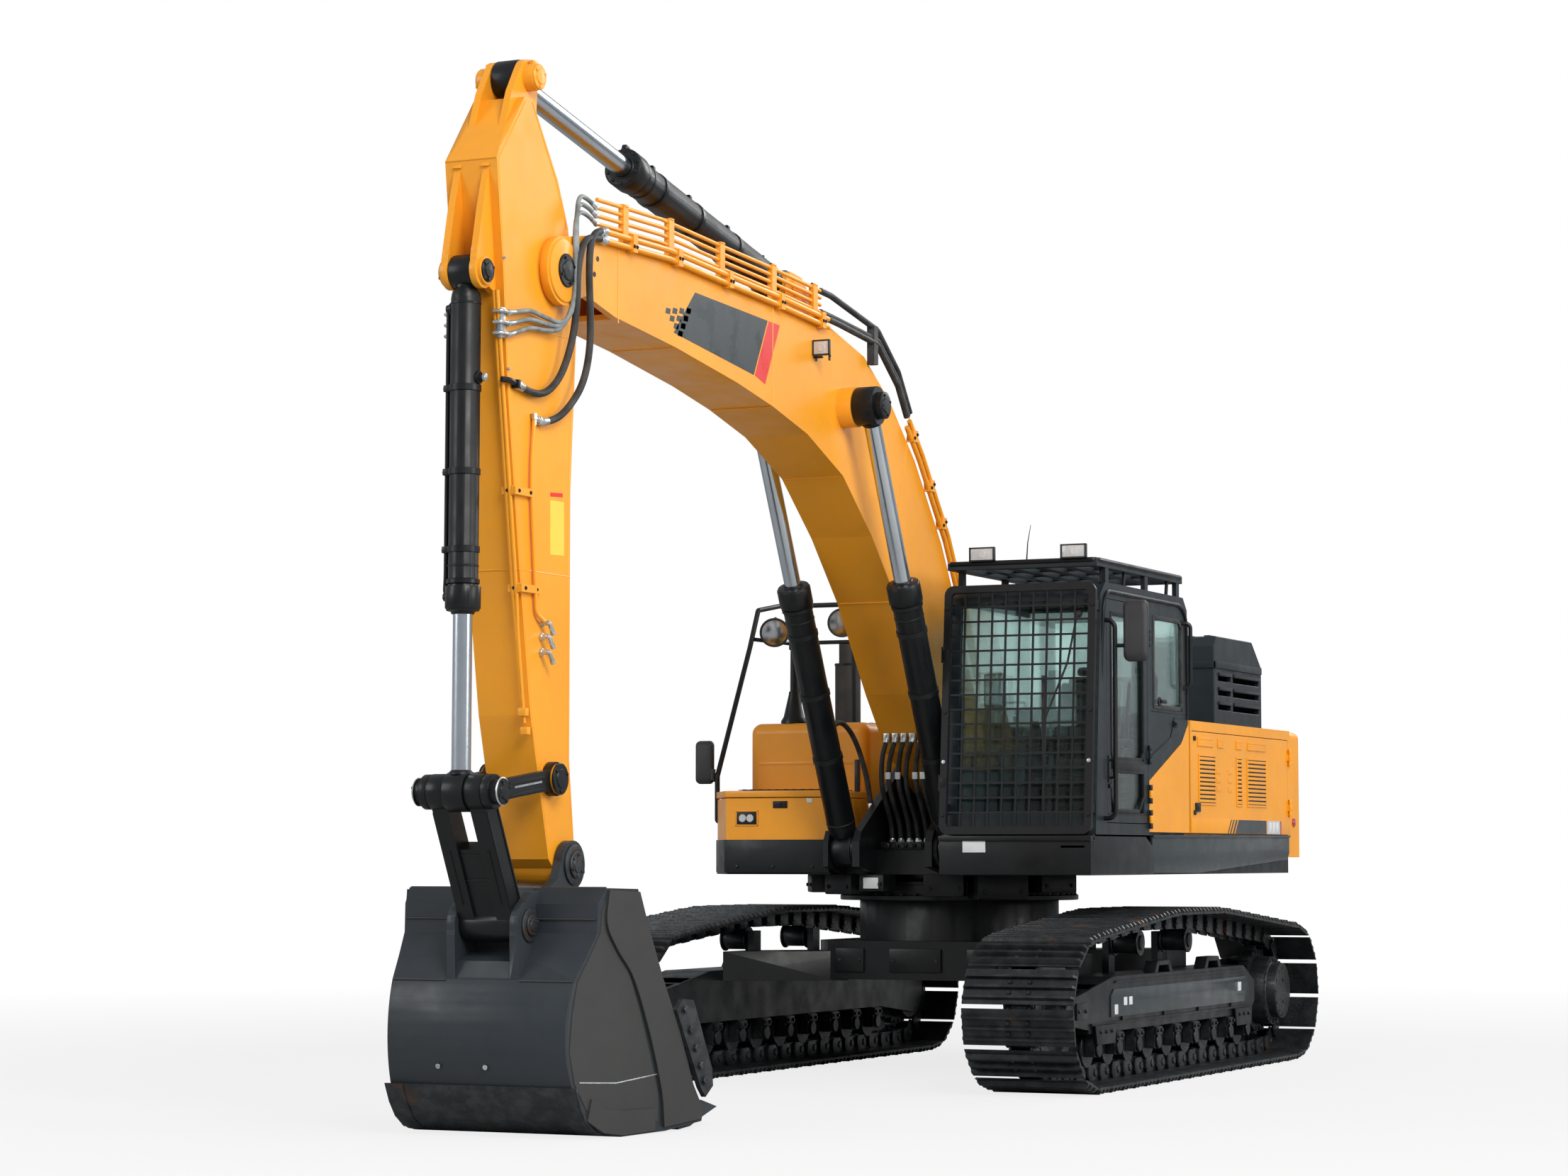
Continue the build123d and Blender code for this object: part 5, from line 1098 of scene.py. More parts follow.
def frame_line(shape, corners, x0, x1, width, bevel=0.004):
    """A flat frame of bars inside a closed (y, z) outline."""
    centre = Vector((sum(y for y, _ in corners) / len(corners), sum(z for _, z in corners) / len(corners)))
    inner = []
    for i, corner in enumerate(corners):
        here, before, after = Vector(corner), Vector(corners[i - 1]), Vector(corners[(i + 1) % len(corners)])
        a, b = (before - here).normalized(), (after - here).normalized()
        inward = (a + b).normalized()
        if inward.dot(centre - here) < 0:
            inward.negate()
        sine = max(0.3, math.sin(a.angle(b) / 2))
        inner.append(tuple(here + inward * width / sine))
    for i in range(len(corners)):
        j = (i + 1) % len(corners)
        shape.side([corners[i], corners[j], inner[j], inner[i]], x0, x1, bevel)


def make_cab_trim():
    """Frames round the panes, rain gutter, seams, handles, base rail, rubber feet and a blank plate."""
    trim, rubber_trim, moving = Shape(), Shape(), Shape()
    face = house_x
    quarter = [(-0.40, 2.35), (0.15, 2.35), (0.19, 2.40), (0.19, 2.90), (0.14, 2.95), (-0.40, 2.95)]
    frame_line(rubber_trim, quarter, face - 0.012, face + 0.006, 0.028)
    trim.side(rect(-0.43, 0.26, 2.33, 2.337), face, face + 0.003, 0.001)
    trim.side([(-0.43, 2.05), (-0.05, 2.17), (0.02, 2.30), (0.26, 2.31), (0.26, 2.318), (0.013, 2.308),
               (-0.058, 2.178), (-0.43, 2.058)], face, face + 0.004, 0.001)
    gutter = ((-0.015, -1.36, 2.40), (0.006, -1.355, 2.95), (0.006, -1.29, 3.045), (0.006, 0.16, 3.045),
              (0.004, 0.275, 2.96), (0.002, 0.285, 2.30))
    trim.pipe([(face + out, y, z) for out, y, z in gutter], 0.10, 0.012)
    trim.rod((face + 0.004, -0.30, 2.40), (face + 0.014, -0.30, 2.40), 0.030)
    trim.block((face + 0.008, -0.29, 2.388), (face + 0.022, -0.18, 2.412), 0.004)
    trim.block((face, -0.01, 2.245), (face + 0.014, 0.06, 2.285), 0.004)
    trim.block((face + 0.006, 0.0, 2.255), (face + 0.024, 0.03, 2.275), 0.003)
    y0, y1 = cab_door_low.y, min(pane_high.y + 0.07, cab_door_high.y)
    for z0, z1 in ((pane_low.z, 1.95), (2.0, pane_high.z)):
        cut = 0.10 if z0 < 1.9 else 0.05
        pane = [(pane_low.y, z0 + cut), (pane_low.y + cut * 0.6, z0), (pane_high.y - cut, z0),
                (pane_high.y, z0 + cut), (pane_high.y, z1), (pane_low.y, z1)]
        frame_line(moving, pane, face - 0.012, face + 0.005, 0.026)
    moving.block((face, y0 + 0.075, 1.945), (face + 0.010, y1 - 0.075, 2.003), 0.004)
    moving.block((face, y0 + 0.012, 1.86), (face + 0.006, y0 + 0.062, 2.03), 0.003)
    pull = y0 + 0.037
    moving.pipe([(face + out, pull, z) for out, z in ((0, 1.89), (0.032, 1.89), (0.032, 2.0), (0, 2.0))],
                0.015, 0.008)
    moving.rod((face + 0.002, pull, 1.84), (face + 0.012, pull, 1.84), 0.015)
    moving.side(rect(y0 + 0.02, y1 - 0.02, 1.665, 1.672), face, face + 0.003, 0.001)
    trim.block((0.50, -1.545, 1.462), (face, -1.515, 1.54), 0.006)
    for x in (0.62, 1.34):
        for y in (-1.35, 0.10):
            rubber_trim.lathe((x, y, 1.452), UP, [(0, 0.075), (0.012, 0.075), (0.02, 0.058), (0.06, 0.058),
                                                  (0.068, 0.075), (0.085, 0.075)])
    trim.block((1.30, -1.585, 1.455), (1.46, -1.56, 1.475), 0.003)
    trim.piece("cab_trim", "upperstructure", "paint_black")
    rubber_trim.piece("cab_seals", "upperstructure", "hose_rubber")
    moving.piece("cab_door_trim", "cab_door", "paint_black")
    plate = Shape().block((0.66, -1.5905, 1.43), (0.81, -1.5845, 1.505), 0.001)
    plate.piece("cab_plate", "upperstructure", "wear_white")


def make_guards():
    """Hinges, bolts and latches of the front guard, slats and edge tube of the roof guard, the antenna."""
    guard, zinc = Shape(), Shape()
    x0, x1 = front_low.x, front_high.x

    def on_guard(z):
        """The leaning guard's y at this height."""
        return -1.575 + 0.12 * (z - 1.54) / 1.55

    for z in (1.66, 2.30, 2.95):
        for x in (x0 + 0.022, x1 - 0.022):
            guard.bolt((x, on_guard(z) - 0.015, z), (0, -1, 0.08), 0.011)
    for z in (1.86, 2.66):
        guard.rod((x0 - 0.002, on_guard(z) - 0.004, z - 0.05),
                  (x0 - 0.002, on_guard(z + 0.05) - 0.004, z + 0.05), 0.014)
        guard.block((x0, on_guard(z) - 0.018, z - 0.03), (x0 + 0.04, on_guard(z) + 0.004, z + 0.03), 0.003)
    z = 1.99
    for x in (x1 - 0.022, x0 + 0.022):
        zinc.lathe((x, on_guard(z) - 0.014, z), (0, -1, 0.08), [(0, 0.013), (0.008, 0.012), (0.010, 0.006)])
    top, front = guard_high.z, guard_low.y
    edge = [(x0 + 0.03, front + 0.005), (x1 - 0.02, front + 0.005), (x1 - 0.004, front + 0.05),
            (x1 - 0.004, 0.20), (x0 + 0.01, 0.20)]
    guard.pipe([(x, y, top - 0.006) for x, y in edge], 0.04, 0.016)
    for i in range(9):
        x = x0 + 0.10 + i * 0.10
        guard.block((x, front + 0.03, top - 0.034), (x + 0.012, front + 0.12, top - 0.004), 0.002)
    for i in range(5):
        y = -1.30 + i * 0.36
        guard.block((x0 + 0.05, y, top - 0.030), (x1 - 0.03, y + 0.03, top - 0.012), 0.003)
    roof, head = cab_high.z - 0.002, guard_low.z + 0.10
    for y in (-1.32, -0.90, -0.48, -0.06):
        guard.side([(y, roof), (y + 0.03, roof), (y + 0.05, head), (y + 0.02, head)], x1 - 0.035, x1 - 0.020,
                   0.002)
    guard.rod((0.98, -1.30, top - 0.01), (0.98, -1.29, top + 0.015), 0.014)
    guard.tube([(0.98, -1.295, top), (0.985, -1.285, top + 0.13), (1.0, -1.27, top + 0.24)],
               lambda t: 0.005 - 0.0032 * t, 8)
    guard.pipe([(house_x - 0.02, 0.20, 2.93), (house_x + 0.05, 0.22, 2.93), (house_x + 0.05, 0.22, 2.52),
                (house_x - 0.01, 0.20, 2.50)], 0.05, 0.014)
    guard.piece("guard_fittings", "upperstructure", "paint_black")
    zinc.piece("guard_latches", "upperstructure", "zinc")


def make_wiper():
    """The wiper and its arm outside the windscreen, behind the guard."""
    wiper = Shape()
    y = glass_low.y - 0.012
    wiper.lathe((1.36, y + 0.09, 2.90), AHEAD, [(0, 0.025), (0.02, 0.022), (0.03, 0.012)])
    wiper.tube([(1.36, y + 0.065, 2.90), (1.30, y + 0.05, 2.60), (1.16, y + 0.02, 2.25)], 0.007)
    wiper.block((1.14, y + 0.014, 1.98), (1.165, y + 0.032, 2.52), 0.004)
    wiper.piece("wiper", "upperstructure", "console_plastic")


def as_drawn(piece):
    """A new mesh of the object with its modifiers applied."""
    return bpy.data.meshes.new_from_object(piece.evaluated_get(bpy.context.evaluated_depsgraph_get()))


SWELL_FRAMES, SWELL_FORCE = 14, 4.0


def cushion(name, outline, thickness, place, crown, seams):
    """A padded cushion: a rounded box swollen by a pressure simulation, then pressed in along its seams."""
    width, length = outline
    pad = Shape().block((-width / 2 + 0.012, -length / 2 + 0.012, 0.010),
                        (width / 2 - 0.012, length / 2 - 0.012, thickness - 0.014), 0.028)
    data = bpy.data.meshes.new(name)
    pad.mesh.to_mesh(data)
    pad.mesh.free()
    piece = bpy.data.objects.new(name, data)
    bpy.context.scene.collection.objects.link(piece)
    remesh = piece.modifiers.new("remesh", "REMESH")
    remesh.mode, remesh.voxel_size = "VOXEL", 0.011
    rest = as_drawn(piece)
    piece.modifiers.clear()
    piece.data = rest
    before = [vertex.co.copy() for vertex in rest.vertices]
    soft = piece.modifiers.new("cloth", "CLOTH")
    soft.settings.use_pressure = True
    soft.settings.uniform_pressure_force = SWELL_FORCE
    soft.settings.effector_weights.gravity = 0.0
    for frame_number in range(1, SWELL_FRAMES + 1):
        bpy.context.scene.frame_set(frame_number)
    swollen = as_drawn(piece)
    piece.modifiers.clear()
    bpy.context.scene.frame_set(1)
    piece.data = swollen
    for vertex, start in zip(piece.data.vertices, before):
        move = vertex.co - start
        if move.length > crown:
            vertex.co = start + move.normalized() * crown
        x, y, z = vertex.co
        bulge = max(0.0, 1 - (2 * x / width) ** 2) * max(0.0, 1 - (2 * y / length) ** 2)
        if z > thickness * 0.5:
            vertex.co.z += 0.008 * bulge
            for seam in seams:
                vertex.co.z -= 0.010 * math.exp(-((x - seam) / 0.009) ** 2)
        vertex.co.z = max(0.001, vertex.co.z)
    piece.data.transform(place)
    piece.data.shade_smooth()
    smooth = piece.modifiers.new("smooth", "SUBSURF")
    smooth.levels = smooth.render_levels = 1
    piece.data.materials.clear()
    piece.data.materials.append(MATERIALS["seat_fabric"])
    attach(piece, "upperstructure")
    return piece


def make_seat():
    """The driver's seat: cushion, back and headrest, suspension, shell and belt."""
    floor = seat_low.z
    back_lean = math.atan2(0.15, 0.60)
    base = Matrix.Translation((seat_x, -0.395, floor + 0.335))
    stand = Matrix.Rotation(math.pi / 2 - back_lean, 4, "X")
    back = Matrix.Translation((seat_x, -0.155, floor + 0.725)) @ stand
    head = Matrix.Translation((seat_x, -0.070, floor + 1.02)) @ stand
    cushions = [cushion("seat_cushion", (0.49, 0.47), 0.105, base, crown=0.014, seams=(-0.15, 0.15)),
                cushion("seat_back", (0.47, 0.50), 0.095, back, crown=0.014, seams=(-0.13, 0.13)),
                cushion("seat_headrest", (0.26, 0.085), 0.08, head, crown=0.010, seams=())]
    for piece in cushions:
        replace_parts(piece, "operator_seat")
    shell = Shape()
    shell.block((seat_x - 0.19, -0.55, floor + 0.002), (seat_x + 0.19, -0.18, floor + 0.05), 0.012)
    for i in range(6):
        z = floor + 0.06 + 0.035 * i
        inset = 0.012 * (i % 2)
        shell.block((seat_x - 0.185 + inset, -0.54 + inset, z),
                    (seat_x + 0.185 - inset, -0.20 - inset, z + 0.033), 0.010)
    shell.block((seat_x - 0.235, -0.63, floor + 0.275), (seat_x + 0.235, -0.15, floor + 0.33), 0.014)
    shell.side([(-0.125, floor + 0.46), (-0.095, floor + 0.44), (0.02, floor + 0.98), (-0.005, floor + 1.0)],
               seat_x - 0.215, seat_x + 0.215, 0.008)
    shell.piece("seat_shell", "upperstructure", "console_plastic")
    belt = Shape()
    for side in SIDES:
        belt.tube(smooth_line([(seat_x + side * 0.24, -0.18, floor + 0.40),
                               (seat_x + side * 0.20, -0.28, floor + 0.462),
                               (seat_x + side * 0.08, -0.36, floor + 0.472)], 6), 0.010, 8)
    belt.block((seat_x - 0.045, -0.39, floor + 0.462), (seat_x + 0.045, -0.33, floor + 0.482), 0.004)
    belt.piece("seat_belt", "upperstructure", "console_plastic")


def make_controls():
    """Consoles with joysticks and switches, pedals with their levers, monitor, rear shelf and mat."""
    controls, accents = Shape(), Shape()
    floor = console_low.z
    for side in SIDES:
        x = seat_x + side * 0.33
        controls.side([(-0.70, floor), (-0.12, floor), (-0.12, floor + 0.40), (-0.30, floor + 0.515),
                       (-0.66, floor + 0.515), (-0.70, floor + 0.46)], x - 0.055, x + 0.055, 0.014)
        controls.side([(-0.50, floor + 0.53), (-0.12, floor + 0.53), (-0.12, floor + 0.58),
                       (-0.50, floor + 0.575)], x - 0.045, x + 0.045, 0.015)
        controls.lathe((x, -0.635, floor + 0.512), UP, [(0, 0.050), (0.012, 0.044), (0.03, 0.032),
                                                        (0.045, 0.034), (0.06, 0.022), (0.075, 0.024),
                                                        (0.09, 0.016)])
        controls.tube([(x, -0.637, floor + 0.59), (x, -0.642, floor + 0.64), (x, -0.652, floor + 0.685),
                       (x, -0.66, floor + 0.715)],
                      lambda t: 0.015 + 0.009 * math.sin(math.pi * t) + 0.006 * t, 14)
        controls.lathe((x, -0.662, floor + 0.705), (0, -0.35, 1),
                       [(0, 0.022), (0.01, 0.026), (0.018, 0.022), (0.022, 0.010)])
        accents.rod((x - 0.01, -0.668, floor + 0.722), (x - 0.01, -0.670, floor + 0.730), 0.006)
        for i in range(4):
            accents.block((x - 0.035, -0.60 + 0.035 * i, floor + 0.514),
                          (x - 0.015, -0.58 + 0.035 * i, floor + 0.520), 0.002)
        px, tread = seat_x + side * 0.09, turned(12, "X")
        controls.block((px - 0.042, -1.325, floor + 0.025), (px + 0.042, -1.115, floor + 0.045), 0.006, tread)
        for i in range(5):
            y = -1.30 + 0.036 * i
            controls.block((px - 0.038, y, floor + 0.045), (px + 0.038, y + 0.01, floor + 0.055), 0.002,
                           tread)
        controls.tube([(px, -1.20, floor + 0.03), (px, -1.21, floor + 0.30), (px, -1.17, floor + 0.42)],
                      0.012)
        controls.lathe((px, -1.17, floor + 0.41), (0, 0.1, 1),
                       [(0, 0.016), (0.03, 0.020), (0.06, 0.016), (0.07, 0.008)])
    controls.block((0.60, -1.12, floor + 0.76), (0.78, -1.08, floor + 0.98), 0.012, turned(-28, "Z"))
    controls.tube([(0.57, -0.98, floor + 0.45), (0.59, -1.02, floor + 0.65), (0.64, -1.07, floor + 0.80)],
                  0.014)
    controls.block((cab_low.x + 0.06, 0.06, floor + 0.60), (1.44, 0.22, floor + 0.66), 0.015)
    controls.block((cab_low.x + 0.045, -0.70, floor), (cab_low.x + 0.16, 0.10, floor + 0.52), 0.015)
    accents.block((0.615, -1.126, floor + 0.78), (0.765, -1.121, floor + 0.96), 0.001, turned(-28, "Z"))
    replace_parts(controls.piece("driver_controls", "upperstructure", "console_plastic"), "control_consoles")
    accents.piece("switches", "upperstructure", "zinc")
    mat = Shape()
    for i in range(14):
        mat.block((0.58, -1.33 + i * 0.045, floor - 0.0005), (1.42, -1.305 + i * 0.045, floor + 0.004), 0.001)
    mat.piece("floor_mat", "upperstructure", "hose_rubber")


make_cab_trim()
make_guards()
make_wiper()
make_seat()
make_controls()


# ---------------------------------------------------------------- boom and arm
boom_face, arm_face = 0.205, 0.150          # half widths of the box sections
SUNK, FOIL = 0.001, 0.0008                  # a fitting's depth in its plate, a decal's thickness
FOOT, HEAD = pivots["boom_lift"], pivots["arm_crowd"]
CYLINDER_FOOT, CYLINDER_HEAD = pivots["boom_cylinder_tilt"], Vector((0, -2.37, 4.13))
ARM_FOOT, ARM_HEAD = pivots["arm_cylinder_tilt"], Vector((0, -6.183, 5.41))
BUCKET_FOOT, LINK_PIN = pivots["bucket_cylinder_tilt"], Vector((0, -6.65, 1.725))
ROCKER_PIN, BUCKET_PIN = pivots["rocker_turn"], pivots["bucket_curl"]
LINK_END = Vector((0, -6.31, 1.06))
CYLINDER_X = 0.372                          # half the distance between the boom's two cylinders


def pin_cap(shape, centre, side, x, radius, bolts=4):
    """A pin's end plate on the outside of an ear, with its bolts."""
    start = beside(centre, side * x)
    shape.lathe(start, (side, 0, 0), [(0, radius), (0.008, radius), (0.012, radius * 0.94),
                                      (0.012, radius * 0.62), (0.018, radius * 0.56), (0.020, 0.0)], 36)
    shape.bolts(beside(centre, side * (x + 0.012)), (side, 0, 0), radius * 0.78, bolts, 0.008, 0.4)


def make_boom_trim():
    """Decal, clamp bolts, weld seams, pin caps, hinge bosses and lugs of the boom."""
    slate, red, dark, paint = Shape(), Shape(), Shape(), Shape()
    for side in SIDES:
        seam = side * (boom_face - SUNK)
        faces = sorted((seam, side * (boom_face + FOIL)))
        slate.side([(-4.43, 4.54), (-3.47, 4.512), (-3.66, 4.171), (-4.698, 4.278)], *faces)
        red.side([(-3.455, 4.512), (-3.30, 4.508), (-3.505, 4.135), (-3.645, 4.171)], *faces)
        for i in range(4):
            for j in range(4 - i):
                y, z = -4.60 - 0.085 * i + 0.022 * (3 - j) - 0.012 * j, 4.44 - 0.047 * (j + 0.25 * i)
                slate.side([(y, z), (y + 0.055, z), (y + 0.045, z - 0.032), (y - 0.012, z - 0.032)], *faces)
        for y, z in ((-5.601, 4.549), (-5.637, 4.462)):
            dark.rod((seam, y, z), (side * (boom_face + 0.004), y, z), 0.014)
        for y, low, high in ((-5.36, 4.24, 4.68), (-3.40, 4.02, 4.63), (-1.62, 3.10, 4.22)):
            lean = 0.30 if y > -2 else 0.0
            paint.weld(seam, [(y, low), (y + lean * 0.5, (low + high) / 2), (y + lean, high)], 0.0045)
        paint.lathe(beside(HEAD, seam), (side, 0, 0),
                    [(0, 0.165), (0.010, 0.162), (0.014, 0.150), (0.014, 0.105), (0.016, 0.100)], 40)
        pin_cap(dark, HEAD, side, boom_face + 0.014, 0.088)
        paint.lathe(beside(FOOT, seam), (side, 0, 0), [(0, 0.14), (0.008, 0.138), (0.012, 0.12)], 36)
    for y, z in ((-3.40, 4.0165), (-2.38, 3.708), (-4.67, 4.199), (-1.54, 2.998)):
        paint.cross_weld(0.19, y, z, 0.005)
    clamp_x = 0.254                         # the pipe clamps' outer face
    for y, height in ((-5.25, 4.67), (-4.70, 4.69), (-4.05, 4.66), (-3.35, 4.64), (-2.76, 4.61)):
        for dy in (-0.016, 0.016):
            dark.bolt((clamp_x, y + dy, height - 0.005), ACROSS, 0.008)
            dark.bolt((0.178, y + dy, height + 0.222), UP, 0.008)
        paint.block((0.150, y - 0.020, height - 0.004), (0.206, y + 0.020, height + 0.012), 0.003)
        paint.block((0.158, y - 0.024, height + 0.215), (0.198, y + 0.024, height + 0.223), 0.002)
    for y, z in ((-1.34, 4.06), (-1.06, 3.77), (-0.86, 3.545), (-0.50, 3.025)):
        for step in (-0.018, 0.024):
            dark.bolt((clamp_x, y + step, z + step * 0.6), ACROSS, 0.009)
    paint.side([(-2.02, 4.47), (-1.88, 4.40), (-1.90, 4.49), (-1.96, 4.54)], -0.012, 0.012, 0.004)
    slate.piece("boom_marks", "boom", "decal_slate")
    red.piece("boom_stripe", "boom", "decal_red")
    dark.piece("boom_pins", "boom", "paint_black")
    paint.piece("boom_seams", "boom", "paint_yellow")


def make_arm_trim():
    """Weld seams, pin caps, bosses, fittings, clamp bolts and the blank label of the arm."""
    dark, paint, zinc, label, bar = Shape(), Shape(), Shape(), Shape(), Shape()
    paint.cross_weld(0.148, -6.591, 4.920, 0.005)
    paint.cross_weld(0.148, -6.3335, 2.854, 0.004)
    edge = [(-6.297, 5.262), (-6.574, 4.915), (-6.499, 4.330), (-6.452, 3.768), (-6.318, 2.854),
            (-6.196, 2.121), (-6.02, 1.48)]
    rear = [(-6.223, 5.270), (-5.955, 4.90), (-5.845, 4.67)]
    lower = [(-5.751, 4.10), (-5.806, 3.30), (-5.806, 1.92), (-5.75, 1.50)]
    for side in SIDES:
        seam = side * (arm_face - 0.0015)
        for line in (edge, rear, lower):
            paint.weld(seam, line, 0.0045)
        for low, high, z in ((-6.33, -5.79, 2.854), (-6.50, -5.81, 4.10)):
            paint.weld(seam, [(low, z), (high, z)], 0.0035)
        pin_cap(paint, ARM_HEAD, side, 0.163, 0.066, 3)
        pin_cap(dark, BUCKET_FOOT, side, 0.118, 0.060, 3)
        pin_cap(dark, ROCKER_PIN, side, 0.212, 0.082, 3)
        paint.lathe(beside(HEAD, side * (arm_face - SUNK)), (side, 0, 0),
                    [(0, 0.158), (0.0025, 0.157), (0.003, 0.150)], 40)
        paint.block((side * 0.128 - 0.012, -6.20, 5.47), (side * 0.128 + 0.012, -6.14, 5.50), 0.004)
        paint.block((side * 0.082 - 0.019, -6.70, 4.40), (side * 0.082 + 0.019, -6.66, 4.45), 0.004)
        paint.side([(-6.60, 4.88), (-6.585, 4.905), (-6.54, 4.905), (-6.54, 4.88)],
                   side * 0.081 - 0.024, side * 0.081 + 0.024, 0.003)
    for z, y in ((3.249, -6.402), (2.76, -6.330)):
        for dy in (0.02, 0.14):
            dark.bolt((arm_face + 0.024, y + dy, z), ACROSS, 0.008)
        paint.block((arm_face, y - 0.024, z - 0.024), (arm_face + 0.006, y + 0.190, z + 0.024), 0.002)
        dark.bolt((0.128, y - 0.022, z), (0, -1, 0.14), 0.008)
    for x in (0.119, 0.138):
        paint.pipe([(x, -6.341, 2.72), (0.128 + (x - 0.128) * 0.3, -6.311, 2.52), (0.128, -6.235, 2.08)],
                   0.05, 0.010)
    paint.block((0.105, -6.262, 2.115), (0.150, -6.225, 2.155), 0.004)
    paint.block((0.108, -6.242, 2.02), (0.150, -6.205, 2.06), 0.004)
    x, faces = arm_face, (arm_face - SUNK, arm_face + FOIL)
    label.side([(-6.012, 3.235), (-5.862, 3.238), (-5.858, 2.958), (-6.008, 2.955)], *faces)
    bar.side([(-6.010, 3.275), (-5.876, 3.283), (-5.874, 3.262), (-6.010, 3.254)], *faces)
    for z in (2.595, 2.525, 2.445):
        zinc.lathe((x - SUNK, -6.105, z), ACROSS, [(0, 0.022), (0.014, 0.022), (0.016, 0.016),
                                                   (0.036, 0.015)], 6)
        zinc.pipe([(x + 0.03, -6.105, z), (x + 0.05, -6.105, z), (x + 0.05, -6.07, z - 0.045)], 0.02, 0.012)
        zinc.lathe((x + 0.05, -6.072, z - 0.042), (0, 0.6, -0.8), [(0, 0.016), (0.018, 0.016), (0.02, 0.012)],
                   6)
    paint.pipe([(x + 0.017, -6.19, 2.70), (x + 0.017, -6.185, 2.64), (x + 0.03, -6.12, 2.60)], 0.03, 0.011)
    zinc.lathe((x + 0.017, -6.217, 3.66), (0, 0.05, -1),
               [(0, 0.017), (0.03, 0.017), (0.032, 0.013), (0.05, 0.013)], 6)
    for y, z in ((-6.52, 4.42), (-6.47, 3.86), (-6.06, 1.86)):
        zinc.lathe((x - SUNK, y, z), ACROSS, [(0, 0.009), (0.010, 0.008), (0.018, 0.004)], 8)
    dark.piece("arm_pins", "arm", "paint_black")
    paint.piece("arm_seams", "arm", "paint_yellow")
    zinc.piece("arm_fittings", "arm", "zinc")
    label.piece("arm_label", "arm", "label_yellow")
    bar.piece("arm_label_bar", "arm", "decal_red")


make_boom_trim()
make_arm_trim()


# ---------------------------------------------------------------- cylinders
def cylinder_trim(name, foot, head, places, outer, length, neck, rod_radius, foot_eye, head_eye, port, bodies,
                  lip=1.0):
    """Gland, bolts, bands, ports, pipe, and collars on the eyes.

    Each eye is (half width, radius); port points from the barrel's axis to its ports; lip scales the gland.
    """
    along = (head - foot).normalized()
    port = Vector(port).normalized()
    black, zinc, sleeve = Shape(), Shape(), Shape()
    for x in places:
        base = foot + Vector((x, 0, 0))

        def at(s, out=0.0):
            """The place this far along the barrel and out towards the port."""
            return base + along * s + port * out

        def band(s, ramp, rise, width):
            """A raised band round the barrel with sloping ends."""
            black.hoop(at(s), along, [(0, outer - 0.001), (ramp, outer + rise), (width - ramp, outer + rise),
                                      (width, outer - 0.001)])

        black.hoop(at(length - 0.001), along,
                   [(0, outer + 0.012), (0.014 * lip, outer + 0.006), (0.018 * lip, outer - 0.012),
                    (0.020 * lip, rod_radius + 0.012), (0.030 * lip, rod_radius + 0.008),
                    (0.031 * lip, rod_radius + 0.003), (0, rod_radius + 0.003)])
        black.bolts(at(length + 0.004 * lip), along, outer - 0.006, 10, 0.010, 0.3)
        band(length - 0.150, 0.006, 0.008, 0.032)
        for s in (neck + 0.02, length - 0.22):
            band(s, 0.004, 0.003, 0.014)
        start = foot_eye[1] * 0.72
        black.lathe(at(start), along, [(0, foot_eye[0] * 0.72), (0.05, outer * 0.94),
                                       (max(0.06, neck - start + 0.004), outer)])
        for share in (0.28, 0.55, 0.80):
            s = neck + (length - neck) * share
            band(s, 0.002, 0.006, 0.034)
            square = Vector(ACROSS) if abs(port.x) < 0.5 else port.cross(along)
            turn = Matrix((square, port, along)).transposed()
            lug = Shape().block((-0.026, -0.006, -0.017), (0.026, 0.036, 0.017), 0.004)
            black.add(lug, Matrix.Translation(at(s + 0.017, outer)) @ turn.to_4x4())
            for step in SIDES:
                zinc.bolt(at(s + 0.017, outer + 0.036) + (turn @ Vector((step * 0.016, 0, 0))), port, 0.006)
        pipe_out = outer + 0.022
        run = [at(neck + 0.05, outer - 0.002), at(neck + 0.05, pipe_out), at(neck + 0.10, pipe_out),
               at(length - 0.16, pipe_out), at(length - 0.085, pipe_out + 0.004),
               at(length - 0.06, outer + 0.004)]
        black.pipe(run, 0.03, 0.013)
        for s in (neck + 0.05, length - 0.060):
            black.lathe(at(s, outer - 0.004), port, [(0, 0.034), (0.012, 0.033), (0.014, 0.024),
                                                     (0.034, 0.022)], 16)
        for eye, centre, shape in ((foot_eye, foot, black), (head_eye, head, sleeve)):
            half, radius = eye
            wide = 2 * half + 0.0016
            shape.lathe(beside(centre, x - half - 0.0008), ACROSS,
                        [(0, radius * 0.60), (0, radius + 0.001), (0.004, radius + 0.003),
                         (2 * half - 0.0024, radius + 0.003), (wide, radius + 0.001), (wide, radius * 0.60)],
                        44)
        pin = beside(head, x)
        sleeve.lathe(pin - along * (head_eye[1] - 0.012), -along,
                     [(0, rod_radius + 0.014), (0.012, rod_radius + 0.010), (0.022, rod_radius + 0.001)])
        outward = (-along).lerp(port, 0.5).normalized()
        sleeve.lathe(pin + outward * (head_eye[1] + 0.002), outward,
                     [(0, 0.008), (0.008, 0.007), (0.014, 0.003)], 8)
    black.piece(name + "_barrel_trim", bodies[0], "paint_black")
    zinc.piece(name + "_clamp_bolts", bodies[0], "zinc")
    sleeve.piece(name + "_rod_eye", bodies[1], "paint_black")


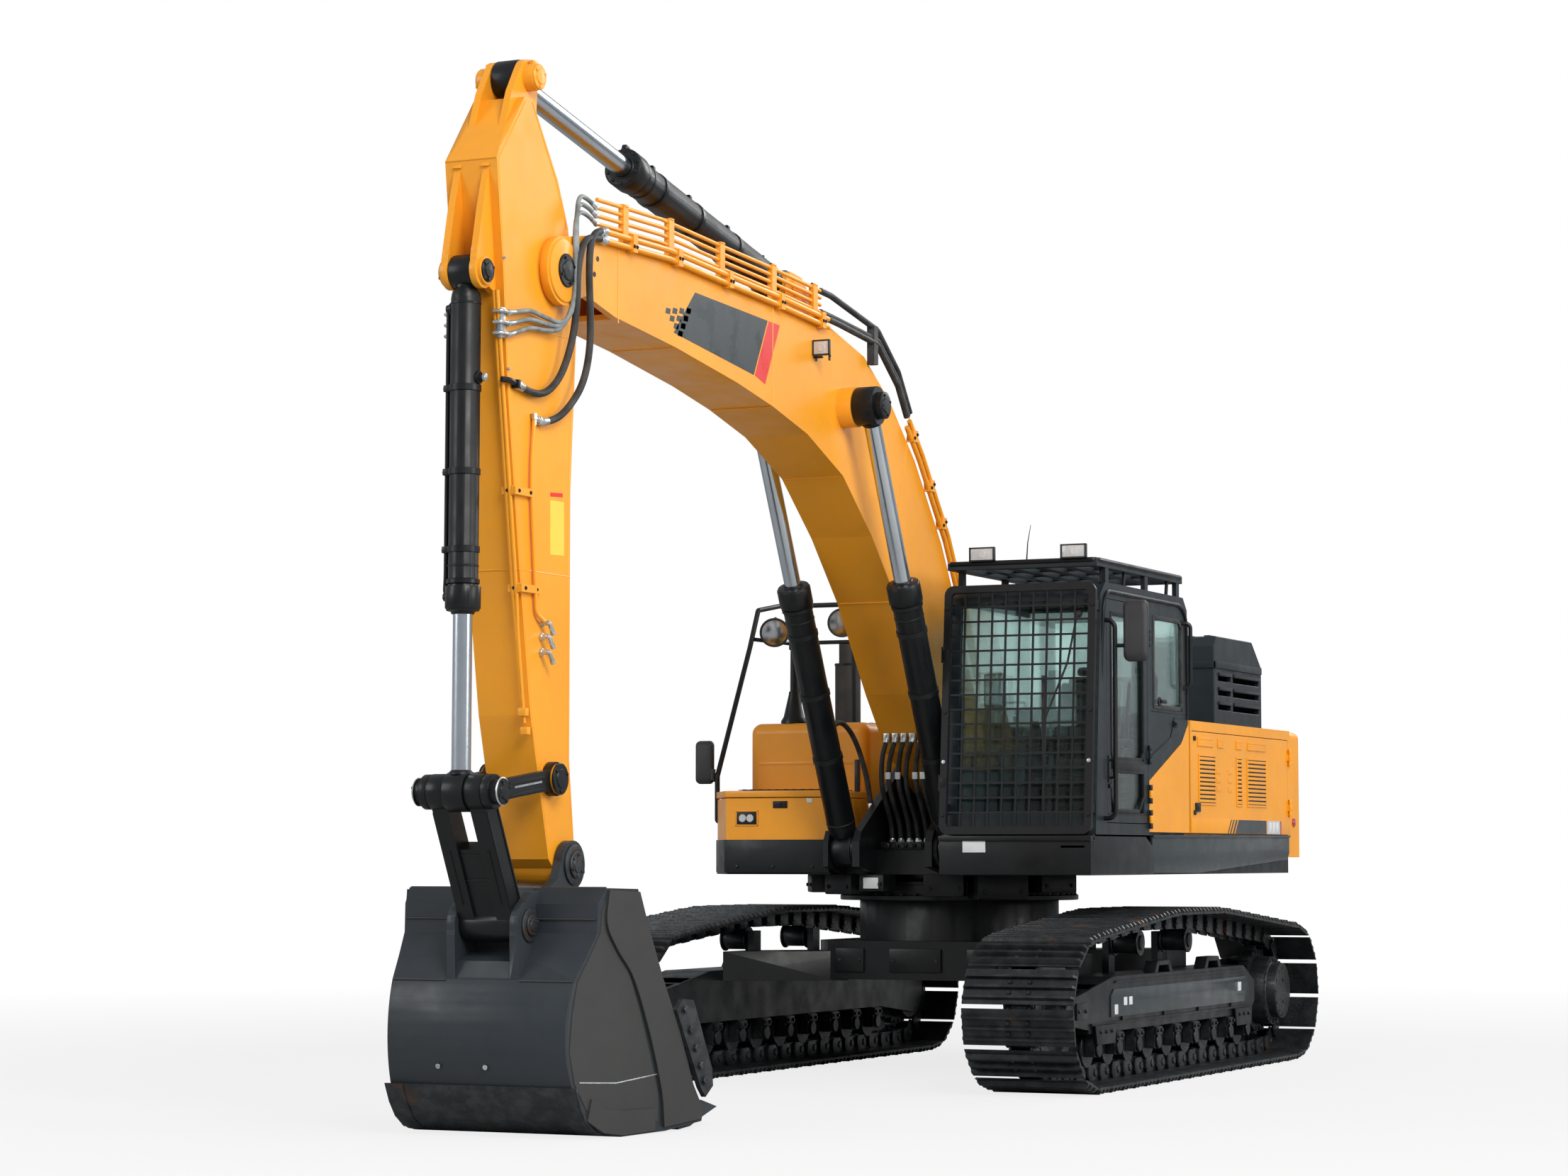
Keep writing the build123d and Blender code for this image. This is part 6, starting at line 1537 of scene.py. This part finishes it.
cylinder_trim("boom_cylinder", CYLINDER_FOOT, CYLINDER_HEAD, (-CYLINDER_X, CYLINDER_X),
              outer=0.092, length=1.825, neck=0.175, rod_radius=0.052, foot_eye=(0.065, 0.105),
              head_eye=(0.065, 0.115), port=(0, 0.893, 0.45),
              bodies=("boom_cylinder_barrels", "boom_cylinder_rods"))
cylinder_trim("arm_cylinder", ARM_FOOT, ARM_HEAD, (0,),
              outer=0.098, length=2.06, neck=0.17, rod_radius=0.057, foot_eye=(0.062, 0.105),
              head_eye=(0.062, 0.096), port=(0, -0.18, 0.98),
              bodies=("arm_cylinder_barrel", "arm_cylinder_rod"), lip=0.35)
cylinder_trim("bucket_cylinder", BUCKET_FOOT, LINK_PIN, (0,),
              outer=0.076, length=1.70, neck=0.135, rod_radius=0.049, foot_eye=(0.057, 0.084),
              head_eye=(0.057, 0.098), port=(-1, 0, 0),
              bodies=("bucket_cylinder_barrel", "bucket_cylinder_rod"))


def make_boom_rod_caps():
    """The round black caps over the boom cylinders' upper pins, and the lugs on the arm's cylinder."""
    caps = Shape()
    for side in SIDES:
        caps.lathe(beside(CYLINDER_HEAD, side * 0.4765), (side, 0, 0),
                   [(0, 0.083), (0.006, 0.083), (0.010, 0.076), (0.010, 0.05), (0.016, 0.045), (0.017, 0)],
                   36)
        caps.lathe(beside(CYLINDER_HEAD, side * 0.4365), (side, 0, 0), [(0, 0.083), (0.041, 0.083)], 36)
        caps.bolts(beside(CYLINDER_HEAD, side * 0.4865), (side, 0, 0), 0.063, 4, 0.008, 0.4)
    caps.piece("boom_rod_caps", "boom_cylinder_rods", "paint_black")
    lugs = Shape()
    way, down = pin_line(ARM_FOOT, ARM_HEAD)
    for s, size in ((1.98, 0.05), (1.02, 0.03)):
        centre = ARM_FOOT + way * s - down * 0.098
        corners = [centre + way * a - down * b for a, b in ((-size, -0.002), (size, -0.002),
                                                            (size * 0.6, size * 1.2),
                                                            (-size * 0.2, size * 1.2))]
        lugs.side([(point.y, point.z) for point in corners], -0.045, -0.018, 0.004)
    lugs.piece("arm_cylinder_lugs", "arm_cylinder_barrel", "paint_black")


make_boom_rod_caps()


# ---------------------------------------------------------------- linkage and bucket
def bucket_half(y):
    """The bucket's half width here, as its sides open towards the lip."""
    return 0.51 + 0.2 * (y + 6.48)


def make_linkage():
    """Pin caps and ribs on the rockers, with painted highlights in bright zinc: a ring round each cap's edge
    and a strip along each rocker; collars, ribs and welds on the link.
    """
    black, bright = Shape(), Shape()
    way, up = pin_line(ROCKER_PIN, LINK_PIN)
    for side in SIDES:
        x = side * 0.196
        pin_cap(black, LINK_PIN, side, 0.236, 0.066, 4)
        # Painted highlight: a bright zinc ring round the edge of the pin cap.
        bright.lathe(beside(LINK_PIN, side * 0.2362), (side, 0, 0),
                     [(0, 0.0715), (0.004, 0.072), (0.007, 0.068), (0.007, 0.064)], 36)
        for offset in (-0.030, 0.030):
            black.strip(ROCKER_PIN + way * 0.13 + up * offset, LINK_PIN - way * 0.14 + up * offset,
                        up * 0.014, x - side * 0.002, x + side * 0.007, 0.002)
        # Painted highlight: a thin bright zinc strip along the rocker, for the light on its raised face.
        bright.strip(ROCKER_PIN + way * 0.16 - up * 0.006, LINK_PIN - way * 0.20 - up * 0.006, up * 0.010,
                     x - side * 0.002, x + side * 0.0012)
        for centre in (ROCKER_PIN, LINK_PIN):
            black.ring(beside(centre, side * 0.1965), ACROSS, 0.072, 0.086, 0.006, 40)
    black.piece("rocker_trim", "rocker_links", "paint_black")
    bright.piece("rocker_painted_highlights", "rocker_links", "zinc")
    link = Shape()
    way, up = pin_line(LINK_PIN, LINK_END)
    for side in SIDES:
        for centre, radius in ((LINK_PIN, 0.086), (LINK_END, 0.080)):
            link.ring(beside(centre, side * 0.1535), ACROSS, 0.060, radius, 0.005, 40)
        for offset in (-0.058, 0.046):
            link.strip(LINK_PIN + way * 0.09 + up * offset, LINK_END - way * 0.08 + up * offset, up * 0.012,
                       side * 0.151, side * 0.157, 0.002)
    for s in (0.33, 0.47):
        place = LINK_PIN + way * s - up * 0.046
        link.cross_weld(0.06, place.y, place.z, 0.006)
    bead = [LINK_PIN + way * s - up * 0.062 for s in (0.30, 0.60)]
    for side in SIDES:
        link.tube([beside(place, side * 0.110) for place in bead], 0.005, 6)
    link.piece("link_trim", "bucket_link", "paint_black")


def on_side(side, out, points):
    """Places this far out from the bucket's side, at (y, z) points."""
    return [(side * (bucket_half(y) + out), y, z) for y, z in points]


def side_plate(shape, outline, thick, side, sink=0.002):
    """A plate laid on the bucket's tapering side."""
    shape.skin([on_side(side, out, outline) for out in (-sink, thick)])


def make_bucket():
    """Edge plates, cutters, wear strips, adapters, tooth pins, welds, collars and pin caps of the bucket, and
    thin sheets of a lighter paint over its sides, which is painted light.
    """
    plate, dark, bright, cheek = Shape(), Shape(), Shape(), Shape()
    corners = [(0, -6.165, 1.236), (0, -6.185, 1.07), (0, -6.105, 0.94), (0, -5.975, 0.79), (0, -5.850, 0.52),
               (0, -5.750, 0.22), (0, -5.725, 0.03)]
    curve = [(point.y, point.z) for point in smooth_line(corners, 7)]
    for side in SIDES:
        side_plate(plate, curve + [(-5.42, 0.055), (-5.408, 0.10), (-5.49, 0.232), (-5.608, 0.52),
                                   (-5.738, 0.778), (-5.86, 1.05), (-5.928, 1.225)], 0.016, side)
        side_plate(dark, [(-5.655, 0.62), (-5.600, 0.675), (-5.515, 0.665), (-5.360, 0.31), (-5.352, 0.22),
                          (-5.415, 0.165), (-5.455, 0.215)], 0.034, side, -0.008)
        for y, z in ((-5.592, 0.62), (-5.545, 0.515), (-5.502, 0.42), (-5.462, 0.33), (-5.43, 0.25)):
            dark.bolt((side * (bucket_half(y) + 0.033), y, z), (side, -0.2, 0), 0.021)
        bright.tube(on_side(side, 0.003, ((-6.385, 0.285), (-6.10, 0.27), (-5.76, 0.30))), 0.0038, 6)
        plate.tube(on_side(side, 0.015, curve), 0.0045, 6)
        rim = [(-6.425, 0.772), (-6.462, 0.66), (-6.482, 0.50), (-6.470, 0.36), (-6.425, 0.22),
               (-6.345, 0.115), (-6.22, 0.052)]
        plate.tube([(side * (bucket_half(y) - 0.001), y + 0.012, z + 0.006) for y, z in rim], 0.0055, 6)
        plate.skin([[(side * (bucket_half(y) + out), y + dy, z + dz) for y, z, dy,
                     dz in ((-6.325, 0.105, -0.010, -0.012), (-6.20, 0.038, -0.004, -0.010),
                            (-6.06, 0.022, 0, -0.014), (-5.80, 0.03, 0, -0.014), (-5.80, 0.13, 0, 0),
                            (-6.05, 0.13, 0, 0), (-6.20, 0.15, 0, 0), (-6.30, 0.20, 0, 0))]
                    for out in (-0.002, 0.014)])
    back = [(-6.452, 0.262), (-6.404, 0.165), (-6.343, 0.088), (-6.270, 0.044), (-6.214, 0.020),
            (-6.10, 0.006), (-6.09, 0.012), (-6.195, 0.034), (-6.26, 0.062), (-6.328, 0.103), (-6.388, 0.172),
            (-6.436, 0.262)]
    dark.side(back, -0.548, 0.548, 0.002)
    for x in (-0.49, 0.49):
        dark.side([(y - 0.004, z - 0.001) for y, z in back], x - 0.05, x + 0.05, 0.002)
    # Painted light: a thin sheet over each side in the lighter side paint, for the light the sides catch.
    for side in SIDES:
        side_plate(cheek, [(-6.46, 0.44), (-6.44, 0.62), (-6.40, 0.78), (-6.31, 0.90), (-6.225, 1.02),
                           (-6.21, 1.14), (-6.16, 1.21), (-6.12, 1.10), (-5.90, 0.60), (-5.76, 0.20),
                           (-5.76, 0.06), (-6.05, 0.04), (-6.20, 0.07), (-6.33, 0.15), (-6.42, 0.28)], 0.003,
                   side)
    for x in (-0.22, 0.05):
        bright.lathe((x, -6.4775, 0.355), (0, -1, -0.25), [(0, 0.014), (0.003, 0.013), (0.004, 0.009)], 16)
    for side in SIDES:
        for y, z, radius in ((-6.168, 1.243, 0.009), (-6.249, 1.09, 0.005), (-6.426, 0.785, 0.005)):
            plate.tube([(side * 0.212, y, z), (side * (bucket_half(y) - 0.008), y, z)], radius, 8)
    for side in SIDES:
        for centre, radius in ((BUCKET_PIN, 0.105), (LINK_END, 0.085)):
            dark.lathe(beside(centre, side * 0.204), (side, 0, 0),
                       [(0, radius), (0.010, radius), (0.014, radius - 0.006), (0.014, radius - 0.03)], 40)
        pin_cap(dark, BUCKET_PIN, side, 0.218, 0.070, 6)
        pin_cap(dark, LINK_END, side, 0.218, 0.055, 3)
        line = [(side * 0.182, y, z) for y, z in ((-6.395, 0.96), (-6.36, 0.90), (-6.29, 0.86), (-6.21, 0.90),
                                                  (-6.17, 1.02))]
        bright.tube(smooth_line(line, 5), 0.0045, 6)
    count, pitch = 5, 0.3                   # teeth and the distance between them
    adapter = [(-5.60, 0.064), (-5.50, 0.052), (-5.36, 0.044), (-5.32, 0.052), (-5.30, 0.089), (-5.33, 0.122),
               (-5.42, 0.129), (-5.56, 0.102), (-5.66, 0.076)]
    for i in range(count):
        x = -0.6 + pitch * i
        dark.side(adapter, x - 0.052, x + 0.052, 0.006)
        dark.rod((x - 0.060, -5.345, 0.082), (x + 0.060, -5.345, 0.082), 0.016)
        dark.block((x - 0.030, -5.47, 0.118), (x + 0.030, -5.40, 0.136), 0.006)
    for i in range(count - 1):
        x = -0.45 + pitch * i
        dark.side([(-5.56, 0.052), (-5.40, 0.036), (-5.372, 0.050), (-5.372, 0.082), (-5.41, 0.100),
                   (-5.56, 0.094)], x - 0.088, x + 0.088, 0.006)
    # The edge plates and the side sheets take the lighter side paint, which is painted light for the lit
    # sides.
    plate.piece("bucket_plates", "bucket", "bucket_side")
    cheek.piece("bucket_cheeks_painted_light", "bucket", "bucket_side")
    dark.piece("bucket_cutters", "bucket", "bucket_edge")
    bright.piece("bucket_welds", "bucket", "zinc")


make_linkage()
make_bucket()


# ---------------------------------------------------------------- hydraulic manifold and hoses
def nurbs_line(points):
    """The line of a NURBS curve along these points, as it is drawn."""
    data = bpy.data.curves.new("line", "CURVE")
    data.dimensions = "3D"
    data.resolution_u = 10
    spline = data.splines.new("NURBS")
    spline.points.add(len(points) - 1)
    for place, point in zip(spline.points, points):
        place.co = (*point, 1)
    spline.order_u = 3
    spline.use_endpoint_u = True
    drawn = bpy.data.objects.new("line", data)
    bpy.context.scene.collection.objects.link(drawn)
    mesh = as_drawn(drawn)
    line = [vertex.co.copy() for vertex in mesh.vertices]
    bpy.data.objects.remove(drawn)
    return line


STICK_PITCH = 0.056                         # between the hose ends in front of the arm
PORTS = [(-0.15 + 0.06 * i, 0.02 * (i % 2)) for i in range(6)]      # the manifold's: x, and the hose's reach


def hose(name, points, radius, material="hose_rubber"):
    """A hose along a smooth line through the points, with its crimped ends."""
    line = nurbs_line(points)
    fitting = Shape()
    for end, following in ((line[0], line[3]), (line[-1], line[-4])):
        way = (following - end).normalized()
        profile = ((0, 0.9), (0.004, 1.35), (0.014, 1.35), (0.016, 1.15), (0.060, 1.15), (0.064, 1.0))
        fitting.lathe(end - way * 0.012, way, [(place, radius * share) for place, share in profile], 14)
    ends = fitting.piece(name + "_fittings", "", "zinc")
    line[0]
    line[-1]
    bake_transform(ends)
    tube = Shape().tube(line, radius, 12).piece(name, "", material)
    length = sum((b - a).length for a, b in zip(line, line[1:]))
    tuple(line[0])
    line[0]
    line[-1]
    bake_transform(tube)
    return tube


def make_manifold():
    """The valve block before the boom's foot, its pipes, the ports on the boom and the hoses' tags."""
    block, zinc = Shape(), Shape()
    block.block((-0.20, -0.87, 1.448), (0.20, -0.68, 1.50), 0.010)
    for x, _ in PORTS:
        block.lathe((x, -0.866, 1.475), AHEAD, [(0, 0.020), (0.02, 0.020), (0.024, 0.013), (0.04, 0.013)], 16)
        zinc.lathe((x, -0.78, 1.498), UP, [(0, 0.024), (0.016, 0.024), (0.018, 0.020)], 6)
    for side in SIDES:
        block.pipe([(side * 0.12, -0.68, 1.475), (side * 0.12, -0.45, 1.478), (side * 0.16, -0.30, 1.478),
                    (side * 0.16, -0.05, 1.475)], 0.08, 0.018)
    block.piece("manifold", "upperstructure", "paint_black")
    zinc.piece("manifold_fittings", "upperstructure", "zinc")
    ports, tags = Shape(), Shape()
    for i, (x, reach) in enumerate(PORTS):
        ports.block((x - 0.020, -0.885, 2.14), (x + 0.020, -0.845, 2.20), 0.004)
        if i % 3:
            tags.block((x - 0.017, -0.986 - reach, 1.90), (x + 0.017, -0.968 - reach, 1.945), 0.003)
    ports.piece("boom_foot_ports", "boom", "zinc")
    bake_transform(tags.piece("hose_tags", "", "wear_white"))


make_manifold()
for side, word in ((-1, "right"), (1, "left")):
    hose("boom_cylinder_hose_" + word, [(side * 0.290, -0.80, 1.70), (side * 0.297, -0.82, 1.83),
                                        (side * 0.32, -0.87, 2.02), (side * 0.345, -0.96, 2.18),
                                        (side * 0.365, -1.08, 2.265), (side * CYLINDER_X, -1.19, 2.26),
                                        (side * CYLINDER_X, -1.285, 2.212)], 0.017)
    for i, height in enumerate((0.075, 0.118, 0.161)):
        drop, back = STICK_PITCH * (2 - i), 0.012 * i
        hose(f"stick_hose_{word}_{i}", [(side * 0.178, -5.57, 4.671 + height),
                                        (side * 0.180, -5.66, 4.700 + height),
                                        (side * 0.192, -5.80, 4.70 + height),
                                        (side * 0.218, -5.885 + back, 4.66),
                                        (side * 0.230, -5.895 + back, 4.45),
                                        (side * 0.226, -5.90 + back, 4.27),
                                        (side * 0.196, -5.98 + back, 4.15 - drop * 0.3),
                                        (side * 0.180, -6.13, 4.165 - drop * 0.6),
                                        (side * 0.176, -6.28, 4.185 - drop * 0.8),
                                        (side * 0.172, -6.39, 4.16 - drop * 0.9),
                                        (side * 0.168, -6.485, 4.144 - drop)], 0.012,
             "grey_hose")
for i, (x, reach) in enumerate(PORTS):
    hose(f"boom_foot_hose_{i}", [(x, -0.78, 1.474), (x, -0.785, 1.60), (x, -0.88 - reach, 1.74),
                                 (x, -0.965 - reach, 1.86), (x, -0.965 - reach, 1.99), (x, -0.93, 2.09),
                                 (x, -0.868, 2.176)], 0.016)
hose("arm_hose", [(0.231, -5.57, 4.697), (0.236, -5.66, 4.692), (0.244, -5.755, 4.62), (0.246, -5.775, 4.45),
                  (0.245, -5.755, 4.25), (0.240, -5.745, 4.05), (0.222, -5.785, 3.86), (0.195, -5.90, 3.72),
                  (0.178, -6.03, 3.64), (0.170, -6.14, 3.625)], 0.019)
hose("bucket_hose", [(0.231, -5.57, 4.650), (0.234, -5.66, 4.652), (0.240, -5.82, 4.62),
                     (0.238, -5.885, 4.46), (0.234, -5.88, 4.26), (0.215, -5.90, 4.06), (0.196, -5.98, 3.88),
                     (0.182, -6.11, 3.775), (0.176, -6.26, 3.755), (0.172, -6.40, 3.785)], 0.019)


def make_hose_ends():
    """Where the hoses end on the boom's pipes, the arm and the bucket's cylinder."""
    zinc, dark, barrel = Shape(), Shape(), Shape()
    dark.block((0.150, -6.43, 3.765), (0.192, -6.395, 3.81), 0.004)
    dark.pipe([(0.172, -6.41, 3.788), (0.172, -6.49, 3.80), (0.150, -6.53, 3.80)], 0.03, 0.015)
    zinc.lathe((0.168, -6.145, 3.625), (0, -1, 0.2), [(0, 0.022), (0.03, 0.022), (0.032, 0.016),
                                                      (0.05, 0.016)], 6)
    zinc.pipe([(0.167, -6.165, 3.63), (0.167, -6.215, 3.635), (0.167, -6.217, 3.60)], 0.02, 0.013)
    for side in SIDES:
        for i in range(3):
            z = 4.144 - STICK_PITCH * (2 - i)
            zinc.pipe([(side * 0.168, -6.480, z), (side * 0.166, -6.56, z), (side * 0.120, -6.565, z)], 0.02,
                      0.009)
        zinc.block((side * 0.140 - 0.016, -6.548, 4.01), (side * 0.140 + 0.016, -6.50, 4.165), 0.003)
    zinc.piece("hose_elbows", "arm", "zinc")
    dark.piece("hose_bulkhead", "arm", "paint_black")
    barrel.lathe((0.070, -6.634, 3.80), ACROSS, [(0, 0.034), (0.014, 0.033), (0.016, 0.022), (0.035, 0.020)],
                 16)
    barrel.piece("bucket_cylinder_port", "bucket_cylinder_barrel", "paint_black")
    tips = Shape()
    tips.lathe((0.104, -6.634, 3.80), ACROSS, [(0, 0.020), (0.016, 0.020), (0.018, 0.015)], 6)
    tips.piece("bucket_cylinder_tip", "bucket_cylinder_barrel", "zinc")


make_hose_ends()


# ---------------------------------------------------------------- camera, floor and light
def make_camera():
    """At the photograph's height and angle, a long lens a little below the cab's floor."""
    data = bpy.data.cameras.new("camera")
    data.sensor_width, data.lens = 36.0, 82.1
    data.clip_end = 500.0
    camera = bpy.data.objects.new("camera", data)
    camera.location = (8.894, -22.176, 1.399)
    camera.rotation_euler = (math.radians(94.31), 0, math.radians(24.65))
    bpy.context.scene.collection.objects.link(camera)
    bpy.context.scene.camera = camera


def seen_rays(tree):
    """1 where the camera sees a surface straight or through glass."""
    light_path = tree.nodes.new("ShaderNodeLightPath")
    seen = tree.nodes.new("ShaderNodeMath")
    seen.operation = "MAXIMUM"
    tree.links.new(light_path.outputs["Is Camera Ray"], seen.inputs[0])
    tree.links.new(light_path.outputs["Is Transmission Ray"], seen.inputs[1])
    return seen.outputs[0]


def make_world(strength):
    """White to the eye, and a softer light on the machine."""
    world = bpy.data.worlds.new("world")
    bpy.context.scene.world = world
    world.use_nodes = True
    tree = world.node_tree
    tree.nodes["Background"].inputs["Color"].default_value = (0.93, 0.96, 1.0, 1)
    tree.nodes["Background"].inputs["Strength"].default_value = strength
    white = tree.nodes.new("ShaderNodeBackground")
    white.inputs["Color"].default_value = (1, 1, 1, 1)
    white.inputs["Strength"].default_value = 1.0
    mix = tree.nodes.new("ShaderNodeMixShader")
    tree.links.new(seen_rays(tree), mix.inputs["Fac"])
    tree.links.new(tree.nodes["Background"].outputs[0], mix.inputs[1])
    tree.links.new(white.outputs[0], mix.inputs[2])
    tree.links.new(mix.outputs[0], tree.nodes["World Output"].inputs["Surface"])


def make_floor():
    """A pale floor that keeps a faint shadow under the machine."""
    floor = Shape().block((-120, -120, cad_low.z - 0.05), (120, 120, cad_low.z - 0.001))
    data = bpy.data.meshes.new("floor")
    floor.mesh.to_mesh(data)
    piece = bpy.data.objects.new("floor", data)
    bpy.context.scene.collection.objects.link(piece)
    material, main = shader("floor", (0.45, 0.45, 0.45), 0.9)
    tree = material.node_tree
    pale = node(material, "ShaderNodeEmission", Color=(1, 1, 1, 1), Strength=1.0)
    place = node(material, "ShaderNodeTexCoord")
    reach = node(material, "ShaderNodeVectorMath", i0=place.outputs["Object"])
    reach.operation = "LENGTH"
    fade = node(material, "ShaderNodeMapRange", i0=reach.outputs["Value"], i1=5.0, i2=16.0, i3=0.80, i4=1.0)
    share = node(material, "ShaderNodeMath", i0=seen_rays(tree), i1=fade.outputs["Result"])
    share.operation = "MULTIPLY"
    mix = tree.nodes.new("ShaderNodeMixShader")
    tree.links.new(share.outputs[0], mix.inputs["Fac"])
    tree.links.new(main.outputs[0], mix.inputs[1])
    tree.links.new(pale.outputs[0], mix.inputs[2])
    tree.links.new(mix.outputs[0], tree.nodes["Material Output"].inputs["Surface"])
    data.materials.append(material)


def make_lamp(name, place, target, size, power, tint=(1, 1, 1)):
    """A soft square lamp that faces a point."""
    data = bpy.data.lights.new(name, "AREA")
    data.shape, data.size, data.energy, data.color = "SQUARE", size, power, tint
    lamp = bpy.data.objects.new(name, data)
    lamp.location = place
    lamp.rotation_euler = (Vector(target) - Vector(place)).to_track_quat("-Z", "Y").to_euler()
    bpy.context.scene.collection.objects.link(lamp)


middle = (cad_low + cad_high) / 2
make_camera()
make_world(strength=0.45)
make_floor()
WARM = (1.0, 0.98, 0.95)
make_lamp("key", (14, -16, 15), middle, size=9, power=3300, tint=WARM)
make_lamp("side", (-14, -18, 9), middle, size=9, power=1100)
make_lamp("flank", (19, -3, 8), middle, size=8, power=1500, tint=WARM)
make_lamp("rear", (6, 16, 13), middle, size=9, power=1400)
bpy.context.scene.view_settings.view_transform = "Standard"
